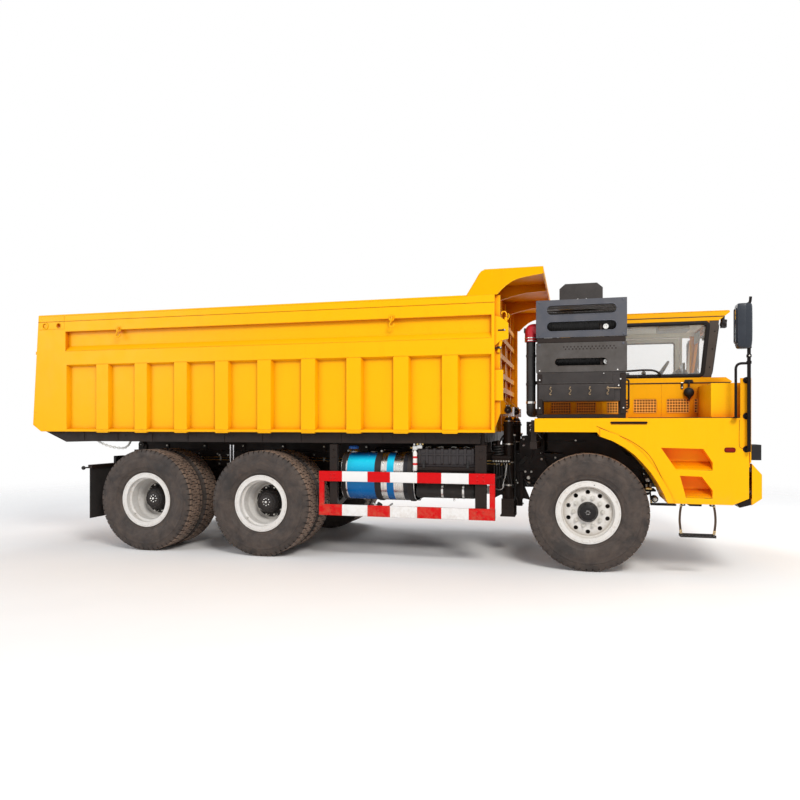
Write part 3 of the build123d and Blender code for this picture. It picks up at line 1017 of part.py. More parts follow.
CANOPY_X0 = HEAD_X - 201.0
CANOPY_X1 = HEAD_X + 687.0
CANOPY_Z1 = SIDE_TOP_Z + 304.0
CANOPY_T = 14.0
LIP_Z = CANOPY_Z1 - 79.0
HEAD_RIB_ZS = (FLOOR_Z0 + 397, FLOOR_Z0 + 581, FLOOR_Z0 + 772, SIDE_TOP_Z - 605, SIDE_TOP_Z - 345,
               SIDE_TOP_Z - 95)
HEAD_POST_YS = (-1500, -1100, -300, 300, 1100, 1500)
CANOPY_BEAM_YS = (-620, 620)
HEAD_EYE_Y0 = HOIST_Y - 75.0
HEAD_EYE_Y1 = HOIST_Y - 60.0
HEAD_EYE_Y2 = HOIST_Y + 60.0
HEAD_EYE_Y3 = HOIST_Y + 75.0
with BuildPart() as headboard:
    slab(HEAD_X, HEAD_X + HEAD_T, -SIDE_IN_Y, SIDE_IN_Y, FLOOR_Z0, CANOPY_Z1 - CANOPY_T)
    for rz in HEAD_RIB_ZS:
        slab(HEAD_X + HEAD_T, HEAD_X + 85, -SIDE_IN_Y, SIDE_IN_Y, rz - 35, rz + 35)
    for ry in HEAD_POST_YS:
        slab(HEAD_X + HEAD_T, HEAD_X + 70, ry - 40, ry + 40, FLOOR_Z0, LIP_Z)
    # canopy plate, front lip and gussets
    slab(HEAD_X + 9, CANOPY_X1, -SIDE_OUT_Y, SIDE_OUT_Y, CANOPY_Z1 - CANOPY_T, CANOPY_Z1)
    slab(CANOPY_X1 - 2, CANOPY_X1 + 10, -SIDE_OUT_Y, SIDE_OUT_Y, LIP_Z, CANOPY_Z1)
    gusset = [(CANOPY_X0, SIDE_TOP_Z), (CANOPY_X0 + 148, CANOPY_Z1 - 52), (CANOPY_X0 + 176, CANOPY_Z1 - 20),
              (HEAD_X + 9, CANOPY_Z1 - 5), (CANOPY_X1, CANOPY_Z1 - 5),
              (CANOPY_X1 + 8, LIP_Z), (CANOPY_X1 - 157, LIP_Z - 20), (HEAD_X + 373, CANOPY_Z1 - 132),
              (HEAD_X + 250, SIDE_TOP_Z + 95), (HEAD_X + 157, SIDE_TOP_Z)]
    for y0 in (-SIDE_OUT_Y, SIDE_OUT_Y - 20):
        profile_xz(gusset, y0, y0 + 20)
    # beams along the canopy's underside
    beam = [(HEAD_X + HEAD_T, SIDE_TOP_Z + 20), (HEAD_X + 90, SIDE_TOP_Z + 110), (HEAD_X + 250, LIP_Z - 70),
            (HEAD_X + 430, LIP_Z - 32), (CANOPY_X1, LIP_Z - 18), (CANOPY_X1, CANOPY_Z1 - 9),
            (HEAD_X + HEAD_T, CANOPY_Z1 - 9)]
    for gy in CANOPY_BEAM_YS:
        profile_xz(beam, gy - 30, gy + 30)
    # hoist brackets
    for s in (-1, 1):
        for a, b in ((HEAD_EYE_Y0, HEAD_EYE_Y1), (HEAD_EYE_Y2, HEAD_EYE_Y3)):
            y0, y1 = sorted((s * a, s * b))
            profile_xz([(HEAD_X + HEAD_T, HOIST_EYE_Z - 60), (HOIST_X, HOIST_EYE_Z - 50),
                        (HOIST_X + 50, HOIST_EYE_Z - 20), (HOIST_X + 50, HOIST_EYE_Z + 40),
                        (HOIST_X, HOIST_EYE_Z + 60), (HEAD_X + HEAD_T, HOIST_EYE_Z + 250)], y0, y1)
        y0, y1 = sorted((s * HEAD_EYE_Y0, s * HEAD_EYE_Y3))
        rod((HOIST_X, y0, HOIST_EYE_Z), (HOIST_X, y1, HOIST_EYE_Z), EYE_PIN_R)
save(headboard, "headboard")

GATE_SIDE_Y = SIDE_IN_Y - 8
GATE_T = 70.0
GATE_RIBS = 5
GATE_TOP_X = GATE_PIN_X + 33.0
GATE_TOP_Z = GATE_PIN_Z - 50.0
GATE_LOW_X = GATE_TOP_X - 100.0
GATE_LOW_Z = FLOOR_Z1 + 19.0
with BuildPart() as tailgate:
    # slanted panel hung from the pins
    profile_xz([(GATE_TOP_X, GATE_TOP_Z), (GATE_TOP_X - GATE_T, GATE_TOP_Z),
                (GATE_LOW_X - GATE_T, GATE_LOW_Z), (GATE_LOW_X, GATE_LOW_Z)], -GATE_SIDE_Y, GATE_SIDE_Y)
    for i in range(GATE_RIBS):
        rz = GATE_LOW_Z + 50 + (GATE_TOP_Z - GATE_LOW_Z - 100) * i / (GATE_RIBS - 1)
        x = GATE_TOP_X - GATE_T - (GATE_TOP_X - GATE_LOW_X) * (GATE_TOP_Z - rz) / (GATE_TOP_Z - GATE_LOW_Z)
        slab(x - 36, x + 4, -GATE_SIDE_Y, GATE_SIDE_Y, rz - 40, rz + 40)
    for y0, y1 in ((-GATE_SIDE_Y, -GATE_SIDE_Y + 60), (GATE_SIDE_Y - 60, GATE_SIDE_Y)):
        profile_xz([(GATE_PIN_X + 23, GATE_PIN_Z - 110), (GATE_PIN_X - 57, GATE_PIN_Z - 110),
                    (GATE_PIN_X - 42, GATE_PIN_Z + 20), (GATE_PIN_X, GATE_PIN_Z + 50),
                    (GATE_PIN_X + 41, GATE_PIN_Z + 20)], y0, y1)
    rod((GATE_PIN_X, -SIDE_OUT_Y + 4, GATE_PIN_Z), (GATE_PIN_X, -GATE_SIDE_Y + 30, GATE_PIN_Z), GATE_PIN_R)
    rod((GATE_PIN_X, GATE_SIDE_Y - 30, GATE_PIN_Z), (GATE_PIN_X, SIDE_OUT_Y - 4, GATE_PIN_Z), GATE_PIN_R)
save(tailgate, "tailgate")

# ---------------------------------------------------------------- hoist
# outer radius, inner radius, bottom z, top z
hoist_tubes = [("hoist_barrels", 66, 56.5, 572, 1750),
               ("hoist_stage_1", 56, 47.5, 610, 1775),
               ("hoist_stage_2", 47, 39.5, 622, 1790),
               ("hoist_stage_3", 39, 31.5, 634, 1805),
               ("hoist_stage_4", 31, 0, 646, 1822)]
SADDLE_FLOOR_Z = HOIST_EYE_Z - EYE_PIN_R - RUN_GAP
SADDLE_IN = 51.0
SADDLE_OUT = 70.0
SADDLE_Y = 30.0
SADDLE_H = 75.0
for name, r_out, r_in, z0, z1 in hoist_tubes:
    with BuildPart() as tube:
        for s in (-1, 1):
            hy = s * HOIST_Y
            if name == "hoist_barrels":
                rod((HOIST_X, hy, HOIST_BASE_Z), (HOIST_X, hy, z1), r_out)
                rod((HOIST_X, hy - 95, HOIST_BASE_Z), (HOIST_X, hy + 95, HOIST_BASE_Z), 72)
                rod((HOIST_X, hy, 735), (HOIST_X, hy, z1 + 1), r_in, Mode.SUBTRACT)
                rod((HOIST_X, hy - 120, HOIST_BASE_Z), (HOIST_X, hy + 120, HOIST_BASE_Z),
                    HOIST_PIN_R + PIN_GAP, Mode.SUBTRACT)
            else:
                rod((HOIST_X, hy, z0 + 130), (HOIST_X, hy, z1), r_out)
                if r_in:
                    rod((HOIST_X, hy, z0 + 140), (HOIST_X, hy, z1 + 1), r_in, Mode.SUBTRACT)
                else:
                    slab(HOIST_X - SADDLE_OUT, HOIST_X + SADDLE_OUT, hy - SADDLE_Y, hy + SADDLE_Y,
                         z1 - 2, SADDLE_FLOOR_Z + SADDLE_H)
                    slab(HOIST_X - SADDLE_IN, HOIST_X + SADDLE_IN, hy - SADDLE_Y - 1, hy + SADDLE_Y + 1,
                         SADDLE_FLOOR_Z, SADDLE_FLOOR_Z + SADDLE_H + 1, Mode.SUBTRACT)
    save(tube, name)
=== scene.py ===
"""Looks of the three-axle mining dump truck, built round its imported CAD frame.

Sizes are in millimetres.
"""

import math

import bpy
from mathutils import Matrix, Vector


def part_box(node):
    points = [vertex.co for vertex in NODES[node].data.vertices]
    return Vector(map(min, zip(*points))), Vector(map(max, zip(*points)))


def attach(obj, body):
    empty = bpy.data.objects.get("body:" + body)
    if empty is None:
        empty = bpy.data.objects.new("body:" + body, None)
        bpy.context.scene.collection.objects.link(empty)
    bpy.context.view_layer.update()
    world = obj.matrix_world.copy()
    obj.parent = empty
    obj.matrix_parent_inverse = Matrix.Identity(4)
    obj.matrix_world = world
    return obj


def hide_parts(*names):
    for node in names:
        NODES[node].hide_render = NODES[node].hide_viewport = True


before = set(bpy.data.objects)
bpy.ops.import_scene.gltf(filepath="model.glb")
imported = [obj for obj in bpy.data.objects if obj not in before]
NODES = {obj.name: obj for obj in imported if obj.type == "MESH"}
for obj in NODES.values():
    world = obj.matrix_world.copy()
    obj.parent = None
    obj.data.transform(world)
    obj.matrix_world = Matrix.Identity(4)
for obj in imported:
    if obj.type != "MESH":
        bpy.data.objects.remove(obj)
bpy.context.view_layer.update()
SCENE = bpy.context.scene
TAU = 2 * math.pi

# ------------------------------------------------------------------ sizes shared with the CAD
FRONT_X, MID_X, REAR_X = 2900.0, -1200.0, -2900.0
AXLE_Z = 685.0
HOIST_X, HOIST_Y = 1900, 620
RESERVOIR_Z = 883.5
FRONT_TYRE_Y, OUTER_Y, INNER_Y = 1370.0, 1470.0, 1040.0
SIDES = (("right", -1), ("left", 1))


def span(node):
    """Low and high corners of a CAD node in millimetres."""
    lo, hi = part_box(node)
    return lo * 1000, hi * 1000


# ------------------------------------------------------------------ material nodes
class Paint:
    """A Principled material with a few node helpers; textures run in the row frame, in metres."""

    def __init__(self, name, rough=0.5, metal=0.0, coat=0.0, spec=0.5):
        self.mat = bpy.data.materials.new(name)
        self.mat.use_nodes = True
        self.tree = self.mat.node_tree
        self.bsdf = self.tree.nodes["Principled BSDF"]
        self.bsdf.inputs["Roughness"].default_value = rough
        self.bsdf.inputs["Metallic"].default_value = metal
        self.bsdf.inputs["Coat Weight"].default_value = coat
        self.bsdf.inputs["Specular IOR Level"].default_value = spec
        self.coords = self.node("ShaderNodeTexCoord").outputs["Object"]

    def node(self, kind, **props):
        made = self.tree.nodes.new(kind)
        for key, value in props.items():
            setattr(made, key, value)
        return made

    def link(self, out, socket):
        self.tree.links.new(out, socket)

    def put(self, value, socket):
        if isinstance(value, (int, float)):
            socket.default_value = value
        elif isinstance(value, (tuple, list)):
            socket.default_value = (*value, 1.0) if len(value) == 3 else value
        else:
            self.link(value, socket)

    def scaled(self, x, y, z):
        """Coordinates stretched per axis."""
        made = self.node("ShaderNodeMapping")
        self.link(self.coords, made.inputs["Vector"])
        made.inputs["Scale"].default_value = (x, y, z)
        return made.outputs["Vector"]

    def noise(self, scale, detail=4.0, rough=0.55, vector=None, warp=0.0):
        made = self.node("ShaderNodeTexNoise")
        self.link(vector or self.coords, made.inputs["Vector"])
        made.inputs["Scale"].default_value = scale
        made.inputs["Detail"].default_value = detail
        made.inputs["Roughness"].default_value = rough
        made.inputs["Distortion"].default_value = warp
        return made.outputs["Fac"]

    def cells(self, scale, feature="F1", vector=None, out="Distance"):
        made = self.node("ShaderNodeTexVoronoi", feature=feature)
        self.link(vector or self.coords, made.inputs["Vector"])
        made.inputs["Scale"].default_value = scale
        return made.outputs[out]

    def ramp(self, fac, *stops, mode="LINEAR"):
        """Maps a factor through (position, grey or colour) stops."""
        made = self.node("ShaderNodeValToRGB")
        made.color_ramp.interpolation = mode
        rows = made.color_ramp.elements
        while len(rows) < len(stops):
            rows.new(0.5)
        for row, (at, value) in zip(rows, stops):
            row.position = at
            row.color = (value, value, value, 1) if isinstance(value, (int, float)) else (*value, 1)
        self.link(fac, made.inputs["Fac"])
        return made.outputs["Color"]

    def mix(self, fac, a, b, blend="MIX"):
        made = self.node("ShaderNodeMix", data_type="RGBA", blend_type=blend)
        self.put(fac, made.inputs["Factor"])
        self.put(a, made.inputs[6])
        self.put(b, made.inputs[7])
        return made.outputs[2]

    def math(self, op, a, b=0.0):
        made = self.node("ShaderNodeMath", operation=op)
        self.put(a, made.inputs[0])
        self.put(b, made.inputs[1])
        return made.outputs[0]

    def axis(self, which):
        """One coordinate, in metres."""
        made = self.node("ShaderNodeSeparateXYZ")
        self.link(self.coords, made.inputs[0])
        return made.outputs[which]

    def band(self, value, lo, hi, soft=0.002):
        """1 between lo and hi and 0 outside, with soft ends."""
        up = self.node("ShaderNodeMapRange")
        down = self.node("ShaderNodeMapRange")
        for made, a, b in ((up, lo, lo + soft), (down, hi, hi - soft)):
            self.link(value, made.inputs["Value"])
            made.inputs["From Min"].default_value = a
            made.inputs["From Max"].default_value = b
        return self.math("MULTIPLY", up.outputs[0], down.outputs[0])

    def painted_shade_mask(self, distance):
        """Occlusion mask for painted shade: 1 in the open and towards 0 in corners and recesses."""
        made = self.node("ShaderNodeAmbientOcclusion", samples=6)
        made.inputs["Distance"].default_value = distance
        return made.outputs["AO"]

    def facing_up(self):
        made = self.node("ShaderNodeNewGeometry")
        split = self.node("ShaderNodeSeparateXYZ")
        self.link(made.outputs["Normal"], split.inputs[0])
        return split.outputs[2]

    def edges(self, radius):
        """Mask of outer edges and corners, from the rounded normal."""
        bevel = self.node("ShaderNodeBevel", samples=3)
        bevel.inputs["Radius"].default_value = radius
        geo = self.node("ShaderNodeNewGeometry")
        dot = self.node("ShaderNodeVectorMath", operation="DOT_PRODUCT")
        self.link(bevel.outputs[0], dot.inputs[0])
        self.link(geo.outputs["Normal"], dot.inputs[1])
        return self.ramp(dot.outputs["Value"], (0.86, 1.0), (0.99, 0.0))

    def finish(self, colour=None, rough=None, height=None, depth=0.001, round_edges=0.0):
        if colour is not None:
            self.put(colour, self.bsdf.inputs["Base Color"])
        if rough is not None:
            self.put(rough, self.bsdf.inputs["Roughness"])
        normal = None
        if round_edges:
            bevel = self.node("ShaderNodeBevel", samples=3)
            bevel.inputs["Radius"].default_value = round_edges
            normal = bevel.outputs[0]
        if height is not None:
            bump = self.node("ShaderNodeBump")
            bump.inputs["Strength"].default_value = 1.0
            bump.inputs["Distance"].default_value = depth
            self.link(height, bump.inputs["Height"])
            if normal:
                self.link(normal, bump.inputs["Normal"])
            normal = bump.outputs[0]
        if normal:
            self.link(normal, self.bsdf.inputs["Normal"])
        return self.mat


def body_paint(name, colour, shade, wear=(0.30, 0.17, 0.07), gloss=0.34, inside=None, zone=None,
               coat=0.02, spec=0.12):
    """Sprayed enamel: painted shade towards the shade colour in corners and recesses, faint orange
    peel, dust low down and rubbed edges.
    """
    p = Paint(name, coat=coat, spec=spec)
    p.bsdf.inputs["Coat Roughness"].default_value = 0.18
    tone = p.ramp(p.noise(0.9, 3, 0.5), (0.3, 0.0), (0.7, 1.0))
    base = p.mix(p.math("MULTIPLY", tone, 0.35), colour, tuple(c * 0.88 for c in colour))
    # painted shade: corners and recesses found by the occlusion mask are mixed towards the shade
    # colour
    base = p.mix(p.ramp(p.painted_shade_mask(0.26), (0.25, 1.0), (0.86, 0.0)), base, shade)
    streak = p.ramp(p.noise(5.0, 6, 0.65, p.scaled(1.6, 1.6, 0.22)), (0.52, 0.0), (0.78, 0.22))
    base = p.mix(streak, base, tuple(c * 0.72 for c in colour))
    low = p.ramp(p.axis(2), (0.35, 0.5), (1.0, 0.0))
    dust = p.math("MULTIPLY", low, p.ramp(p.noise(14, 6, 0.7), (0.42, 0.0), (0.7, 1.0)))
    base = p.mix(dust, base, (0.36, 0.24, 0.13))
    chip = p.math("MULTIPLY", p.edges(0.006), p.ramp(p.noise(38, 5, 0.7), (0.52, 0.0), (0.6, 0.75)))
    base = p.mix(chip, base, wear)
    # a box-shaped zone takes the colour given as inside: for the cab it is painted light, a pale
    # cream standing in for the brightly lit interior; for the bumper its rear part turns near black
    if zone:
        room = 1.0
        for i, (lo, hi) in enumerate(zone):
            room = p.math("MULTIPLY", room, p.band(p.axis(i), lo, hi, 0.002))
        base = p.mix(room, base, inside)
    rough = p.ramp(p.noise(7, 5, 0.6), (0.3, gloss - 0.06), (0.7, gloss + 0.12))
    return p.finish(base, rough, p.noise(160, 2, 0.5), 0.0002, 0.005)


def dark_steel(name, colour, dust=(0.075, 0.045, 0.03), amount=0.45, gloss=0.42, spec=0.22,
               lower=None):
    """Chassis black: semi-gloss with settled dust, dull patches and a painted highlight along every
    edge.
    """
    p = Paint(name, spec=spec)
    if lower:
        colour = p.mix(p.band(p.axis(2), 0.5, 2.70, 0.01), colour, lower)
        base = p.mix(p.ramp(p.noise(6, 5, 0.6), (0.35, 0.0), (0.7, 0.35)), colour,
                     (0.13, 0.12, 0.12))
    else:
        base = p.mix(p.ramp(p.noise(6, 5, 0.6), (0.35, 0.0), (0.7, 0.6)), colour,
                     tuple(c * 1.9 for c in colour))
    up = p.ramp(p.facing_up(), (0.2, 0.15), (0.9, 1.0))
    cover = p.math("MULTIPLY", up, p.ramp(p.noise(11, 6, 0.68), (0.4, 0.0), (0.72, amount)))
    base = p.mix(cover, base, dust)
    # painted highlight: every edge is lifted towards a lighter colour, evenly and without noise
    base = p.mix(p.math("MULTIPLY", p.edges(0.005), 0.35), base,
                 (0.20, 0.19, 0.19) if lower else tuple(min(1, c * 4 + 0.02) for c in colour))
    rough = p.ramp(p.noise(9, 5, 0.6), (0.3, gloss - 0.08), (0.75, gloss + 0.22))
    return p.finish(base, rough, p.noise(90, 3, 0.6), 0.0004, 0.004)


def bare_metal(name, colour, rough=0.25, brushed=(4, 4, 90), dirt=0.25):
    """Polished or plated metal with fine drawn lines and a few dull marks."""
    p = Paint(name, metal=1.0)
    line = p.noise(18, 3, 0.6, p.scaled(*brushed))
    base = p.mix(p.ramp(line, (0.35, 0.0), (0.7, 0.35)), colour, tuple(c * 0.75 for c in colour))
    base = p.mix(p.ramp(p.noise(9, 5, 0.7), (0.55, 0.0), (0.75, dirt)), base, (0.12, 0.09, 0.07))
    shine = p.ramp(p.noise(6, 5, 0.6), (0.3, rough * 0.8), (0.75, rough + 0.2))
    return p.finish(base, shine, line, 0.00015, 0.002)


def moulded(name, colour, rough=0.5, grain=420, depth=0.0002, mottle=0.5, spec=0.4):
    """Moulded plastic or rubber with a fine grain."""
    p = Paint(name, spec=spec)
    base = p.mix(p.ramp(p.noise(5, 4, 0.6), (0.3, 0.0), (0.75, mottle)), colour,
                 tuple(c * 1.6 + 0.004 for c in colour))
    shine = p.ramp(p.noise(8, 4, 0.6), (0.3, rough - 0.07), (0.75, rough + 0.1))
    return p.finish(base, shine, p.cells(grain), depth, 0.003)


# each enamel's second colour is its painted shade, mixed into its corners and recesses
YELLOW = body_paint("yellow_enamel", (0.93, 0.452, 0.001), (0.60, 0.12, 0.001))
# painted light: inside the cab the shell is painted pale cream to stand in for the brightly lit
# interior
CAB_PAINT = body_paint("cab_enamel", (0.93, 0.452, 0.001), (0.60, 0.12, 0.001),
                       inside=(0.86, 0.84, 0.72),
                       zone=((2.565, 4.445), (-0.022, 1.472), (1.81, 3.165)))
BUMPER_PAINT = body_paint("bumper_enamel", (0.93, 0.452, 0.001), (0.60, 0.12, 0.001),
                          inside=(0.012, 0.008, 0.006),
                          zone=((4.30, 4.612), (-2, 2), (0.6, 1.4)))
# the fender's painted shade is a bright orange, so its step recesses read bright orange
FENDER_PAINT = body_paint("fender_enamel", (0.93, 0.452, 0.001), (1.0, 0.24, 0.002))
# painted shade: the headboard takes a darker, more orange copy of the yellow enamel, with a deeper
# shade colour
HEAD_PAINT_SHADED = body_paint("headboard_enamel_shaded", (0.90, 0.40, 0.001), (0.55, 0.12, 0.001), coat=0.0,
                        spec=0.05)
YELLOW_IN = body_paint("yellow_enamel_inside", (0.86, 0.36, 0.004), (0.46, 0.09, 0.002), gloss=0.42)
BLACK = dark_steel("chassis_black", (0.0105, 0.0060, 0.0045))
BLACK_SOFT = dark_steel("box_black", (0.017, 0.014, 0.013), gloss=0.5, amount=0.35, spec=0.3)
RACK_TOP = dark_steel("rack_blue_grey", (0.060, 0.064, 0.080), (0.16, 0.14, 0.13), 0.3, 0.38, 0.3)
RACK_SHEETS = dark_steel("rack_sheets", (0.060, 0.064, 0.080), (0.16, 0.14, 0.13), 0.3, 0.38, 0.3,
                         (0.050, 0.043, 0.038))
RACK_MID = dark_steel("rack_brown_grey", (0.046, 0.038, 0.033), (0.15, 0.12, 0.10), 0.35, 0.38, 0.3)
RACK_LOW = dark_steel("rack_dark_grey", (0.024, 0.020, 0.019), (0.12, 0.09, 0.07), 0.4, 0.36, 0.3)
IRON = dark_steel("cast_iron", (0.05, 0.05, 0.052), amount=0.6, gloss=0.6)
RED_PAINT = body_paint("guard_red", (0.60, 0.004, 0.006), (0.28, 0.002, 0.003),
                       wear=(0.25, 0.2, 0.18), gloss=0.3)
WHITE_PAINT = body_paint("guard_white", (0.80, 0.79, 0.78), (0.42, 0.38, 0.35),
                         wear=(0.3, 0.2, 0.15), gloss=0.3)
STEEL = bare_metal("polished_steel", (0.72, 0.71, 0.69), 0.22)
ZINC = bare_metal("zinc_plate", (0.62, 0.60, 0.55), 0.38, (30, 30, 30), 0.5)
CHROME = bare_metal("ground_chrome", (0.80, 0.80, 0.82), 0.12, (60, 60, 3), 0.08)
PLASTIC = moulded("black_plastic", (0.014, 0.013, 0.014), 0.48, spec=0.18)
TRIM = moulded("cab_trim", (0.42, 0.41, 0.39), 0.6, 300, 0.0003, 0.2)
DASH = moulded("dash_plastic", (0.045, 0.046, 0.05), 0.55, 380, 0.0003)
BLACK_POST = moulded("post_black", (0.007, 0.005, 0.005), 0.4, 400, 0.0002, 0.1, 0.10)
RUBBER_SEAL = moulded("window_rubber", (0.010, 0.008, 0.008), 0.5, 400, 0.0002, 0.3, 0.12)
# pale cream trim, partly its own colour and partly painted light: made bright to stand in for the
# light-filled cab
TRIM_PALE = moulded("cab_trim_pale", (0.90, 0.88, 0.74), 0.6, 260, 0.0003, 0.1)
MIRROR_CASE = moulded("mirror_case", (0.020, 0.024, 0.032), 0.36, spec=0.25)
FLAP = moulded("flap_rubber", (0.016, 0.014, 0.013), 0.7, 240, 0.0006)
RED_RUBBER = moulded("red_silicone", (0.42, 0.008, 0.018), 0.38, 300, 0.0003, 0.15)
HOSE = moulded("hose_rubber", (0.014, 0.013, 0.013), 0.55, 500, 0.0002)


def tyre_rubber(name, colour, dust, level):
    """Tyre compound with dry road dust in patches and fine mould texture."""
    p = Paint(name, spec=0.35)
    base = p.mix(p.ramp(p.noise(9, 5, 0.65), (0.3, 0.0), (0.7, 1.0)), colour,
                 tuple(c * 1.5 for c in colour))
    patch = p.ramp(p.noise(4.5, 7, 0.72, warp=0.6), (0.5 - level * 0.2, 0.0),
                   (0.85 - level * 0.25, level))
    base = p.mix(patch, base, dust)
    shine = p.ramp(p.noise(12, 5, 0.6), (0.3, 0.52), (0.75, 0.82))
    return p.finish(base, shine, p.noise(260, 3, 0.6), 0.0005)


RUBBER = tyre_rubber("tyre_sidewall", (0.026, 0.021, 0.019), (0.115, 0.082, 0.064), 0.62)
TREAD = tyre_rubber("tyre_tread_top", (0.085, 0.062, 0.05), (0.30, 0.205, 0.15), 0.9)


def rim_enamel(name, centre_x):
    """Cream rim enamel with painted brown shade in its recesses; the hub inside the nut circle is
    black.
    """
    p = Paint(name, spec=0.25)
    dx = p.math("SUBTRACT", p.axis(0), centre_x)
    dz = p.math("SUBTRACT", p.axis(2), AXLE_Z / 1000)
    away = p.math("SQRT", p.math("ADD", p.math("MULTIPLY", dx, dx), p.math("MULTIPLY", dz, dz)))
    hub = p.ramp(away, (0.0, 1.0), (0.1175, 1.0), (0.1195, 0.0)) if centre_x > 0 else p.ramp(
        away, (0.0, 1.0), (0.2165, 1.0), (0.2185, 0.0))
    base = p.mix(p.ramp(p.noise(8, 5, 0.6), (0.35, 0.0), (0.75, 0.5)), (0.70, 0.68, 0.655),
                 (0.58, 0.55, 0.50))
    # painted shade: occluded parts of the rim turn brown
    base = p.mix(p.ramp(p.painted_shade_mask(0.10), (0.2, 0.85), (0.8, 0.0)), base, (0.33, 0.27, 0.20))
    base = p.mix(p.ramp(p.noise(26, 6, 0.75), (0.55, 0.0), (0.72, 0.5)), base, (0.36, 0.27, 0.19))
    base = p.mix(hub, base, (0.010, 0.008, 0.008))
    shine = p.ramp(p.noise(10, 4, 0.6), (0.3, 0.3), (0.75, 0.5))
    return p.finish(base, shine, p.noise(120, 3, 0.5), 0.0002, 0.003)


RIM_FRONT = rim_enamel("rim_enamel_front", FRONT_X / 1000)
RIM_MID = rim_enamel("rim_enamel_mid", MID_X / 1000)
RIM_REAR = rim_enamel("rim_enamel_rear", REAR_X / 1000)


def tank_skin():
    """Aluminium fuel tank: two blue film panels between polished bands, the blue with painted light
    from dark low down to bright near the top.
    """
    p = Paint("tank_skin", metal=1.0, spec=0.25)
    x = p.axis(0)
    film = p.math("MAXIMUM", p.band(x, -0.075, 0.296), p.band(x, 0.452, 0.544))
    line = p.noise(14, 3, 0.6, p.scaled(2, 30, 30))
    base = p.mix(p.ramp(line, (0.35, 0.0), (0.7, 0.4)), (0.74, 0.72, 0.69), (0.5, 0.46, 0.42))
    # painted light: the film's blue runs from dark navy at the bottom to bright cyan high up and
    # darkens again at the top edge, painted shading and reflection of the rounded tank
    blue = p.ramp(p.math("DIVIDE", p.math("SUBTRACT", p.axis(2), 0.743), 0.605),
                  (0.0, (0.0005, 0.080, 0.30)),
                  (0.32, (0.0005, 0.20, 0.56)), (0.62, (0.004, 0.42, 0.70)),
                  (0.84, (0.012, 0.60, 0.83)),
                  (0.96, (0.002, 0.12, 0.36)))
    base = p.mix(film, base, blue)
    base = p.mix(p.band(x, 0.665, 0.83), base, (0.02, 0.02, 0.024))
    p.put(p.math("SUBTRACT", 1.0, p.math("MAXIMUM", film, p.band(x, 0.665, 0.83))),
          p.bsdf.inputs["Metallic"])
    return p.finish(base, p.ramp(p.noise(7, 5, 0.6), (0.3, 0.16), (0.75, 0.34)), line, 0.0003,
                    0.006)


def glass(name, tint, alpha):
    p = Paint(name, rough=0.03, spec=0.6)
    base = p.mix(p.ramp(p.noise(3, 3, 0.5), (0.3, 0.0), (0.7, 1.0)), tint,
                 tuple(c * 0.86 for c in tint))
    p.bsdf.inputs["Alpha"].default_value = alpha
    return p.finish(base, p.ramp(p.noise(5, 5, 0.7), (0.4, 0.02), (0.8, 0.10)))


def lens(name, colour):
    """Lamp glass with a fine cell pattern."""
    p = Paint(name, rough=0.08, spec=0.6, coat=0.3)
    base = p.mix(p.ramp(p.cells(90), (0.1, 0.0), (0.6, 1.0)), colour,
                 tuple(c * 0.55 for c in colour))
    return p.finish(base, None, p.cells(90), 0.0008)


def cloth(name, colour):
    """Woven seat cloth: two thread directions, soft sheen."""
    p = Paint(name, rough=0.85, spec=0.2)
    p.bsdf.inputs["Sheen Weight"].default_value = 0.35
    p.bsdf.inputs["Sheen Roughness"].default_value = 0.5
    waves = []
    for direction in ("X", "Y", "Z"):
        made = p.node("ShaderNodeTexWave", wave_type="BANDS", bands_direction=direction)
        p.link(p.coords, made.inputs["Vector"])
        made.inputs["Scale"].default_value = 190
        made.inputs["Distortion"].default_value = 0.6
        waves.append(made.outputs["Fac"])
    weave = p.math("MAXIMUM", p.math("MULTIPLY", waves[0], waves[1]), waves[2])
    base = p.mix(weave, tuple(c * 0.6 for c in colour), tuple(c * 1.5 for c in colour))
    base = p.mix(p.ramp(p.noise(12, 5, 0.6), (0.4, 0.0), (0.8, 0.4)), base,
                 tuple(c * 0.5 for c in colour))
    return p.finish(base, None, weave, 0.0006)


TANK = tank_skin()
WINDOW = glass("window_glass", (0.90, 0.94, 0.94), 0.10)
LAMP_GLASS = lens("lamp_clear", (0.75, 0.76, 0.78))
LAMP_RED = lens("lamp_red", (0.60, 0.01, 0.01))
LAMP_AMBER = lens("lamp_amber", (0.85, 0.24, 0.01))
SEAT_CLOTH = cloth("seat_cloth", (0.05, 0.052, 0.06))

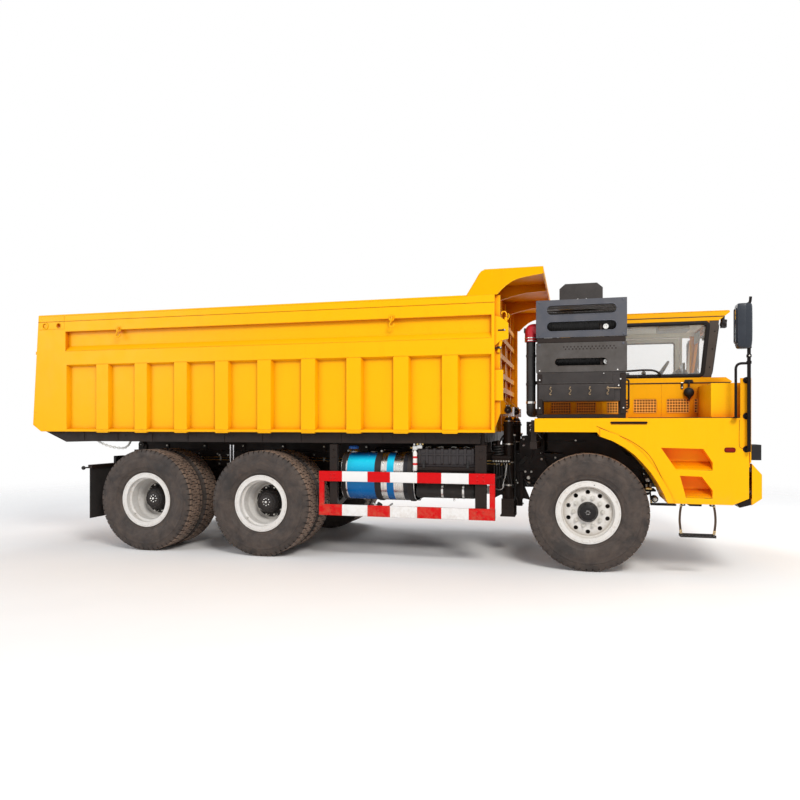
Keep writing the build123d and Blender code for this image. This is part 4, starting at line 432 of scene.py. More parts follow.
CAD_LOOKS = {
    YELLOW: "front_mask engine_hood hood_lid bed_sides "
            "tailgate",
    YELLOW_IN: "bed_floor",
    CAB_PAINT: "cab_shell cab_door",
    BUMPER_PAINT: "front_bumper",
    FENDER_PAINT: "fenders",
    HEAD_PAINT_SHADED: "headboard",
    BLACK: "chassis_frame front_beam outriggers hoist_brackets front_axle knuckle_right "
           "knuckle_left tie_rod rear_axles bogie_trunnion leaf_springs radiator hydraulic_tank "
           "bed_underframe hoist_barrels",
    BLACK_SOFT: "battery_box folding_step",
    IRON: "engine_block",
    TANK: "fuel_tank",
    RED_PAINT: "side_guards",
    FLAP: "mudflaps",
    WINDOW: "cab_glass door_glass",
    SEAT_CLOTH: "seat",
    DASH: "cab_interior",
    RACK_LOW: "filter_rack",
    RACK_SHEETS: "rack_guards",
    HOSE: "air_intake",
    MIRROR_CASE: "mirrors",
    PLASTIC: "lamps",
    CHROME: "hoist_stage_1 hoist_stage_2 hoist_stage_3 hoist_stage_4",
    RIM_FRONT: "rim_front_right rim_front_left",
    RIM_MID: "rim_mid_right rim_mid_left",
    RIM_REAR: "rim_rear_right rim_rear_left",
    RUBBER: "tyre_front_right tyre_front_left tyre_mid_right tyre_mid_left tyre_rear_right "
            "tyre_rear_left",
}
for look, names in CAD_LOOKS.items():
    for node_name in names.split():
        data = NODES[node_name].data
        data.materials.clear()
        data.materials.append(look)


# ------------------------------------------------------------------ shape helpers
def frame_along(direction):
    """Two unit vectors square to a direction."""
    d = Vector(direction).normalized()
    side = Vector((0, 0, 1)) if abs(d.z) < 0.9 else Vector((1, 0, 0))
    u = side.cross(d).normalized()
    return u, d.cross(u)


def inset(points, amount):
    """A plane outline moved inwards by amount (points run counter-clockwise)."""
    n, moved = len(points), []
    for i in range(n):
        a, b, c = (Vector(points[(i + k) % n]) for k in (-1, 0, 1))
        n1 = Vector((-(b - a).y, (b - a).x)).normalized()
        n2 = Vector((-(c - b).y, (c - b).x)).normalized()
        bis = n1 + n2
        moved.append(b + bis * (amount / max(0.35, bis.dot(n1))))
    return moved


def area_of(points):
    return sum(a[0] * b[1] - b[0] * a[1] for a, b in zip(points, points[1:] + points[:1])) / 2


def rounded(points, radius, steps=4):
    """A plane outline with its corners rounded."""
    out, n = [], len(points)
    for i in range(n):
        a, b, c = (Vector(points[(i + k) % n]) for k in (-1, 0, 1))
        cut = min(radius, (a - b).length * 0.48, (c - b).length * 0.48)
        s, e = b + (a - b).normalized() * cut, b + (c - b).normalized() * cut
        out += [s * (1 - t) ** 2 + b * 2 * t * (1 - t) + e * t * t
                for t in (k / steps for k in range(steps + 1))]
    return out


def smooth_path(points, steps=8):
    """A Catmull-Rom run through the points."""
    pts = [Vector(p) for p in points]
    pts = [pts[0] * 2 - pts[1]] + pts + [pts[-1] * 2 - pts[-2]]
    out = []
    for a, b, c, d in zip(pts, pts[1:], pts[2:], pts[3:]):
        for k in range(steps):
            t = k / steps
            out.append(0.5 * (2 * b + (c - a) * t + (2 * a - 5 * b + 4 * c - d) * t * t
                              + (3 * b - a - 3 * c + d) * t ** 3))
    return out + [pts[-2]]


def bent_path(points, radius, steps=6):
    """Straight runs joined by rounded bends."""
    pts = [Vector(p) for p in points]
    out = [pts[0]]
    for a, b, c in zip(pts, pts[1:], pts[2:]):
        cut = min(radius, (a - b).length * 0.49, (c - b).length * 0.49)
        s, e = b + (a - b).normalized() * cut, b + (c - b).normalized() * cut
        out += [s * (1 - t) ** 2 + b * 2 * t * (1 - t) + e * t * t
                for t in (k / steps for k in range(steps + 1))]
    return out + [pts[-1]]


class Shape:
    """Gathers faces in millimetres; make() turns them into one piece in metres on a CAD body."""

    def __init__(self):
        self.verts, self.faces, self.slots = [], [], []

    def add(self, verts, faces, mat=0):
        base = len(self.verts)
        self.verts += [Vector(v) for v in verts]
        self.faces += [[base + i for i in f] for f in faces]
        self.slots += [mat] * len(faces)

    def block(self, x0, x1, y0, y1, z0, z1, mat=0, cut=3.0, turn=None, about=None):
        """Box with chamfered edges, turned by a matrix about a point if wanted."""
        lo, hi = (x0, y0, z0), (x1, y1, z1)
        cut = min(cut, *((hi[k] - lo[k]) * 0.45 for k in range(3)))
        verts, index = [], {}
        for sx in (0, 1):
            for sy in (0, 1):
                for sz in (0, 1):
                    s = (sx, sy, sz)
                    for k in range(3):
                        v = [(hi if s[j] else lo)[j] + (0 if j == k else (-cut if s[j] else cut))
                             for j in range(3)]
                        index[s, k] = len(verts)
                        verts.append(Vector(v))
        faces = []
        for k in range(3):
            i, j = (k + 1) % 3, (k + 2) % 3
            for side in (0, 1):
                ring = []
                for a, b in ((0, 0), (1, 0), (1, 1), (0, 1)):
                    s = [0, 0, 0]
                    s[k], s[i], s[j] = side, a, b
                    ring.append(index[tuple(s), k])
                faces.append(ring if side else ring[::-1])
            for a in (0, 1):
                for b in (0, 1):
                    p, q = [0, 0, 0], [0, 0, 0]
                    p[i] = q[i] = a
                    p[j] = q[j] = b
                    q[k] = 1
                    p, q = tuple(p), tuple(q)
                    ring = [index[p, i], index[q, i], index[q, j], index[p, j]]
                    faces.append(ring if a == b else ring[::-1])
        for s in [(a, b, c) for a in (0, 1) for b in (0, 1) for c in (0, 1)]:
            ring = [index[s, 0], index[s, 1], index[s, 2]]
            faces.append(ring if sum(s) % 2 else ring[::-1])
        if turn is not None:
            pivot = Vector(about or ((x0 + x1) / 2, (y0 + y1) / 2, (z0 + z1) / 2))
            verts = [turn @ (v - pivot) + pivot for v in verts]
        self.add(verts, faces, mat)

    def plate(self, outline, axis, t0, t1, mat=0, cut=1.5):
        """Plane outline pushed along an axis: x takes (y, z), y takes (x, z), z takes (x, y)."""
        pts = [Vector(p) for p in outline]
        if area_of(pts) < 0:
            pts.reverse()
        t0, t1 = min(t0, t1), max(t0, t1)
        cut = min(cut, (t1 - t0) * 0.45)
        small = inset(pts, cut)
        rings = [(small, t0), (pts, t0 + cut), (pts, t1 - cut), (small, t1)]
        spot = {"x": lambda p, t: (t, p[0], p[1]), "y": lambda p, t: (p[0], t, p[1]),
                "z": lambda p, t: (p[0], p[1], t)}[axis]
        n = len(pts)
        verts = [spot(p, t) for ring, t in rings for p in ring]
        faces = [[r * n + i, r * n + (i + 1) % n, (r + 1) * n + (i + 1) % n, (r + 1) * n + i]
                 for r in range(3) for i in range(n)]
        faces += [list(range(n))[::-1], list(range(3 * n, 4 * n))]
        if axis == "y":
            faces = [f[::-1] for f in faces]
        self.add(verts, faces, mat)

    def lathe(self, profile, origin, axis, mat=0, n=32, closed=False):
        """(along, radius) points turned about an axis through origin; open ends are shut."""
        origin, d = Vector(origin), Vector(axis).normalized()
        profile = list(profile)
        starts_open, ends_open = profile[0][1] > 1e-6, profile[-1][1] > 1e-6
        if starts_open and ends_open:
            closed = closed or len(profile) > 2
        elif starts_open:
            profile.insert(0, (profile[0][0], 0))
        elif ends_open:
            profile.append((profile[-1][0], 0))
        u, v = frame_along(d)
        verts, rows = [], []
        for t, r in profile:
            if r < 1e-6:
                rows.append([len(verts)] * n)
                verts.append(origin + d * t)
            else:
                rows.append(list(range(len(verts), len(verts) + n)))
                verts += [origin + d * t
                          + (u * math.cos(TAU * k / n) + v * math.sin(TAU * k / n)) * r
                          for k in range(n)]
        pairs = list(zip(rows, rows[1:])) + ([(rows[-1], rows[0])] if closed else [])
        faces = []
        for a, b in pairs:
            for k in range(n):
                ring = [a[k], a[(k + 1) % n], b[(k + 1) % n], b[k]]
                ring = list(dict.fromkeys(ring))
                if len(ring) > 2:
                    faces.append(ring)
        self.add(verts, faces, mat)

    def rod(self, a, b, r, mat=0, n=20, cut=1.5, end=None):
        """Round bar with chamfered ends; end is its radius at b."""
        a, b = Vector(a), Vector(b)
        length, end = (b - a).length, r if end is None else end
        cut = min(cut, length * 0.4, r * 0.6, end * 0.6)
        self.lathe([(0, 0), (0, r - cut), (cut, r), (length - cut, end), (length, end - cut),
                    (length, 0)],
                   a, b - a, mat, n)

    def tube(self, points, r, mat=0, n=12, loop=False, flat=1.0):
        """Round or flattened bar along a line of points."""
        pts = [Vector(p) for p in points]
        count = len(pts)
        u, _ = frame_along(pts[1] - pts[0])
        verts = []
        for i, p in enumerate(pts):
            before = pts[i - 1] if i or loop else pts[i]
            after = pts[(i + 1) % count] if i < count - 1 or loop else pts[i]
            d = (after - before).normalized()
            u = (u - d * u.dot(d)).normalized()
            v = d.cross(u)
            verts += [p + (u * math.cos(TAU * k / n) * r * flat + v * math.sin(TAU * k / n) * r)
                      for k in range(n)]
        runs = count if loop else count - 1
        faces = [[i * n + k, i * n + (k + 1) % n, (i + 1) % count * n + (k + 1) % n,
                  (i + 1) % count * n + k]
                 for i in range(runs) for k in range(n)]
        if not loop:
            faces += [list(range(n))[::-1], list(range((count - 1) * n, count * n))]
        self.add(verts, faces, mat)

    def ribbon(self, points, width, thick, side, mat=0):
        """Flat strap along a line; side is the direction of its width."""
        pts, side = [Vector(p) for p in points], Vector(side).normalized()
        verts = []
        for i, p in enumerate(pts):
            d = (pts[min(i + 1, len(pts) - 1)] - pts[max(i - 1, 0)]).normalized()
            out = d.cross(side).normalized()
            verts += [p + side * sx * width / 2 + out * sz * thick / 2
                      for sx, sz in ((-1, -1), (1, -1), (1, 1), (-1, 1))]
        faces = [[i * 4 + k, i * 4 + (k + 1) % 4, i * 4 + 4 + (k + 1) % 4, i * 4 + 4 + k]
                 for i in range(len(pts) - 1) for k in range(4)]
        last = 4 * (len(pts) - 1)
        faces += [[3, 2, 1, 0], [last, last + 1, last + 2, last + 3]]
        self.add(verts, faces, mat)

    def bolt(self, at, way, size=12.0, mat=0, washer=True):
        """Hexagon head on a washer."""
        at, way = Vector(at), Vector(way).normalized()
        if washer:
            self.rod(at, at + way * size * 0.16, size * 1.15, mat, 14, 0.5)
        self.lathe([(0, size * 0.98), (size * 0.5, size * 0.98), (size * 0.62, size * 0.8),
                    (size * 0.62, 0)],
                   at + way * size * 0.1, way, mat, 6)

    def stud(self, at, way, size=14.0, mat=0, long=1.9):
        """Nut on a threaded end."""
        self.bolt(at, way, size, mat)
        at, way = Vector(at), Vector(way).normalized()
        self.rod(at, at + way * size * long, size * 0.52, mat, 12, 1)

    def ring(self, centre, axis, radius, r, mat=0, n=40, m=10):
        self.lathe([(r * math.sin(TAU * k / m),
                     radius + r * math.cos(TAU * k / m)) for k in range(m)],
                   centre, axis, mat, n, closed=True)

    def mirrored(self):
        """A copy across the middle of the truck."""
        other = Shape()
        other.verts = [Vector((v.x, -v.y, v.z)) for v in self.verts]
        other.faces = [f[::-1] for f in self.faces]
        other.slots = list(self.slots)
        return other

    def join(self, other):
        base = len(self.verts)
        self.verts += other.verts
        self.faces += [[base + i for i in f] for f in other.faces]
        self.slots += other.slots
        return self

    def mesh(self, name, mats, smooth=32):
        data = bpy.data.meshes.new(name)
        data.from_pydata([tuple(v / 1000) for v in self.verts], [], self.faces)
        for mat in mats if isinstance(mats, (list, tuple)) else [mats]:
            data.materials.append(mat)
        data.polygons.foreach_set("material_index", self.slots)
        data.validate()
        data.shade_smooth()
        data.set_sharp_from_angle(angle=math.radians(smooth))
        data.update()
        return data

    def make(self, name, mats, body="chassis", slot=None, stands_for=(), smooth=32):
        return place(self.mesh(name, mats, smooth), name, body, stands_for)


def place(data, name, body, stands_for=(), at=(0, 0, 0), turn=None):
    """An object of a mesh on a CAD body."""
    piece = bpy.data.objects.new(name, data)
    SCENE.collection.objects.link(piece)
    piece.location = Vector(at) / 1000
    if turn:
        piece.rotation_euler = turn
    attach(piece, body)
    if stands_for:
        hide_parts(*stands_for)
    return piece


# ------------------------------------------------------------------ camera, light and floor
YAW = math.radians(14.5)
CAMERA_AT = (2.767, -9.720, 1.705)
SENSOR_MM, FOCAL_PX, IMAGE_PX = 36, 681, 800
HORIZON_SHIFT = 0.031
camera = bpy.data.objects.new("camera", bpy.data.cameras.new("camera"))
SCENE.collection.objects.link(camera)
SCENE.camera = camera
camera.location = CAMERA_AT
camera.rotation_euler = (math.pi / 2, 0, YAW)
camera.data.lens = SENSOR_MM * FOCAL_PX / IMAGE_PX
camera.data.shift_y = HORIZON_SHIFT
camera.data.clip_end = 200

SCENE.view_settings.view_transform = "Standard"
world = bpy.data.worlds.new("studio")
SCENE.world = world
world.use_nodes = True
tree = world.node_tree
sky = tree.nodes["Background"]
sky.inputs["Color"].default_value = (0.93, 0.95, 1.0, 1)
sky.inputs["Strength"].default_value = 0.5
white = tree.nodes.new("ShaderNodeBackground")
rays = tree.nodes.new("ShaderNodeLightPath")
either = tree.nodes.new("ShaderNodeMath")
either.operation = "MAXIMUM"
shiny = tree.nodes.new("ShaderNodeMath")
shiny.operation = "MAXIMUM"
both = tree.nodes.new("ShaderNodeMixShader")
tree.links.new(rays.outputs["Is Camera Ray"], either.inputs[0])
tree.links.new(rays.outputs["Is Transmission Ray"], either.inputs[1])
tree.links.new(either.outputs[0], shiny.inputs[0])
tree.links.new(rays.outputs["Is Glossy Ray"], shiny.inputs[1])
tree.links.new(shiny.outputs[0], both.inputs[0])
tree.links.new(sky.outputs[0], both.inputs[1])
tree.links.new(white.outputs[0], both.inputs[2])
tree.links.new(both.outputs[0], tree.nodes["World Output"].inputs["Surface"])
white.inputs["Color"].default_value = (1, 1, 1, 1)


def lamp(name, at, aim, size, power, colour=(1, 1, 1)):
    data = bpy.data.lights.new(name, "AREA")
    data.shape, data.size, data.energy, data.color = "DISK", size, power, colour
    made = bpy.data.objects.new(name, data)
    SCENE.collection.objects.link(made)
    made.location = at
    made.rotation_euler = (Vector(aim) - Vector(at)).to_track_quat("-Z", "Y").to_euler()


lamp("key", (7.0, -12.0, 10.5), (-0.5, 0, 1.2), 5.0, 1580, (1.0, 0.97, 0.92))
lamp("fill", (-10.5, -10.0, 5.5), (-1.0, 0, 1.2), 7.0, 500, (0.95, 0.97, 1.0))
lamp("back", (-3.0, 11.0, 9.0), (0, 0, 1.0), 7.0, 850)
lamp("front", (13.0, 3.0, 6.0), (2.0, 0, 1.5), 5.0, 420)


def pale_floor():
    """Round floor that fades out to the white background."""
    data = bpy.data.meshes.new("floor")
    ring = [(40 * math.cos(TAU * k / 96), 40 * math.sin(TAU * k / 96), -0.002) for k in range(96)]
    data.from_pydata(ring, [], [list(range(96))])
    p = Paint("floor", rough=0.9, spec=0.1)
    away = p.node("ShaderNodeVectorMath", operation="LENGTH")
    p.link(p.coords, away.inputs[0])
    fade = p.node("ShaderNodeMapRange", interpolation_type="SMOOTHSTEP")
    p.link(away.outputs["Value"], fade.inputs["Value"])
    fade.inputs["From Min"].default_value = 5.5
    fade.inputs["From Max"].default_value = 15.0
    p.finish(p.mix(p.noise(1.5, 3), (0.90, 0.90, 0.90), (0.93, 0.93, 0.93)), None, p.noise(60, 3),
             0.0002)
    clear = p.node("ShaderNodeBsdfTransparent")
    both = p.node("ShaderNodeMixShader")
    p.link(fade.outputs[0], both.inputs[0])
    p.link(p.bsdf.outputs[0], both.inputs[1])
    p.link(clear.outputs[0], both.inputs[2])
    p.link(both.outputs[0], p.tree.nodes["Material Output"].inputs["Surface"])
    data.materials.append(p.mat)
    floor = bpy.data.objects.new("floor", data)
    SCENE.collection.objects.link(floor)


pale_floor()


# ------------------------------------------------------------------ tyres
TREAD_R, GROOVE_R = 684.6, 664.0


def tyre_shape():
    """One tyre about its own centre, with its axle along Y: carcass rings and a block tread."""
    s = Shape()
    side = [(111, 322), (127, 322), (129, 364), (140, 380), (150, 388), (156, 397), (155, 404),
            (163, 422),
            (172, 442), (175.5, 446), (176.5, 452), (180, 470), (185, 500), (187.2, 530),
            (186, 556), (183.4, 580),
            (184.4, 583), (184, 590), (182, 593), (179, 612), (175, 634), (168, 650), (152, 662),
            (60, 667)]
    inner = [(0, 645), (120, 632), (150, 590), (156, 520), (146, 450), (122, 400), (111, 380)]
    loop = side + [(0, GROOVE_R + 3)] + [(-y, r) for y, r in side[::-1]]
    loop += [(-y, r) for y, r in inner[:0:-1]] + inner
    s.lathe(loop, (0, 0, 0), (0, 1, 0), 0, 120, closed=True)
    count = 58
    pitch = TAU / count
    half = 0.43 * pitch

    def wrap(y, r, turn):
        return (r * math.sin(turn), y, r * math.cos(turn))

    # three rows of six-sided blocks, each row half a pitch on from the last
    for row, (mid, wide) in enumerate(((-62, 50), (0, 54), (62, 50))):
        for k in range(count):
            turn = (k + 0.5 * (row % 2)) * pitch
            outline = [(-wide / 2, -half), (wide / 2, -half), (wide / 2 + 4, 0), (wide / 2, half),
                       (-wide / 2, half), (-wide / 2 - 4, 0)]
            rings = [(GROOVE_R, 1.0), (TREAD_R - 3, 1.0), (TREAD_R, 0.93)]
            verts = [wrap(mid + y * f, r, turn + a * f) for r, f in rings for y, a in outline]
            sides = [[q * 6 + i, q * 6 + (i + 1) % 6, q * 6 + 6 + (i + 1) % 6, q * 6 + 6 + i]
                     for q in (0, 1) for i in range(6)]
            s.add(verts, sides[:6], 0)
            s.add(verts, sides[6:], 1)
            s.add(verts, [[12, 13, 14, 15, 16, 17]], 1)
            s.add(verts, [[5, 4, 3, 2, 1, 0]], 0)
            # cross bar in the block's face
            bar = [(-wide * 0.36, -0.03 * half), (0, -0.10 * half), (wide * 0.36, -0.03 * half),
                   (wide * 0.36, 0.07 * half), (0, 0.0), (-wide * 0.36, 0.07 * half)]
            s.add([wrap(mid + y, r, turn + a) for r in (TREAD_R + 0.15, TREAD_R - 4) for y,
                   a in bar],
                  [[0, 1, 2, 3, 4, 5],
                   [11, 10, 9, 8, 7, 6]] + [[i, i + 6, (i + 1) % 6 + 6,
                                             (i + 1) % 6] for i in range(6)], 0)
    # shoulder lugs that run down on to the sidewall
    lug = [(99, GROOVE_R), (99, TREAD_R - 2), (102, TREAD_R), (143, TREAD_R), (156, 680),
           (164, 668),
           (174, 644), (181, 612), (179, 608), (168, 648), (150, 660)]
    n = len(lug)
    for way in (-1, 1):
        for k in range(count):
            turn = (k + (0.25 if way > 0 else 0.75)) * pitch
            spread = [-half * 0.94, -half * 0.86, half * 0.86, half * 0.94]
            verts = []
            for q, a in enumerate(spread):
                for y, r in lug:
                    drop = 1.2 if q in (0, 3) and r > GROOVE_R + 4 else 0
                    taper = 0.72 if r < 630 else 1.0
                    verts.append(wrap(way * y, r - drop, turn + a * taper))
            faces, tops = [], []
            for q in range(3):
                for i in range(n):
                    ring = [q * n + i, q * n + (i + 1) % n, (q + 1) * n + (i + 1) % n,
                            (q + 1) * n + i]
                    (tops if i in (2, 3) else faces).append(ring if way < 0 else ring[::-1])
            faces += [list(range(n)), list(range(3 * n, 4 * n))[::-1]] if way > 0 else [
                list(range(n))[::-1], list(range(3 * n, 4 * n))]
            s.add(verts, faces, 0)
            s.add(verts, tops, 1)
    # fine radial ribs round the rim guard, and a mould line
    for way in (-1, 1):
        for k in range(180):
            turn = TAU * k / 180
            s.add([wrap(way * y, r, turn + a) for y, r, a in
                   ((184.2, 596, -0.004), (184.2, 596, 0.004), (180.6, 607, 0.004),
                    (180.6, 607, -0.004),
                    (182.0, 594, -0.006), (182.0, 594, 0.006), (178.6, 609, 0.006),
                    (178.6, 609, -0.006))],
                  [[0, 1, 2, 3], [0, 4, 5, 1], [1, 5, 6, 2], [2, 6, 7, 3], [3, 7, 4, 0],
                   [4, 7, 6, 5]], 0)
    return s


tyre_mesh = tyre_shape().mesh("tyre", [RUBBER, TREAD], 28)
WHEELS = {}
for side_name, sign in SIDES:
    WHEELS["front_" + side_name] = (FRONT_X, [sign * FRONT_TYRE_Y], sign)
    for row, ax in (("mid", MID_X), ("rear", REAR_X)):
        WHEELS[f"{row}_{side_name}"] = (ax, [sign * OUTER_Y, sign * INNER_Y], sign)
for number, (wheel, (ax, ys, sign)) in enumerate(WHEELS.items()):
    for k, cy in enumerate(ys):
        place(tyre_mesh, f"tread_tyre_{wheel}_{k}", "wheel_" + wheel,
              ["tyre_" + wheel] if k == 0 else (), (ax, cy, AXLE_Z),
              (0, (number + k) % 4 * math.pi / 2, 0))


# ------------------------------------------------------------------ wheel details
def front_hub(sign):
    """Black hub cap with ten ribs, nuts on studs, valve and lock ring, about the wheel centre."""
    s = Shape()
    out = Vector((0, sign, 0))

    def at(along, r, turn):
        return Vector((r * math.cos(turn), sign * along, r * math.sin(turn)))

    s.lathe([(60, 119), (119, 106), (124, 100), (124, 40), (150, 38), (158.3, 30), (160, 0)],
            (0, 0, 0), out, 0, 48)
    for k in range(10):
        turn = TAU * k / 10
        a, b = at(122, 42, turn), at(110, 108, turn)
        s.tube([a, (a + b) / 2 + out * 6, b], 6.5, 0, 8)
        s.bolt(at(123, 88, turn + TAU / 20), out, 9, 0)
    for k in range(6):
        s.bolt(at(158.5, 21, TAU * k / 6), out, 4.5, 3, washer=False)
    for k in range(10):
        turn = TAU * k / 10
        s.rod(at(82, 167.5, turn), at(87, 167.5, turn), 25, 1, 20, 1)
        s.rod(at(100, 167.5, turn), at(121, 167.5, turn), 11, 1, 12, 1.5)
        s.ring(at(62, 232, turn + TAU / 20), out, 28, 2.4, 2, 22, 6)
    # lock ring, bead seat ring and disc weld
    for along, r, thick in ((141, 352, 5), (139, 330, 4), (60, 292, 4), (66, 206, 3)):
        s.ring((0, sign * along, 0), out, r, thick, 2, 80, 8)
    # valve stem bent out of the rim
    s.tube(bent_path([at(92, 300, 1.35), at(118, 296, 1.35), at(136, 322, 1.35)], 14), 4.5, 3, 8)
    s.rod(at(134, 318, 1.35), at(143, 332, 1.35), 6.5, 0, 10)
    # balance weights on the rim flange
    for turn in (0.35, 3.6):
        s.tube([at(141, 345, turn + a) for a in (-0.06, -0.03, 0, 0.03, 0.06)], 7, 1, 6, flat=0.6)
    return s


def rear_hub(sign):
    """Reduction hub, studs and rim rings of a twin wheel, about the outer tyre's centre."""
    s = Shape()
    out = Vector((0, sign, 0))
    shift = OUTER_Y

    def at(y, r, turn):
        return Vector((r * math.cos(turn), sign * (y - shift), r * math.sin(turn)))

    def turned(profile, mat, n=56):
        s.lathe([(y - shift, r) for y, r in profile], (0, 0, 0), out, mat, n)

    turned([(1273, 205), (1285, 160), (1330, 152), (1398, 146), (1424, 126), (1431, 98), (1440, 92),
            (1446, 60), (1449, 0)], 0)
    for k in range(12):
        turn = TAU * k / 12
        s.tube([at(1300, 156, turn), at(1360, 152, turn), at(1396, 145, turn)], 8, 0, 8)
        s.bolt(at(1432, 110, turn + 0.26), out, 9, 0)
    for k in range(8):
        s.bolt(at(1447, 46, TAU * k / 8), out, 7, 3)
    s.rod(at(1446, 0, 0), at(1462, 0, 0), 17, 3, 6, 2)
    for k in range(10):
        turn = TAU * k / 10
        s.rod(at(1273, 187.5, turn), at(1279, 187.5, turn), 26, 1, 20, 1)
        s.rod(at(1299, 187.5, turn), at(1330, 187.5, turn), 11, 1, 12, 1.5)
    for y, r, thick in ((OUTER_Y + 141, 352, 5), (OUTER_Y + 139, 330, 4), (OUTER_Y + 60, 291, 4),
                        (1390, 300, 5), (1289, 250, 4)):
        s.ring((0, sign * (y - shift), 0), out, r, thick, 2, 80, 8)
    # long valve of the inner wheel and short valve of the outer one
    s.tube(bent_path([at(1300, 262, 0.5), at(1420, 262, 0.5), at(1560, 300, 0.5)], 40), 4.5, 3, 8)
    s.rod(at(1552, 297, 0.5), at(1572, 304, 0.5), 6.5, 0, 10)
    s.tube(bent_path([at(1500, 290, 3.9), at(1560, 290, 3.9), at(1590, 312, 3.9)], 20), 4.5, 3, 8)
    for turn in (1.1, 4.4):
        s.tube([at(OUTER_Y + 141, 345, turn + a) for a in (-0.06, -0.03, 0, 0.03, 0.06)], 7, 1, 6,
               flat=0.6)
    return s


HUB_LOOKS = [BLACK_SOFT, ZINC, WHITE_PAINT, STEEL]
hub_meshes = {(kind, sign): make(sign).mesh(f"{kind}_hub_{sign + 1}", HUB_LOOKS)
              for kind, make in (("front", front_hub), ("rear", rear_hub)) for sign in (-1, 1)}
for number, (wheel, (ax, ys, sign)) in enumerate(WHEELS.items()):
    kind = "front" if wheel.startswith("front") else "rear"
    place(hub_meshes[kind, sign], f"hub_{wheel}", "wheel_" + wheel, (),
          (ax, ys[0], AXLE_Z))
# ------------------------------------------------------------------ side guards
GUARD_FACE = (1560, 1600)
GUARD_ENDS = (-396, 1833)
STRIPES = (-396, -87, 247, 539, 882, 1184, 1518, 1833)
UPRIGHT_W = 66


def side_guard():
    """Striped frame: two box rails between red uprights, with welds at the corners."""
    s = Shape()
    y0, y1 = GUARD_FACE
    for z0, z1 in ((990, 1120), (560, 700)):
        for k, (x0, x1) in enumerate(zip(STRIPES, STRIPES[1:])):
            s.plate(rounded([(y0, z0), (y1, z0), (y1, z1), (y0, z1)], 9, 4), "x", x0, x1, k % 2,
                    0.05)
    for x0 in (GUARD_ENDS[0], GUARD_ENDS[1] - UPRIGHT_W):
        s.plate(rounded([(x0, y0), (x0 + UPRIGHT_W, y0), (x0 + UPRIGHT_W, y1), (x0, y1)], 9, 4),
                "z", 699, 991, 0, 0.05)
        for z in (700, 990):
            s.tube([(x0 + 4, y1 - 1, z), (x0 + UPRIGHT_W - 4, y1 - 1, z)], 3, 0, 8)
    for x in (GUARD_ENDS[0] + 1, GUARD_ENDS[1] - 1):
        for z0, z1 in ((990, 1120), (560, 700)):
            way = -1 if x < 0 else 1
            s.plate(rounded([(y0 + 3, z0 + 3), (y1 - 3, z0 + 3), (y1 - 3, z1 - 3),
                             (y0 + 3, z1 - 3)], 8, 3),
                    "x", x, x + way * 3, 2, 1)
    # carriage bolts through the hanging plates
    for x in (-240, -190, 1620, 1695):
        for z in (1030, 1082, 600, 660):
            s.lathe([(0, 13), (3, 12), (6, 8), (7.5, 0)], (x, y1, z), (0, 1, 0), 0, 14)
    return s


guard = side_guard()
GUARD_LOOKS = [RED_PAINT, WHITE_PAINT, PLASTIC, ZINC]
guard.make("striped_guard_left", GUARD_LOOKS, slot="guard_red")
guard.mirrored().make("striped_guard_right", GUARD_LOOKS, slot="guard_red",
                      stands_for=["side_guards"])


def guard_hangers():
    """Bolts, folded lips and gussets of the plates that carry a guard."""
    s = Shape()
    for x0, x1 in ((-265, -165), (1590, 1725)):
        s.block(x0, x0 + 8, 1500, 1546, 575, 1455)
        s.block(x1 - 8, x1, 1500, 1546, 575, 1455)
        s.plate([(x0, 1455), (x1, 1455), (x1 - 12, 1500), (x0 + 12, 1500)], "y", 1440, 1452)
        s.block(x0 + 6, x1 - 6, 1380, 1552, 1446, 1456)
        for z in (1300, 1390):
            s.stud(((x0 + x1) / 2, 1560, z), (0, 1, 0), 12, 0)
        mid = (x0 + x1) / 2
        s.plate([(1330, 985), (1546, 985), (1546, 870)], "x", mid - 5, mid + 5)
    return s


hangers = guard_hangers()
hangers.make("guard_hangers_left", [BLACK, ZINC], slot="black_steel")
hangers.mirrored().make("guard_hangers_right", [BLACK, ZINC], slot="black_steel")

# ------------------------------------------------------------------ fuel tank
TANK_LO = span("fuel_tank")[0]
TANK_TOP_Z = 1348


def tank_line(grow, steps=10):
    """Section of the fuel tank in (y, z), moved outwards by grow."""
    pts = []
    y0, y1 = TANK_LO.y - grow, -800 + grow
    z0, z1 = TANK_LO.z - grow, TANK_TOP_Z + grow
    for cy, cz, r, start in ((y1 - 70 - grow, z0 + 70 + grow, 70 + grow, -90),
                             (y1 - 70 - grow, z1 - 70 - grow, 70 + grow, 0),
                             (y0 + 220 + grow, z1 - 220 - grow, 220 + grow, 90),
                             (y0 + 220 + grow, z0 + 220 + grow, 220 + grow, 180)):
        pts += [(cy + r * math.cos(math.radians(start + 90 * k / steps)),
                 cz + r * math.sin(math.radians(start + 90 * k / steps))) for k in range(steps + 1)]
    return pts


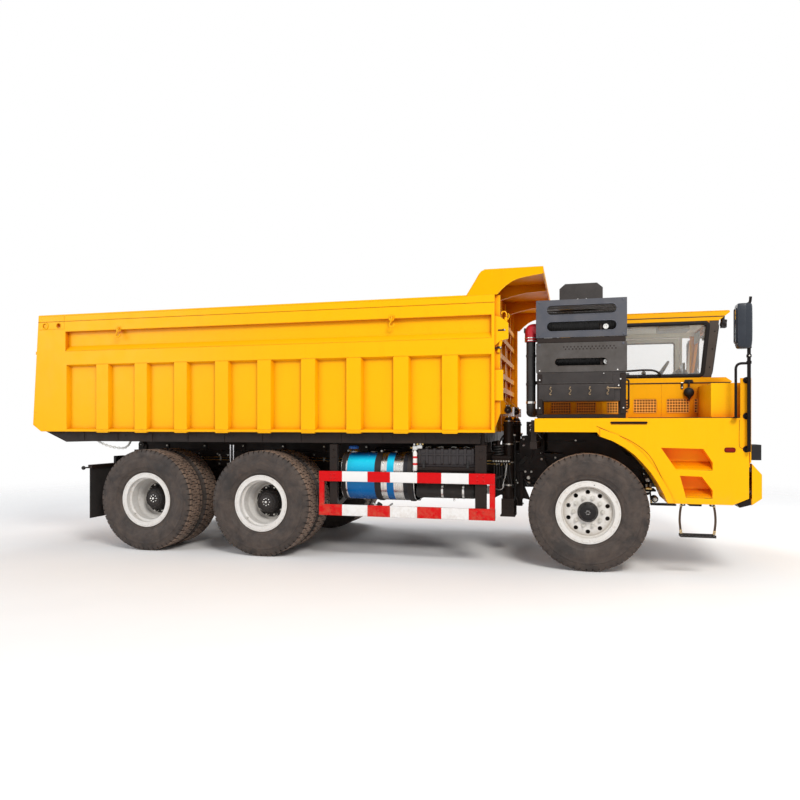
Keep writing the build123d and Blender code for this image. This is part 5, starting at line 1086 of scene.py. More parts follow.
def tank_dress():
    """Straps, swage ribs, end seams, filler cap, gauge and drain of the fuel tank."""
    s = Shape()
    for x0, x1, grow, mat in ((300, 368, 7, 0), (-146, -92, 7, 0), (722, 782, 7, 0),
                              (292, 376, 2.5, 1),
                              (-154, -146, 4, 2), (801, 809, 4, 2)):
        s.plate(tank_line(grow), "x", x0, x1, mat, 1.2)
    for x in (392, 408, 566, 590, 614, 650):
        s.plate(tank_line(3), "x", x, x + 9, 2, 3)
    # strap tension bolts on top and at the low front
    for x in (-119, 334, 752):
        s.block(x - 26, x + 26, -1212, -1160, 1350, 1378, 0)
        s.rod((x, -1255, 1366), (x, -1120, 1366), 8, 3)
        s.bolt((x, -1255, 1366), (0, -1, 0), 13, 3)
        s.bolt((x, -1120, 1366), (0, 1, 0), 13, 3)
        s.block(x - 34, x + 34, -1240, -800, 728, 743, 0)
    # filler: bayonet cap with grip lugs on a steel neck
    cap = (-70, -1180, 1348)
    s.lathe([(0, 84), (6, 84), (9, 74), (9, 57), (36, 55), (40, 60), (44, 60)], cap, (0, 0, 1), 2,
            40)
    s.lathe([(38, 0), (38, 57), (43, 62), (70, 62), (77, 56), (79, 40), (74, 36), (74, 0)], cap,
            (0, 0, 1), 4, 40)
    for k in range(12):
        turn = TAU * k / 12
        x, y = cap[0] + 60 * math.cos(turn), cap[1] + 60 * math.sin(turn)
        s.rod((x, y, 1392), (x, y, 1422), 6, 4, 8)
    s.block(cap[0] - 52, cap[0] + 52, cap[1] - 9, cap[1] + 9, 1420, 1436, 4, 5)
    for k in range(6):
        turn = TAU * k / 6
        s.bolt((cap[0] + 78 * math.cos(turn), cap[1] + 78 * math.sin(turn), 1353), (0, 0, 1), 6, 3)
    # sender plate, breather and suction lines
    s.lathe([(0, 46), (5, 46), (8, 42), (8, 0)], (180, -1080, 1347), (0, 0, 1), 3, 30)
    for k in range(5):
        s.bolt((180 + 36 * math.cos(TAU * k / 5), -1080 + 36 * math.sin(TAU * k / 5), 1354),
               (0, 0, 1), 5, 3)
    s.tube(smooth_path([(180, -1080, 1360), (200, -1020, 1400), (300, -900, 1410),
                        (500, -800, 1400), (800, -700, 1380),
                        (1000, -600, 1330)]), 9, 1)
    s.tube(smooth_path([(180, -1060, 1360), (190, -1000, 1385), (260, -860, 1385),
                        (500, -700, 1370), (900, -560, 1330)]),
           7, 1)
    s.rod((480, -1060, 1347), (480, -1060, 1362), 24, 3, 20)
    s.rod((328, -1120, 743), (328, -1120, 722), 16, 3, 6)
    s.rod((60, -1120, 744), (60, -1120, 722), 16, 3, 6)
    # step plate and cross tube under the tank
    s.block(-140, 790, -1010, -960, 712, 728, 0)
    s.tube(smooth_path([(240, -1330, 700), (330, -1350, 655), (420, -1330, 650),
                        (480, -1260, 690)]), 12, 3)
    s.lathe([(0, 26), (40, 26), (44, 20), (58, 20)], (300, -1320, 690), (1, -0.2, -0.3), 0, 18)
    return s


CAP_BLUE = moulded("cap_blue", (0.02, 0.16, 0.62), 0.32, 300, 0.0002, 0.1)
tank_dress().make("fuel_tank_fittings", [BLACK_SOFT, HOSE, STEEL, ZINC, CAP_BLUE], slot="tank_blue")

# ------------------------------------------------------------------ batteries, reservoirs, canister
BOX_X = (852, 1581)
BOX_Y = (-1458, -892)


def battery_cover():
    """Ribbed moulded cover over the batteries, with its clips and lower tray."""
    s = Shape()
    def outline(grow, low):
        y0, y1 = BOX_Y[0] - 4 - grow, BOX_Y[1]
        return rounded([(y0, low), (y1, low), (y1, 1404 + grow), (y0, 1404 + grow)], 36, 6)
    s.plate(outline(0, 1172), "x", BOX_X[0] - 2, BOX_X[1] + 2, 0, 14)
    s.plate(outline(7, 1196), "x", BOX_X[0] + 10, BOX_X[1] - 10, 0, 10)
    count = 8
    pitch = (BOX_X[1] - BOX_X[0] - 60) / (count - 1)
    for k in range(count):
        x = BOX_X[0] + 30 + pitch * k
        s.plate(outline(18, 1208), "x", x - 19, x + 19, 0, 7)
    s.plate([(BOX_Y[0] - 26, 1330), (BOX_Y[0] - 26, 1346), (BOX_Y[0] + 30, 1352),
             (BOX_Y[0] + 30, 1324)], "x",
            BOX_X[0] + 6, BOX_X[1] - 6, 0, 3)
    s.plate(rounded([(BOX_Y[0] - 18, 1137), (BOX_Y[1], 1137), (BOX_Y[1], 1182),
                     (BOX_Y[0] - 18, 1182)], 8, 3), "x",
            BOX_X[0] - 6, BOX_X[1] + 6, 1, 4)
    for x in (940, 1490):
        s.block(x - 16, x + 16, BOX_Y[0] - 32, BOX_Y[0] - 20, 1172, 1262, 2, 3)
        s.tube([(x - 9, BOX_Y[0] - 30, 1172), (x - 9, BOX_Y[0] - 34, 1240),
                (x + 9, BOX_Y[0] - 34, 1240),
                (x + 9, BOX_Y[0] - 30, 1172)], 3, 2, 8)
    # finger holds pressed in the top and the rail it stands on
    for k in range(4):
        s.tube(smooth_path([(950 + 160 * k, -1420, 1424), (985 + 160 * k, -1420, 1432),
                            (1020 + 160 * k, -1420, 1424)]),
               5, 3, 8)
    s.block(860, 1573, -1452, -1402, 1108, 1137, 1)
    s.block(860, 1573, -960, -900, 1108, 1137, 1)
    return s


COVER = moulded("cover_plastic", (0.022, 0.018, 0.019), 0.42, spec=0.35)
battery_cover().make("battery_cover", [COVER, BLACK, HOSE, ZINC], slot="dark_plastic")


def reservoirs():
    """Domed ends, straps, drains and elbows of the two air reservoirs."""
    s = Shape()
    for y in (-1350, -1080):
        s.lathe([(0, 93.4), (14, 91), (26, 80), (32.5, 63), (33.6, 0)], (1542, y, RESERVOIR_Z),
                (1, 0, 0), 0, 48)
        s.lathe([(0, 93.4), (14, 91), (26, 80), (34.5, 63), (35.6, 0)], (855, y, RESERVOIR_Z),
                (-1, 0, 0), 0, 48)
        s.lathe([(0, 92), (0, 94.2), (10, 94.2), (10, 92)], (1190, y, RESERVOIR_Z), (1, 0, 0), 0,
                48)
        for x in (1150, 1412):
            s.lathe([(0, 92.6), (0.5, 96.2), (25.5, 96.2), (26, 92.6)], (x, y, RESERVOIR_Z),
                    (1, 0, 0), 1, 56)
            s.rod((x + 13, y - 60, 975), (x + 13, y - 60, 1108), 7, 1)
            s.rod((x + 13, y + 60, 975), (x + 13, y + 60, 1108), 7, 1)
            s.bolt((x + 13, y - 60, 1090), (0, 0, -1), 12, 1)
            s.block(x - 6, x + 32, y - 74, y + 74, 974, 984, 0)
        s.rod((1300, y, 793), (1300, y, 772), 15, 1, 6)
        s.ring((1300, y, 768), (0, 1, 0), 12, 2.2, 1, 20, 6)
        s.tube(bent_path([(1575, y, 883), (1610, y, 883), (1640, y + 60, 930),
                          (1700, y + 120, 1000),
                          (1850, y + 300, 1050)], 40), 9, 2)
        s.rod((1572, y, 883), (1598, y, 883), 17, 3, 6)
    for x in (960, 1040, 1330):
        s.rod((x, -1350, 974), (x, -1350, 1000), 12, 3, 6)
        s.tube(smooth_path([(x, -1350, 998), (x + 30, -1320, 1050), (x + 60, -1180, 1070),
                            (x + 40, -980, 1075),
                            (x + 20, -700, 1120), (x + 10, -500, 1130)]), 6.5, 2)
    return s


RESERVOIR = dark_steel("reservoir_black", (0.022, 0.021, 0.021), gloss=0.26, amount=0.3)
BRASS = bare_metal("brass_fitting", (0.78, 0.55, 0.22), 0.28, (30, 30, 30), 0.4)
reservoirs().make("reservoir_fittings", [RESERVOIR, STEEL, HOSE, BRASS], slot="black_steel")


def air_canister():
    """White desiccant bottle with red bands below a cluster of bright valves."""
    s = Shape()
    x, y = 832, -1490
    s.lathe([(0, 0), (0, 14), (8, 25), (20, 27), (222, 27), (238, 24), (250, 14), (262, 13),
             (262, 0)], (x, y, 1128),
            (0, 0, 1), 0, 32)
    for z in (1206, 1290):
        s.lathe([(0, 27.2), (0, 27.8), (26, 27.8), (26, 27.2)], (x, y, z), (0, 0, 1), 1, 32)
    s.block(x - 30, x + 34, y - 24, y + 30, 1392, 1446, 2, 6)
    s.block(x + 20, x + 92, y - 14, y + 34, 1408, 1456, 2, 6)
    for k, (dx, dz) in enumerate(((-10, 0), (30, 8), (66, 2), (96, 10))):
        s.rod((x + dx, y + 4, 1446 + dz), (x + dx, y + 4, 1474 + dz), 12, 3 if k % 2 else 2, 6)
        s.tube(smooth_path([(x + dx, y + 4, 1470 + dz), (x + dx + 8, y + 20, 1500 + dz),
                            (x + dx + 16, y + 90, 1512),
                            (x + dx + 20, y + 240, 1470), (x + dx + 10, y + 600, 1360)]), 6, 4)
    s.rod((x - 34, y, 1420), (x - 58, y, 1420), 10, 3, 6)
    s.block(x - 8, x + 20, y + 20, y + 60, 1150, 1430, 5)
    return s


CANISTER = moulded("canister_white", (0.80, 0.79, 0.76), 0.35, 200, 0.0001, 0.0)
CANISTER_RED = moulded("canister_red", (0.62, 0.02, 0.02), 0.35, 200, 0.0001, 0.1)
air_canister().make("air_canister", [CANISTER, CANISTER_RED, STEEL, BRASS, HOSE, BLACK],
                    slot="black_steel")


def left_boxes():
    """Locker door, hinges and latch, and the hydraulic tank's cap, gauge, straps and filter."""
    s = Shape()
    s.plate(rounded([(884, 856), (1549, 856), (1549, 1376), (884, 1376)], 30, 5), "y", 1450, 1462,
            0, 4)
    s.plate(rounded([(930, 900), (1503, 900), (1503, 1332), (930, 1332)], 40, 5), "y", 1461, 1467,
            0, 3)
    for x in (980, 1216, 1450):
        s.rod((x - 34, 1466, 1384), (x + 34, 1466, 1384), 8, 1)
        s.block(x - 30, x + 30, 1455, 1464, 1340, 1384, 1)
    for x in (1040, 1390):
        s.lathe([(0, 30), (5, 30), (8, 26), (8, 0)], (x, 1462, 880), (0, 1, 0), 1, 28)
        s.block(x - 5, x + 5, 1466, 1476, 862, 898, 1)
    for x in (-100, 340, 620):
        s.plate(rounded([(794, 754), (1456, 754), (1456, 1346), (794, 1346)], 54, 6), "x", x,
                x + 46, 0, 1.5)
        s.bolt((x + 23, 1200, 1346), (0, 0, 1), 14, 1)
    s.lathe([(0, 78), (8, 78), (12, 66), (66, 66), (72, 60), (72, 0)], (0, 1130, 1340), (0, 0, 1),
            0, 36)
    s.lathe([(0, 0), (0, 70), (30, 70), (36, 62), (36, 0)], (0, 1130, 1400), (0, 0, 1), 2, 24)
    s.lathe([(0, 90), (6, 90), (10, 84), (40, 84), (46, 76), (46, 0)], (440, 1100, 1340), (0, 0, 1),
            0, 36)
    for k in range(6):
        s.bolt((440 + 76 * math.cos(TAU * k / 6), 1100 + 76 * math.sin(TAU * k / 6), 1384),
               (0, 0, 1), 8, 1)
    s.block(160, 196, 1450, 1462, 880, 1130, 1, 4)
    s.block(167, 189, 1460, 1465, 905, 1105, 3, 2)
    for z in (890, 1120):
        s.bolt((178, 1462, z), (0, 1, 0), 9, 1)
    s.tube(bent_path([(440, 1010, 1385), (440, 900, 1400), (600, 760, 1400), (900, 640, 1370),
                      (1300, 560, 1360)], 60),
           22, 4)
    s.tube(bent_path([(200, 900, 752), (200, 900, 700), (700, 700, 690), (1400, 560, 760)], 60), 26,
           4)
    s.rod((200, 900, 762), (200, 900, 730), 34, 1, 8)
    return s


left_boxes().make("left_boxes_fittings", [BLACK, ZINC, PLASTIC, LAMP_GLASS, HOSE],
                  slot="black_steel")


# ------------------------------------------------------------------ bed
BED_X = (-4612, 1834)
RIB_XS = [-3566 + 608 * k for k in range(9)]


def bed_side():
    """Rolled top edge, hooks, rib feet, seams and pin bosses of the right bed side."""
    s = Shape()
    s.plate(rounded([(-1654, 3232), (-1566, 3232), (-1566, 3254), (-1654, 3254)], 8, 3), "x",
            BED_X[0], 1497, 0, 2)
    # rib feet below the floor line and the welds along the sheet joints
    for x in RIB_XS:
        s.plate([(x - 97, 1613), (x + 97, 1613), (x + 88, 1597), (x - 88, 1597)], "y", -1651, -1604,
                0, 2)
        for z in (1641, 2545):
            s.tube([(x - 94, -1650, z), (x + 94, -1650, z)], 4, 0, 6)
    s.tube([(-4560, -1650, 1614), (1832, -1650, 1614)], 4, 0, 6)
    s.tube([(-4155, -1650, 3012), (1797, -1650, 3012)], 3.5, 0, 6)
    s.tube([(-4155, -1650, 2737), (1797, -1650, 2737)], 3.5, 0, 6)
    s.tube([(-4606, -1650, 3050), (-4190, -1650, 3050)], 3.5, 0, 6)
    s.tube([(-4190, -1650, 3050), (-4182, -1650, 3240)], 3.5, 0, 6)
    # tarpaulin hooks under the top rail
    for x in (-3297, 579):
        s.plate(rounded([(x - 42, 3054), (x + 30, 3054), (x + 30, 2990), (x - 6, 2966),
                         (x - 42, 2990)], 12, 4), "y",
                -1656, -1648, 0, 2)
        s.tube(smooth_path([(x + 6, -1652, 3040), (x + 4, -1676, 3018), (x - 8, -1682, 2968),
                            (x - 26, -1680, 2926),
                            (x + 4, -1680, 2902), (x + 34, -1680, 2924), (x + 30, -1680, 2942)]), 9,
               0, 10)
        s.bolt((x - 24, -1656, 3030), (0, -1, 0), 9, 0)
    # pin boss, latch slot and the stop on the rear edge
    s.lathe([(0, 52), (5, 52), (8, 47), (8, 34), (2, 33)], (-4503, -1650, 3100), (0, -1, 0), 0, 36)
    s.lathe([(0, 40), (3, 40), (4, 33), (-6, 31)], (-4281, -1650, 3100), (0, -1, 0), 0, 30)
    s.block(-4676, -4634, -1640, -1580, 2700, 2744, 0, 5)
    for z in (1700, 1790, 1880):
        s.tube([(-4700 + (z - 1705) * 0.063, -1650, z), (-4660 + (z - 1705) * 0.063, -1650, z)], 3,
               0, 6)
    # inside face: wear strips and corner fillet
    for z in (1900, 2400):
        s.plate(rounded([(-4380, z), (1690, z), (1690, z + 60), (-4380, z + 60)], 6, 2), "y", -1572,
                -1560, 1, 2)
    s.plate([(-1570, 1631), (-1490, 1631), (-1570, 1711)], "x", -4380, 1690, 1, 2)
    return s


BED_LOOKS = [YELLOW, YELLOW_IN, BLACK, ZINC]
bed_side().make("bed_side_fittings_right", BED_LOOKS, "bed", "yellow_paint")
bed_side().mirrored().make("bed_side_fittings_left", BED_LOOKS, "bed", "yellow_paint")


def bed_front():
    """Marker pole with its clamps, canopy edges, channel welds and hoist eyes at the headboard."""
    s = Shape()
    # slanted pole on the front edge of the right side
    low, high = Vector((1872, -1606, 2560)), Vector((1968, -1606, 2975))
    s.rod(low, high, 21, 0, 20, 4)
    way = (high - low).normalized()
    for t in (0.12, 0.62):
        at = low.lerp(high, t)
        s.lathe([(0, 21.5), (0, 28), (22, 28), (22, 21.5)], at, way, 2, 24)
        s.block(at.x - 60, at.x + 26, -1640, -1600, at.z - 2, at.z + 14, 2, 3)
        s.bolt((at.x + 20, -1640, at.z + 8), (0, -1, 0), 8, 3)
    s.tube(smooth_path([(1968, -1606, 2965), (1972, -1606, 3010), (1950, -1606, 3045),
                        (1918, -1606, 3040),
                        (1912, -1606, 3015)]), 8, 0, 10)
    s.tube(smooth_path([(1990, -1606, 2950), (2002, -1606, 2990), (1992, -1606, 3020)]), 6, 0, 8)
    # lip on the canopy's front edge and along the gussets
    s.tube([(2398, -1646, 3474), (2398, 1646, 3474)], 9, 0, 12)
    for y in (-1650, 1650):
        way_out = -1 if y < 0 else 1
        edge = [(1860, 3250), (1950, 3338), (2075, 3414), (2240, 3449), (2388, 3468)]
        s.tube(smooth_path([(x, y - way_out * 6, z) for x, z in edge]), 8, 0, 10)
        s.tube([(1499, y, 3247), (1650, y, 3490)], 4, 0, 6)
    # crease lines on top of the canopy
    for y in (-1100, -370, 370, 1100):
        s.plate(rounded([(1740, y - 40), (2350, y - 40), (2350, y + 40), (1740, y + 40)], 20, 4),
                "z", 3546, 3549, 0, 1)
    # upper eyes of the hoists: pin heads, keeper plates and grease nipples
    for y in (-620, 620):
        for k in (-1, 1):
            s.lathe([(0, 46), (10, 46), (14, 40), (14, 0)], (1900, y + k * 75, 1900), (0, k, 0), 2,
                    28)
            s.block(1870, 1930, *sorted((y + k * 84, y + k * 92)), 1948, 1966, 2)
            s.bolt((1884, y + k * 92, 1957), (0, k, 0), 8, 3)
            s.bolt((1916, y + k * 92, 1957), (0, k, 0), 8, 3)
            s.rod((1900, y + k * 86, 1900), (1900, y + k * 102, 1900), 5, 3, 8)
        s.tube([(1732, y - 68, 2150), (1930, y - 68, 1962)], 5, 0, 6)
    # weld beads where the cross ribs meet the headboard
    for z in (2008, 2192, 2383, 2640, 2900, 3150):
        for dz in (-36, 36):
            s.tube([(1732, -1568, z + dz), (1732, 1568, z + dz)], 4, 0, 6)
    return s


bed_front().make("headboard_fittings", BED_LOOKS, "bed", "yellow_paint")


def bed_under():
    """Gussets, pads, bolts and pin caps under the bed floor, and the safety chain."""
    s = Shape()
    for side in (-1, 1):
        y = side * 1540
        for k in range(11):
            x = -4000 + k * 546
            s.plate([(x + 30, 1474), (x + 60, 1474), (x + 60, 1606), (x + 30, 1606)], "y", y,
                    y + side * 6, 0, 1)
            s.bolt((x + 180, y, 1560), (0, side, 0), 9, 0)
            s.plate([(side * 1460, 1480), (side * 1380, 1476), (side * 1380, 1560),
                     (side * 1460, 1606)], "x", x, x + 12)
        s.tube([(-4320, y, 1608), (1640, y, 1608)], 5, 0, 6)
        for k in range(8):
            x = -3400 + k * 640
            s.block(x, x + 180, *sorted((side * 384, side * 486)), 1321, 1331, 1, 2)
            s.block(x + 60, x + 120, *sorted((side * 480, side * 496)), 1300, 1420, 0, 3)
            s.bolt((x + 90, side * 496, 1390), (0, side, 0), 12, 2)
        for k in (-1, 1):
            s.lathe([(0, 52), (9, 52), (13, 46), (13, 0)], (-3750, side * (435 + k * 70), 1400),
                    (0, side * k, 0), 0, 30)
            s.rod((-3750, side * (435 + k * 70), 1400), (-3750, side * (435 + k * 92), 1400), 6, 2,
                  8)
        s.plate([(1655, 1400), (1695, 1400), (1695, 1608), (1655, 1608)], "y", y - side * 60,
                y - side * 54, 0, 1)
    # chain slung between the underframe and the rail
    run = [(-3784, -1500, 1494), (-3670, -1480, 1432), (-3540, -1450, 1392), (-3400, -1410, 1378),
           (-3345, -1380, 1420),
           (-3330, -1350, 1474)]
    path = smooth_path(run, 10)
    links = path[::2]
    for k, (a, b) in enumerate(zip(links, links[1:])):
        mid, d = (a + b) / 2, (b - a).normalized()
        u, v = frame_along(d)
        side = u if k % 2 else v
        half = (b - a).length * 0.62
        ring = [mid + d * half * math.cos(TAU * j / 12) + side * 13 * math.sin(TAU * j / 12)
                for j in range(12)]
        s.tube(ring, 5, 2, 6, loop=True)
    return s


bed_under().make("bed_underframe_fittings", [BLACK, RUBBER, ZINC], "bed", "black_steel")


def gate():
    """Uprights, hinge plates, seal, lower lock lugs and weld lines of the tailgate."""
    s = Shape()

    def face(z):
        """X of the outer skin at a height."""
        return -4540 - (3050 - z) * 100 / 1400

    for y in (-1450, -1050, -530, 0, 530, 1050, 1450):
        wide = 40
        s.plate([(face(3030), 3030), (face(3030) - 40, 3018), (face(1672) - 40, 1684),
                 (face(1672), 1672)], "y",
                y - wide, y + wide, 0, 4)
    for z in (1700, 2025, 2350, 2675, 3000):
        for y in (-1250, -790, -265, 265, 790, 1250):
            s.tube([(face(z) - 38, y - 180, z + 42), (face(z) - 38, y + 180, z + 42)], 3.5, 0, 6)
    for side in (-1, 1):
        for k in (0, 1):
            y = side * (1480 - 90 * k)
            s.plate([(face(1830), 1830), (face(1830) - 30, 1812), (face(1660) - 30, 1672),
                     (face(1660), 1660)], "y",
                    y - 9, y + 9, 0, 2)
        s.rod((face(1740) - 16, side * 1370, 1740), (face(1740) - 16, side * 1500, 1740), 13, 1, 18)
        s.lathe([(0, 44), (10, 44), (14, 38), (14, 0)], (-4503, side * 1502, 3100), (0, -side, 0),
                1, 28)
        s.tube([(-4563, side * 1528, 1680), (-4471, side * 1528, 2980)], 9, 2, 8)
        s.tube(smooth_path([(face(2900) - 44, side * 1180, 2900),
                            (face(2900) - 62, side * 1160, 2880),
                            (face(2900) - 62, side * 1040, 2880),
                            (face(2900) - 44, side * 1020, 2900)]), 9, 1, 10)
    s.tube([(-4572, -1540, 1660), (-4572, 1540, 1660)], 9, 2, 8)
    s.plate(rounded([(-4552, 3040), (-4470, 3040), (-4470, 3062), (-4552, 3062)], 8, 3), "y", -1555,
            1555, 0, 2)
    return s


gate().make("tailgate_fittings", [YELLOW, BLACK, RUBBER], "tailgate", "yellow_paint")
# ------------------------------------------------------------------ chassis, axles and hoists
def rails():
    """Rail bolts, gusset plates, cross pipes, brake lines and harness along the frame."""
    s = Shape()
    for side in (-1, 1):
        y = side * 480
        # white-headed bolts of the hanger and engine plates on the right, plain ones elsewhere
        for k in range(26):
            x = -3700 + k * 310
            if not 1780 < x < 2400:
                for z in (1010, 1270):
                    s.bolt((x, y, z), (0, side, 0), 12, 1)
        s.plate([(2030, 1130), (2030, 1470), (2075, 1560), (2345, 1585), (2345, 1300),
                 (2420, 1120)], "y", y + side * 14,
                y + side * 24, 0, 3)
        for x, z in ((2089, 1514), (2294, 1515), (2089, 1432), (2294, 1433), (2323, 1334),
                     (2323, 1252), (2624, 1335),
                     (2679, 1347)):
            s.lathe([(0, 15), (8, 15), (12, 11), (12, 0)], (x, y + side * 24 * (x < 2400), z),
                    (0, side, 0), 5, 16)
        s.plate([(2150, 1180), (2170, 1180), (2250, 1400), (2230, 1400)], "y", y + side * 24,
                y + side * 44, 0, 3)
        s.plate([(2400, 1180), (2380, 1180), (2290, 1400), (2310, 1400)], "y", y + side * 24,
                y + side * 44, 0, 3)
        # fish plates and gussets over the bogie
        s.plate([(-2500, 1080), (-1600, 1080), (-1700, 1300), (-2400, 1300)], "y", y, y + side * 12,
                0, 3)
        for x in (-2420, -2280, -2140, -1960, -1820, -1680):
            for z in (1120, 1250):
                s.bolt((x, y + side * 12, z), (0, side, 0), 13, 1)
        # brake pipes clipped along the rail
        for k, z in enumerate((1180, 1200, 1220)):
            s.tube(smooth_path([(-3600, y + side * 9, z), (-2000, y + side * 9, z),
                                (-1000, y + side * 12, z + 6),
                                (600, y + side * 10, z), (1750, y + side * 12, z - 4)]), 6,
                   2 if k % 2 else 3, 8)
        for k in range(16):
            x = -3400 + k * 330
            s.plate(rounded([(x, 1170), (x + 22, 1170), (x + 22, 1232), (x, 1232)], 6, 2), "y", y,
                    y + side * 18, 1, 1)
    # wiring loom on top of the right rail
    s.tube(smooth_path([(-3700, -430, 1336), (-2600, -425, 1332), (-1400, -436, 1337),
                        (0, -428, 1333), (1500, -434, 1336),
                        (2200, -430, 1350), (2700, -420, 1380)]), 15, 2, 10)
    # air pipes between the rails
    for y in (-300, -240, 260):
        s.tube(smooth_path([(-3300, y, 1150), (-1200, y + 30, 1135), (500, y, 1150),
                            (1900, y + 20, 1140)]), 9, 2, 8)
    return s


rails().make("rail_fittings", [BLACK, ZINC, HOSE, BRASS, RUBBER, WHITE_PAINT], slot="black_steel")


def mid_gear():
    """Brackets, hose loops and valves on the right rail between the guard and the front wheel.

    Open fault: the right hoist barrel passes through the valve row and the coiled hose.
    """
    s = Shape()
    # valve row with its fittings and hanging hoses
    s.block(1700, 1950, -800, -480, 1262, 1300, 0, 4)
    s.block(1716, 1940, -800, -700, 1206, 1262, 0, 6)
    for k in range(7):
        x = 1724 + 33 * k
        s.rod((x, -800, 1232), (x, -826, 1232), 13, 3, 6)
        s.rod((x, -750, 1206), (x, -750, 1180 - 8 * (k % 2)), 11, 3 if k % 3 else 4, 6)
        drop = 1010 - 46 * (k % 4)
        s.tube(smooth_path([(x, -750, 1182), (x + 4, -752, 1110), (x - 18 + 9 * k, -740, drop),
                            (x - 40 + 16 * k, -660, drop - 30),
                            (x - 60 + 22 * k, -500, drop + 50)]), 8, 2, 8)
    # braided line with bright joints
    line = smooth_path([(1890, -790, 1190), (1884, -800, 1120), (1872, -806, 1030),
                        (1850, -800, 950), (1842, -780, 884),
                        (1790, -740, 856), (1700, -640, 880)])
    s.tube(line, 8, 5, 10)
    for at, way in (((1886, -800, 1150), (0, 0, 1)), ((1874, -806, 1046), (0.1, 0, 1)),
                    ((1856, -803, 970), (0.2, 0, 1)),
                    ((1842, -782, 892), (0.1, 0, 1))):
        s.rod(at, Vector(at) + Vector(way) * 30, 15, 3, 6)
    for x, z in ((1990, 960), (1935, 1005), (2010, 930), (1975, 880), (1905, 935)):
        s.bolt((x, -528, z), (0, -1, 0), 11, 3)
    # coiled hose beside the hoist
    coil = [(1775 + 62 * math.cos(TAU * k / 18), -700 + 62 * math.sin(TAU * k / 18),
             1290 + k * 1.9) for k in range(84)]
    s.tube(coil, 13, 2, 10)
    s.tube(smooth_path([(1775, -640, 1450), (1800, -560, 1520), (1840, -520, 1560),
                        (1850, -480, 1460)]), 13, 2, 10)
    s.rod((1775, -700, 1262), (1775, -700, 1500), 26, 0, 20)
    # angled strut plate with a pale rubber block behind the hoist
    s.plate([(2035, 1080), (2090, 1080), (2084, 712), (2040, 712)], "y", -530, -484, 0, 4)
    s.plate([(2030, 1190), (2036, 1225), (2110, 1300), (2150, 1285), (2120, 1215), (2070, 1180)],
            "y", -560, -500, 6, 8)
    s.tube(smooth_path([(2090, -540, 1000), (2140, -560, 930), (2200, -560, 905),
                        (2280, -540, 930)]), 12, 2, 10)
    s.plate([(1700, 980), (2060, 980), (2180, 700), (1960, 745), (1780, 760), (1700, 715)], "y",
            -478, -466, 0, 3)
    # plate with lines behind the rear end of the fender
    for side in (-1, 1):
        s.block(2143, 2241, *sorted((side * 740, side * 754)), 1573, 1745, 0, 4)
        for k, (x, z) in enumerate(((2196, 1700), (2212, 1668), (2200, 1636))):
            s.rod((x, side * 754, z), (x, side * 784, z), 15, 3, 6)
            s.tube(smooth_path([(x, side * 784, z), (x + 20, side * 800, z - 10),
                                (x + 60, side * 780, z - 60),
                                (x + 120, side * 700, z - 140)]), 8, 5 if k == 1 else 2, 8)
        # liner plate behind the fender that closes the view of the engine bay
        s.plate([(2320, 1330), (2320, 1600), (3020, 1560), (3360, 1400), (3620, 1100), (3700, 900),
                 (3560, 760),
                 (2480, 760)] if side > 0 else [(2400, 1360), (2400, 1616), (2960, 1600),
                                                (3260, 1470), (3520, 1200),
                                                (3600, 1000), (3300, 960), (2600, 1330)], "y",
                side * 500, side * 506, 0, 2)
        s.tube([(2380, side * 512, 1486), (2880, side * 512, 1486)], 6, 2, 8)
        s.bolt((2760, side * 510, 1500), (0, side, 0), 12, 3)
    # side lamp lead
    s.tube(smooth_path([(2280, -500, 1330), (2330, -520, 1300), (2420, -505, 1260),
                        (2600, -500, 1250)]), 7, 2, 8)
    return s


mid_gear().make("mid_chassis_fittings", [BLACK, BLACK_SOFT, HOSE, ZINC, BRASS, STEEL, FLAP],
                slot="black_steel")


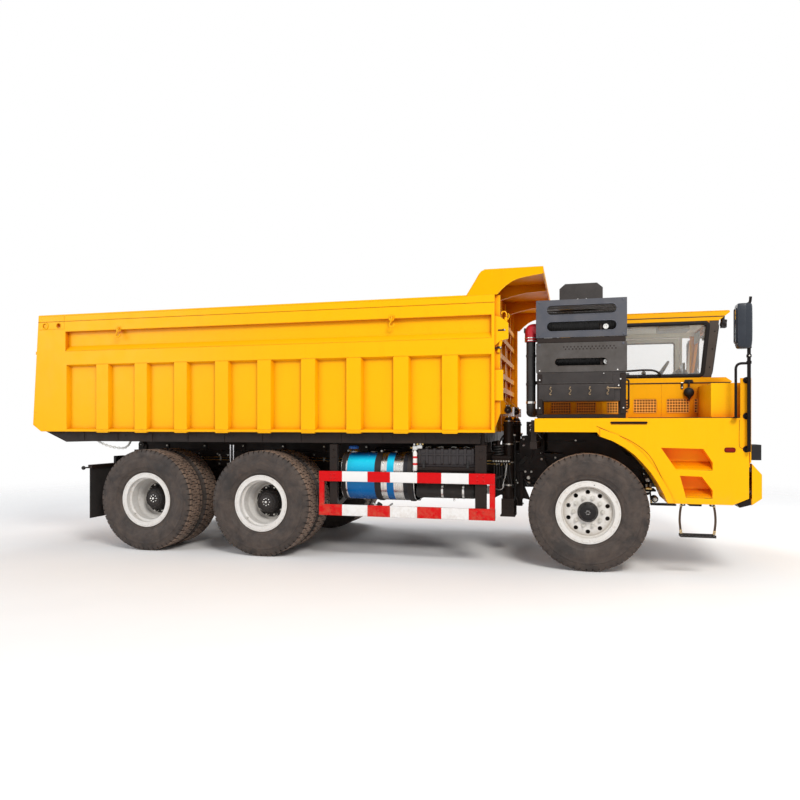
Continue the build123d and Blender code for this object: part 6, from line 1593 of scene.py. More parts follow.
def under_gear():
    """Exhaust, silencer, gearbox ribs, prop-shaft joints and torque rods under the middle."""
    s = Shape()
    s.lathe([(0, 60), (10, 130), (24, 150), (760, 150), (774, 130), (784, 60)], (900, 250, 1010),
            (1, 0, 0), 0, 40)
    for x in (1040, 1520):
        s.lathe([(0, 151), (0, 156), (40, 156), (40, 151)], (x, 250, 1010), (1, 0, 0), 1, 40)
    s.tube(bent_path([(1684, 250, 1010), (1900, 250, 1010), (2100, 300, 1080), (2560, 300, 1300)],
                     90), 58, 2, 20)
    s.tube(bent_path([(900, 250, 1010), (760, 250, 1010), (600, 250, 900), (520, 250, 800)], 90),
           52, 2, 20)
    # gearbox casing ribs and flange
    for k in range(6):
        x = 1990 + 90 * k
        s.plate(rounded([(-206, 846), (206, 846), (206, 1256), (-206, 1256)], 60, 5), "x", x,
                x + 14, 3, 2)
    s.lathe([(0, 130), (24, 130), (24, 0)], (1948, 0, 1010), (-1, 0, 0), 3, 30)
    for k in range(8):
        s.bolt((1926, 104 * math.cos(TAU * k / 8), 1010 + 104 * math.sin(TAU * k / 8)), (-1, 0, 0),
               12, 1)
    # universal joints and the ribbed housings of the drive axles
    for x, z in ((1830, 1002), (-1060, 775), (-1360, 765), (-2760, 765)):
        s.lathe([(0, 52), (6, 74), (30, 74), (44, 58), (100, 58), (114, 74), (138, 74), (144, 52)],
                (x - 72, 0, z), (1, 0, 0), 3, 24)
        s.rod((x, -86, z), (x, 86, z), 26, 1, 20)
    for ax in (MID_X, REAR_X):
        s.lathe([(0, 0), (0, 120), (14, 150), (30, 226), (36, 232), (54, 232), (60, 226)],
                (ax - 190, 0, AXLE_Z), (1, 0, 0), 3, 44)
        for k in range(16):
            s.bolt((ax + 132, 205 * math.cos(TAU * k / 16), AXLE_Z + 205 * math.sin(TAU * k / 16)),
                   (1, 0, 0), 13, 1)
        for side in (-1, 1):
            for y in (240, 480, 760):
                s.ring((ax, side * y, AXLE_Z), (0, 1, 0), 106, 8, 3, 40, 8)
            # brake chamber with its clamp ring, pushrod and hoses
            base = (ax + 210, side * 700, 850)
            s.lathe([(0, 0), (0, 58), (10, 74), (70, 80), (76, 88), (92, 88), (98, 80), (160, 74),
                     (176, 50), (176, 0)],
                    base, (0, -side, 0.25), 3, 32)
            s.rod(base, (ax + 150, side * 830, 800), 12, 1, 12)
            s.tube(smooth_path([(ax + 210, side * 560, 900), (ax + 200, side * 520, 980),
                                (ax + 120, side * 500, 1100),
                                (ax + 60, side * 490, 1190)]), 10, 4, 10)
            # upper torque rod
            s.rod((ax, side * 260, 890), (-2050, side * 340, 1040), 27, 0, 20)
            s.lathe([(-34, 50), (34, 50), (34, 0)], (ax, side * 260, 890), (0, 1, 0), 3, 28)
            # axle seat plates
            for dx in (-62, 62):
                for dy in (-42, 42):
                    s.stud((ax + dx, side * 590 + dy, 815), (0, 0, 1), 15, 1)
    for side in (-1, 1):
        for ux in (-90, 90):
            for uy in (-69, 69):
                s.stud((-2050 + ux, side * 590 + uy, 1098), (0, 0, 1), 20, 1, 2.4)
                s.stud((-2050 + ux, side * 590 + uy, 706), (0, 0, -1), 20, 1, 2.0)
        for k in range(4):
            s.lathe([(0, 96), (10, 96), (14, 90), (14, 0)], (-2050, side * (648 + 3 * k), 620),
                    (0, side, 0), 3, 32)
            break
        for dx in (-420, 420):
            s.block(-2050 + dx - 26, -2050 + dx + 26, *sorted((side * 534, side * 646)), 925, 1052,
                    0, 4)
            s.bolt((-2050 + dx, side * 646, 990), (0, side, 0), 14, 1)
        for k, x in enumerate((-2010, -1960)):
            s.rod((x - 115, side * 700, 952), (x - 115, side * 700, 1415), 13, 5, 16)
    return s


under_gear().make("underbody_fittings", [BLACK, ZINC, IRON, IRON, HOSE, CHROME], slot="black_steel")


def front_springs():
    """U-bolts, clips, shackles, dampers and brass lines round the front axle."""
    s = Shape()
    for side in (-1, 1):
        y = side * 435
        for ux in (-90, 90):
            for uy in (-48, 48):
                s.stud((2900 + ux, y + uy, 822), (0, 0, 1), 15, 1, 2.0)
        for dx in (-420, 420):
            s.block(2900 + dx - 20, 2900 + dx + 20, y - 44, y + 44, 838, 926, 0, 4)
            s.bolt((2900 + dx, y + side * 44, 880), (0, side, 0), 10, 1)
        for x in (2150, 3650):
            for z in (922, 1000):
                s.lathe([(0, 26), (8, 26), (12, 20), (12, 0)], (x, y + side * 52, z), (0, side, 0),
                        1, 18)
            s.block(x - 62, x + 62, *sorted((side * 478, side * 492)), 985, 1180, 0, 5)
            for dx in (-40, 40):
                for z in (1080, 1150):
                    s.bolt((x + dx, side * 492, z), (0, side, 0), 13, 1)
        # shackle plates and brake parts seen ahead of the wheel
        s.block(3590, 3680, *sorted((side * 505, side * 525)), 840, 960, 0, 8)
        s.lathe([(0, 34), (10, 34), (14, 26), (14, 0)], (3643, side * 525, 876), (0, side, 0), 1,
                24)
        s.lathe([(0, 30), (10, 30), (14, 22), (14, 0)], (3735, side * 525, 760), (0, side, 0), 1,
                24)
        s.rod((3735, side * 420, 760), (3735, side * 528, 760), 44, 0, 24)
        s.rod((3600, side * 800, 921), (3672, side * 800, 921), 17, 3, 6)
        s.rod((3610, side * 800, 921), (3610, side * 800, 970), 11, 4, 6)
        s.rod((3655, side * 800, 921), (3655, side * 800, 985), 11, 1, 6)
        s.block(3560, 3720, *sorted((side * 560, side * 806)), 880, 906, 0, 4)
        s.tube(smooth_path([(3655, side * 800, 985), (3640, side * 790, 1050),
                            (3560, side * 700, 1120),
                            (3400, side * 520, 1150)]), 8, 2, 8)
        # damper from the rail down to the axle
        s.rod((3060, side * 560, 1240), (2985, side * 560, 1000), 42, 0, 26)
        s.rod((2985, side * 560, 1000), (2950, side * 560, 790), 20, 5, 20)
        s.block(3020, 3100, *sorted((side * 478, side * 590)), 1225, 1250, 0, 4)
    return s


front_springs().make("front_suspension_fittings", [BLACK, ZINC, HOSE, BRASS, WHITE_PAINT, CHROME],
                     slot="black_steel")


def hoist_rings():
    """Gland nuts and wipers of the telescopic hoists; one piece for each stage."""
    rows = (("hoist_barrels", 66, 56.5, 1750), ("hoist_stage_1", 56, 47.5, 1775),
            ("hoist_stage_2", 47, 39.5, 1790),
            ("hoist_stage_3", 39, 31.5, 1805))
    for name, r_out, r_in, top in rows:
        s = Shape()
        for y in (-HOIST_Y, HOIST_Y):
            s.lathe([(-16, r_out), (-14, r_out + 2.4), (-3, r_out + 2.4), (0, r_out + 1),
                     (0, r_in + 0.2), (-3, r_in + 0.1)],
                    (HOIST_X, y, top + 0.5), (0, 0, 1), 0, 48)
            if name == "hoist_barrels":
                s.lathe([(0, 66), (3, 76), (30, 76), (34, 66)], (HOIST_X, y, 1690), (0, 0, 1), 0,
                        48)
                s.lathe([(0, 66), (3, 74), (20, 74), (24, 66)], (HOIST_X, y, 740), (0, 0, 1), 0, 48)
                s.tube([(1968, y, 700), (1984, y, 760), (1984, y, 1500), (1972, y, 1560),
                        (1960, y, 1570)], 10, 2, 12)
                s.rod((1955, y, 1570), (1992, y, 1570), 15, 1, 6)
                for z in (900, 1200, 1440):
                    s.lathe([(0, 66.5), (0, 69), (22, 69), (22, 66.5)], (HOIST_X, y, z), (0, 0, 1),
                            1, 40)
                for k in (-1, 1):
                    s.lathe([(0, 58), (12, 58), (16, 50), (16, 0)], (HOIST_X, y + k * 95, 650),
                            (0, k, 0), 0, 30)
                s.tube(smooth_path([(1984, y, 760), (2010, y, 700), (1990, y * 0.9, 640),
                                    (HOIST_X, y * 0.85, 600),
                                    (1800, y * 0.8, 640)]), 12, 2, 10)
        s.make(f"{name}_gland", [BLACK, ZINC, HOSE], name, "black_steel")


hoist_rings()
# ------------------------------------------------------------------ filter rack
RACK_FACE = -1550


HOOK_STEEL = bare_metal("hook_steel", (0.30, 0.22, 0.14), 0.45, (30, 30, 30), 0.35)


def rack_front():
    """Front sheets, bolts, punched holes, hooks and bars of the filter rack."""
    s = Shape()
    y = RACK_FACE
    s.block(2324, 3316, y + 2, y + 30, 2664, 2723, 0)
    s.block(2322, 3318, y + 8, y + 60, 1784, 1828, 0, 5)
    for x0 in (2320, 3256):
        s.block(x0, x0 + 64, y + 4, y + 60, 1828, 2300, 0, 5)
    # two staggered rows of square holes in the middle guard, drawn as black squares on its face:
    # painted shade in place of openings
    for row, z in enumerate((2612, 2586)):
        for k in range(15):
            x = 2620 + 40 * k + 20 * row
            s.plate([(x, z - 8), (x + 15, z - 8), (x + 15, z + 8), (x, z + 8)], "y", y - 1.2, y + 4,
                    0, 0.4)
    # rolled rims round the long slots
    for z0, z1, x0, x1 in ((2987, 3103, 2430, 3220), (2795, 2911, 2430, 3220),
                           (2389, 2482, 2522, 3116)):
        r, zc = (z1 - z0) / 2, (z0 + z1) / 2
        rim = [(x1 - r + r * math.sin(math.pi * k / 12), y + 1,
                zc + r * math.cos(math.pi * k / 12)) for k in range(13)]
        rim += [(x0 + r - r * math.sin(math.pi * k / 12), y + 1,
                 zc - r * math.cos(math.pi * k / 12)) for k in range(13)]
        s.tube(rim, 5, 1 if z0 > 2700 else 2, 8, loop=True)
    # folded tray with hooks in the lower bay
    s.block(2340, 3176, y + 6, y + 14, 2180, 2320, 3, 3)
    s.plate([(y + 6, 2184), (y - 6, 2168), (y - 8, 2040), (y + 10, 1990), (y + 60, 1984),
             (y + 60, 2184)], "x", 2340, 3190,
            3, 3)
    s.block(3192, 3254, y + 18, y + 40, 1990, 2300, 0)
    s.tube([(2340, y + 2, 2190), (3180, y + 2, 2190)], 7, 3, 8)
    for x in (2480, 2700, 2922, 3120):
        s.tube(smooth_path([(x - 4, y - 8, 2136), (x - 10, y - 16, 2120), (x + 9, y - 20, 2106),
                            (x + 2, y - 20, 2086),
                            (x - 12, y - 18, 2068), (x - 5, y - 16, 2056), (x + 9, y - 14, 2062)]),
               5, 6, 8)
        s.bolt((x, y - 6, 2142), (0, -1, 0), 7, 6)
    s.rod((3120, y - 8, 2130), (3262, y - 8, 2126), 6, 6, 12)
    # bolt heads that show bright at the corners
    for x, z in ((3227, 2338), (3259, 2230), (3238, 2157), (2352, 2338), (2352, 2230), (2352, 1900),
                 (3290, 1900)):
        s.lathe([(0, 9), (5, 9), (8, 6), (8, 0)], (x, y, z), (0, -1, 0), 5, 14)
    for x, z in ((3290, 2750), (3290, 3140), (2350, 2750), (2350, 3140), (3290, 2640),
                 (2350, 2640)):
        s.lathe([(0, 12), (5, 12), (8, 8), (8, 0)], (x, y, z), (0, -1, 0), 1, 14)
    s.rod((3075, y + 4, 2298), (3075, y - 6, 2298), 6, 5, 10)
    # top plate bolts and its folded edge
    for x in (2786, 2884):
        s.lathe([(0, 9), (6, 9), (10, 6), (10, 0)], (x, -1352, 3196), (0, -1, 0), 5, 14)
    # side panels: folded edges, louvres and a grab handle
    for x, out in ((3330, 1), (2310, -1)):
        for k in range(6):
            s.plate([(-1480 + 48 * k, 2790), (-1456 + 48 * k, 2790), (-1456 + 48 * k, 3080),
                     (-1480 + 48 * k, 3080)], "x",
                    x, x + out * 5, 0, 1)
        for z in (2400, 2560):
            s.block(*sorted((x, x + out * 4)), -1500, -1240, z, z + 46, 2, 2)
    s.tube(bent_path([(3330, -1200, 1900), (3372, -1200, 1900), (3372, -1200, 2240),
                      (3330, -1200, 2240)], 30), 11, 0, 12)
    return s


rack_front().make("rack_fittings",
                  [BLACK, RACK_TOP, RACK_MID, RACK_LOW, BRASS, WHITE_PAINT, HOOK_STEEL],
                  slot="rack_grey")


def intake():
    """Ribbed filter drums, clamps, red elbow and bands of the intake pipe."""
    s = Shape()
    for z, r, count in ((2905, 145, 30), (2480, 120, 30)):
        for k in range(count):
            x = 2400 + (840 / count) * k
            s.lathe([(0, r), (3, r + 5), (11, r + 5), (14, r)], (x, -1330, z), (1, 0, 0), 0, 56)
        for x in (2386, 3236):
            s.lathe([(0, r), (0, r + 8), (18, r + 8), (18, r)], (x, -1330, z), (1, 0, 0), 1, 56)
        s.lathe([(0, 60), (14, 60), (20, 50), (20, 0)], (3266, -1330, z), (1, 0, 0), 0, 30)
    for x, z in ((3100, 2846), (3106, 2440)):
        s.lathe([(0, 30), (8, 34), (16, 30), (16, 14), (10, 10), (10, 0)], (x, -1478, z),
                (0, -1, 0), 1, 24)
        s.block(x - 70, x - 36, -1490, -1474, z - 40, z + 40, 3, 4)
    # red elbow with its clamps
    s.tube(bent_path([(2240, -1380, 2700), (2240, -1380, 2846), (2306, -1380, 2846)], 66, 12), 73,
           2, 32)
    for z in (2708, 2740):
        s.lathe([(0, 73), (0, 76), (12, 76), (12, 73)], (2240, -1380, z), (0, 0, 1), 1, 40)
    for z in (1960, 2180, 2520):
        s.lathe([(0, 55), (0, 60), (26, 60), (26, 55)], (2240, -1380, z), (0, 0, 1),
                0 if z > 2000 else 1, 40)
    s.block(2290, 2324, -1400, -1360, 2190, 2230, 3, 4)
    for k in range(6):
        s.lathe([(0, 55), (4, 61), (12, 61), (16, 55)], (2240, -1300 + 20 * k, 1860), (0, 1, 0), 0,
                36)
    s.lathe([(0, 55), (0, 59), (16, 59), (16, 55)], (2240, -1160, 1860), (0, 1, 0), 1, 36)
    s.lathe([(0, 55), (0, 59), (16, 59), (16, 55)], (2240, -800, 1860), (0, 1, 0), 1, 36)
    return s


intake().make("intake_fittings", [HOSE, STEEL, RED_RUBBER, BLACK], slot="dark_plastic")

# ------------------------------------------------------------------ hood
VENTS = ((2446, 2704), (2766, 3013), (3143, 3410), (3467, 3746), (3859, 4128), (4179, 4450))
# painted shade: the recessed vent mesh is a dark orange copy of the yellow paint
MESH_SHADED_PAINT = moulded("vent_mesh_shaded", (0.78, 0.34, 0.045), 0.5)


def punched(s, along, x0, x1, z0, z1, face, columns, rows, solid=0, dark=1):
    """Punched sheet in an opening: bars over a dark backing sheet, painted shade for the space
    behind the opening; along is the plane's normal axis.
    """
    wide, tall = (x1 - x0) / columns, (z1 - z0) / rows
    for k in range(columns + 1):
        c = x0 + wide * k
        s.plate([(c - wide * 0.20, z0), (c + wide * 0.20, z0), (c + wide * 0.20, z1),
                 (c - wide * 0.20, z1)], along,
                face, face + 3, solid, 0.5)
    for k in range(rows + 1):
        c = z0 + tall * k
        s.plate([(x0, c - tall * 0.20), (x1, c - tall * 0.20), (x1, c + tall * 0.20),
                 (x0, c + tall * 0.20)], along,
                face + 0.4, face + 3.4, solid, 0.5)
    # painted shade: a dark sheet behind the bars in place of the space behind the opening
    s.plate([(x0 + 2, z0 + 2), (x1 - 2, z0 + 2), (x1 - 2, z1 - 2), (x0 + 2, z1 - 2)], along,
            face + 16, face + 18, dark, 0.5)


def hood_dress():
    """Vent sheets, front screen, painted shadow lines, seams, latches and bumpers of the hood."""
    s = Shape()
    for x0, x1 in VENTS:
        punched(s, "y", x0 + 5, x1 - 5, 1856, 2027, -648, 8, 5)
        s.tube(rounded_loop(x0, x1, 1851, 2032, 30, -651), 3, 2, 6, loop=True)
    # honeycomb-like screen in the front opening and bars in the panel below
    for k in range(14):
        z = 1850 + 22.5 * k
        s.plate([(4592, z), (4604, z + 3), (4604, z + 9), (4592, z + 6)], "y", -588, -128, 2, 1)
    for k in range(9):
        y = -580 + 56 * k
        s.block(4590, 4598, y, y + 6, 1842, 2158, 2, 1)
    for k in range(12):
        z = 1392 + 29 * k
        s.plate([(4589, z), (4600, z + 5), (4600, z + 14), (4589, z + 9)], "y", -598, -112, 3, 1)
    for y in (-480, -355, -230):
        s.block(4586, 4594, y - 5, y + 5, 1382, 1738, 3, 1)
    s.block(2330, 2402, -654, -646, 1781, 2200, 2, 3)
    # painted shadow lines: a black line under the lid's edge and another along the hood's foot;
    # then side seams and rubber catches
    s.tube([(2402, -652, 2224), (4590, -652, 2224)], 8, 1, 8)
    s.tube([(2402, -651, 1766), (4586, -651, 1766)], 4, 3, 6)
    for x in (3080, 3800):
        s.tube([(x, -650.5, 1790), (x, -650.5, 2212)], 2, 2, 6)
    for x in (2620, 4040):
        s.block(x - 14, x + 14, -664, -650, 2150, 2226, 3, 5)
        s.rod((x - 18, -662, 2226), (x + 18, -662, 2226), 6, 4, 12)
        s.bolt((x, -664, 2166), (0, -1, 0), 9, 4)
    return s


def rounded_loop(x0, x1, z0, z1, radius, y):
    return [(p.x, y, p.y) for p in rounded([(x0, z0), (x1, z0), (x1, z1), (x0, z1)], radius, 5)]


HOOD_LOOKS = [MESH_SHADED_PAINT, BLACK, YELLOW, PLASTIC, ZINC]
hood_dress().make("hood_fittings", HOOD_LOOKS, slot="yellow_paint")


def lid_dress():
    """Stiffening press lines, grab handle, hinges and the mirror hanging from the lid's edge."""
    s = Shape()
    for y in (-500, -360, -220):
        s.plate(rounded([(2500, y - 30), (4400, y - 30), (4400, y + 30), (2500, y + 30)], 24, 5),
                "z", 2289, 2295, 0, 3)
    s.tube(bent_path([(3300, -620, 2288), (3300, -620, 2320), (3520, -620, 2320),
                      (3520, -620, 2288)], 18), 8, 1, 12)
    for x in (2700, 3500, 4250):
        s.block(x - 10, x + 130, -120, -74, 2288, 2295, 0, 2)
        for k in (10, 110):
            s.bolt((x + k, -100, 2295), (0, 0, 1), 8, 2)
    # round mirror on a short stalk
    s.plate([(4060, 2226), (4172, 2226), (4160, 2262), (4072, 2262)], "y", -668, -650, 1, 3)
    s.tube(smooth_path([(4116, -668, 2244), (4116, -686, 2220), (4116, -690, 2170)]), 9, 1, 10)
    s.lathe([(0, 0), (0, 18), (10, 40), (30, 58), (52, 62), (62, 58), (64, 54), (60, 0)],
            (4116, -730, 2105), (0, 1, 0), 1, 36)
    s.lathe([(0, 0), (0, 30), (34, 10), (60, 4), (60, 0)], (4116, -700, 2056), (0, 0, -1), 1, 20)
    return s


lid_dress().make("hood_lid_fittings", [YELLOW, PLASTIC, ZINC], "hood_lid", "yellow_paint")
# ------------------------------------------------------------------ cab
def frame_ring(s, points, axis, t0, t1, width, mat):
    """Flat rubber frame round a window outline, width wide on its inside."""
    pts = [Vector(p) for p in points]
    if area_of(pts) < 0:
        pts.reverse()
    small = inset(pts, width)
    soft = inset(pts, width * 0.25)
    spot = {"x": lambda p, t: (t, p[0], p[1]), "y": lambda p, t: (p[0], t, p[1])}[axis]
    far = t1 + (t1 - t0) * 0.35
    rows = [(pts, t0), (pts, t1), (soft, far), (inset(pts, width * 0.75), far), (small, t1),
            (small, t0)]
    n = len(pts)
    verts = [spot(p, t) for ring, t in rows for p in ring]
    faces = [[r % 6 * n + i, r % 6 * n + (i + 1) % n, (r + 1) % 6 * n + (i + 1) % n,
              (r + 1) % 6 * n + i]
             for r in range(6) for i in range(n)]
    if (axis == "y") == (t1 > t0):
        faces = [f[::-1] for f in faces]
    s.add(verts, faces, mat)


WIN_RIGHT = [(2690, 2326), (4398, 2326), (4474, 3072), (2690, 3072)]
DOOR_PANE = [(3455, 2348), (4255, 2348), (4255, 2989), (3455, 2989)]
QUARTER_REAR = [(2705, 2348), (3315, 2348), (3315, 3049), (2705, 3049)]
SILL_X, SCREEN_X = 4480.0, 4577.0


def screen_x(z):
    """X of the windscreen's outer plane at a height."""
    return SILL_X + (SCREEN_X - SILL_X) * (z - 2328) / 744


def cab_outside():
    """Window rubbers, pillars, gutter, wipers, rails and roof details."""
    s = Shape()
    frame_ring(s, rounded(WIN_RIGHT, 84, 8), "y", -40, -58, 52, 0)
    frame_ring(s, rounded(QUARTER_REAR, 70, 8), "y", 1490, 1506, 40, 0)
    frame_ring(s, rounded([(107, 2422), (1343, 2422), (1343, 3018), (107, 3018)], 76, 8), "x", 2560,
               2540, 42, 0)
    # dark front pillars on both sides
    for y0, y1 in ((-58, -49), (1499, 1507)):
        s.plate([(4376, 2332), (4484, 2332), (4578, 3068), (4462, 3068)], "y", y0, y1, 1, 2)
    for z in (2460, 2700, 2930):
        s.bolt((screen_x(z) - 34, -58, z), (0, -1, 0), 8, 0)
    # windscreen rubber, laid on the sloping front
    loop = rounded([(0, 2372), (1450, 2372), (1450, 3026), (0, 3026)], 74, 8)
    s.tube([(screen_x(p.y) + 4, p.x, p.y) for p in loop], 17, 0, 10, loop=True, flat=1.5)
    s.tube([(screen_x(p.y) + 9, p.x, p.y) for p in loop], 6, 2, 8, loop=True)
    # wipers parked low
    for y in (330, 1010):
        s.lathe([(0, 24), (16, 24), (22, 16), (40, 14), (40, 0)], (4484, y, 2352), (1, 0, -0.1), 2,
                20)
        s.tube([(4516, y, 2352), (4524, y + 130, 2430), (4532, y + 250, 2520)], 6, 2, 8)
        s.tube([(screen_x(2420) + 26, y + 60, 2420), (screen_x(2640) + 28, y + 420, 2640)], 7, 0, 8)
        s.tube([(screen_x(2420) + 20, y + 66, 2420), (screen_x(2640) + 22, y + 426, 2640)], 4, 3, 6)
    # rain gutter drawn as a dark painted shadow line under the roof edge, then the yellow roof edge
    # and roof seams
    for y in (-63, 1513):
        s.tube([(2540, y, 3124), (4640, y, 3124)], 5, 1, 8)
        s.tube([(2540, y + (5 if y < 0 else -5), 3194), (4690, y + (5 if y < 0 else -5), 3194)], 7,
               4, 10)
    for y in (330, 1120):
        s.plate(rounded([(2640, y - 110), (4480, y - 110), (4480, y + 110), (2640, y + 110)], 60,
                        6), "z", 3196, 3204, 4, 3)
    s.plate(rounded([(3120, 520), (3760, 520), (3760, 930), (3120, 930)], 70, 6), "z", 3196, 3226,
            4, 10)
    s.plate(rounded([(3160, 560), (3720, 560), (3720, 890), (3160, 890)], 60, 6), "z", 3224, 3232,
            4, 4)
    # sill rail and grab rail on the right side
    s.tube([(2552, -51, 2318), (4470, -51, 2318)], 4, 4, 8)
    s.tube(bent_path([(2960, -52, 2330), (2960, -104, 2400), (3640, -104, 2436), (3770, -104, 2430),
                      (3850, -90, 2386),
                      (3866, -52, 2330)], 40), 13, 2, 12)
    for x in (2960, 3866):
        s.rod((x, -50, 2330), (x, -60, 2330), 26, 2, 18)
    # rear wall: pressed ribs
    for k in range(5):
        s.plate(rounded([(40 + 290 * k, 1880), (200 + 290 * k, 1880), (200 + 290 * k, 2350),
                         (40 + 290 * k, 2350)], 30, 5),
                "x", 2550, 2543, 4, 3)
    # left side below the windows: access step plates and rocker seam
    s.tube([(2552, 1501, 2318), (3392, 1501, 2318)], 4, 4, 8)
    s.plate(rounded([(2700, 1880), (3300, 1880), (3300, 2250), (2700, 2250)], 50, 6), "y", 1500,
            1506, 4, 3)
    s.tube(bent_path([(3360, 1502, 1960), (3360, 1560, 1960), (3360, 1560, 2900),
                      (3360, 1502, 2900)], 40), 14, 2, 12)
    return s


PILLAR = moulded("pillar_dark", (0.050, 0.040, 0.034), 0.45, spec=0.15)
cab_outside().make("cab_fittings", [RUBBER_SEAL, PILLAR, PLASTIC, CHROME, YELLOW],
                   slot="dark_plastic")


def door_dress():
    """Rubber, seams, handle, hinges, inner trim and pocket of the cab door."""
    s = Shape()
    frame_ring(s, rounded(DOOR_PANE, 62, 8), "y", 1490, 1506, 36, 0)
    edge = rounded([(3403, 1865), (4297, 1865), (4297, 3031), (3403, 3031)], 26, 4)
    s.tube([(p.x, 1499, p.y) for p in edge], 5, 0, 6, loop=True)
    s.plate(rounded([(3480, 1920), (4220, 1920), (4220, 2180), (3480, 2180)], 60, 6), "y", 1499,
            1505, 1, 3)
    s.plate(rounded([(3440, 2222), (3620, 2222), (3620, 2284), (3440, 2284)], 24, 5), "y", 1499,
            1507, 2, 3)
    s.lathe([(0, 14), (6, 14), (8, 10), (8, 0)], (3466, 1506, 2252), (0, 1, 0), 3, 20)
    for z in (2050, 2700):
        for dz in (22, 68):
            s.bolt((4262, 1505, z + dz), (0, 1, 0), 8, 3)
    # inside: trim card, arm rest, pull and window crank
    s.plate(rounded([(3450, 1900), (4250, 1900), (4250, 2290), (3450, 2290)], 40, 5), "y", 1448,
            1458, 4, 3)
    s.plate(rounded([(3560, 2130), (4080, 2130), (4080, 2190), (3560, 2190)], 22, 5), "y", 1400,
            1450, 5, 8)
    s.plate(rounded([(3520, 1930), (4160, 1930), (4130, 2060), (3550, 2060)], 26, 5), "y", 1418,
            1450, 5, 6)
    s.lathe([(0, 20), (10, 18), (14, 0)], (4120, 1448, 2230), (0, -1, 0), 2, 18)
    s.rod((4120, 1438, 2230), (4060, 1432, 2236), 7, 2, 10)
    return s


door_dress().make("cab_door_fittings", [RUBBER_SEAL, YELLOW, PLASTIC, ZINC, TRIM_PALE, DASH],
                  "cab_door", "yellow_paint")


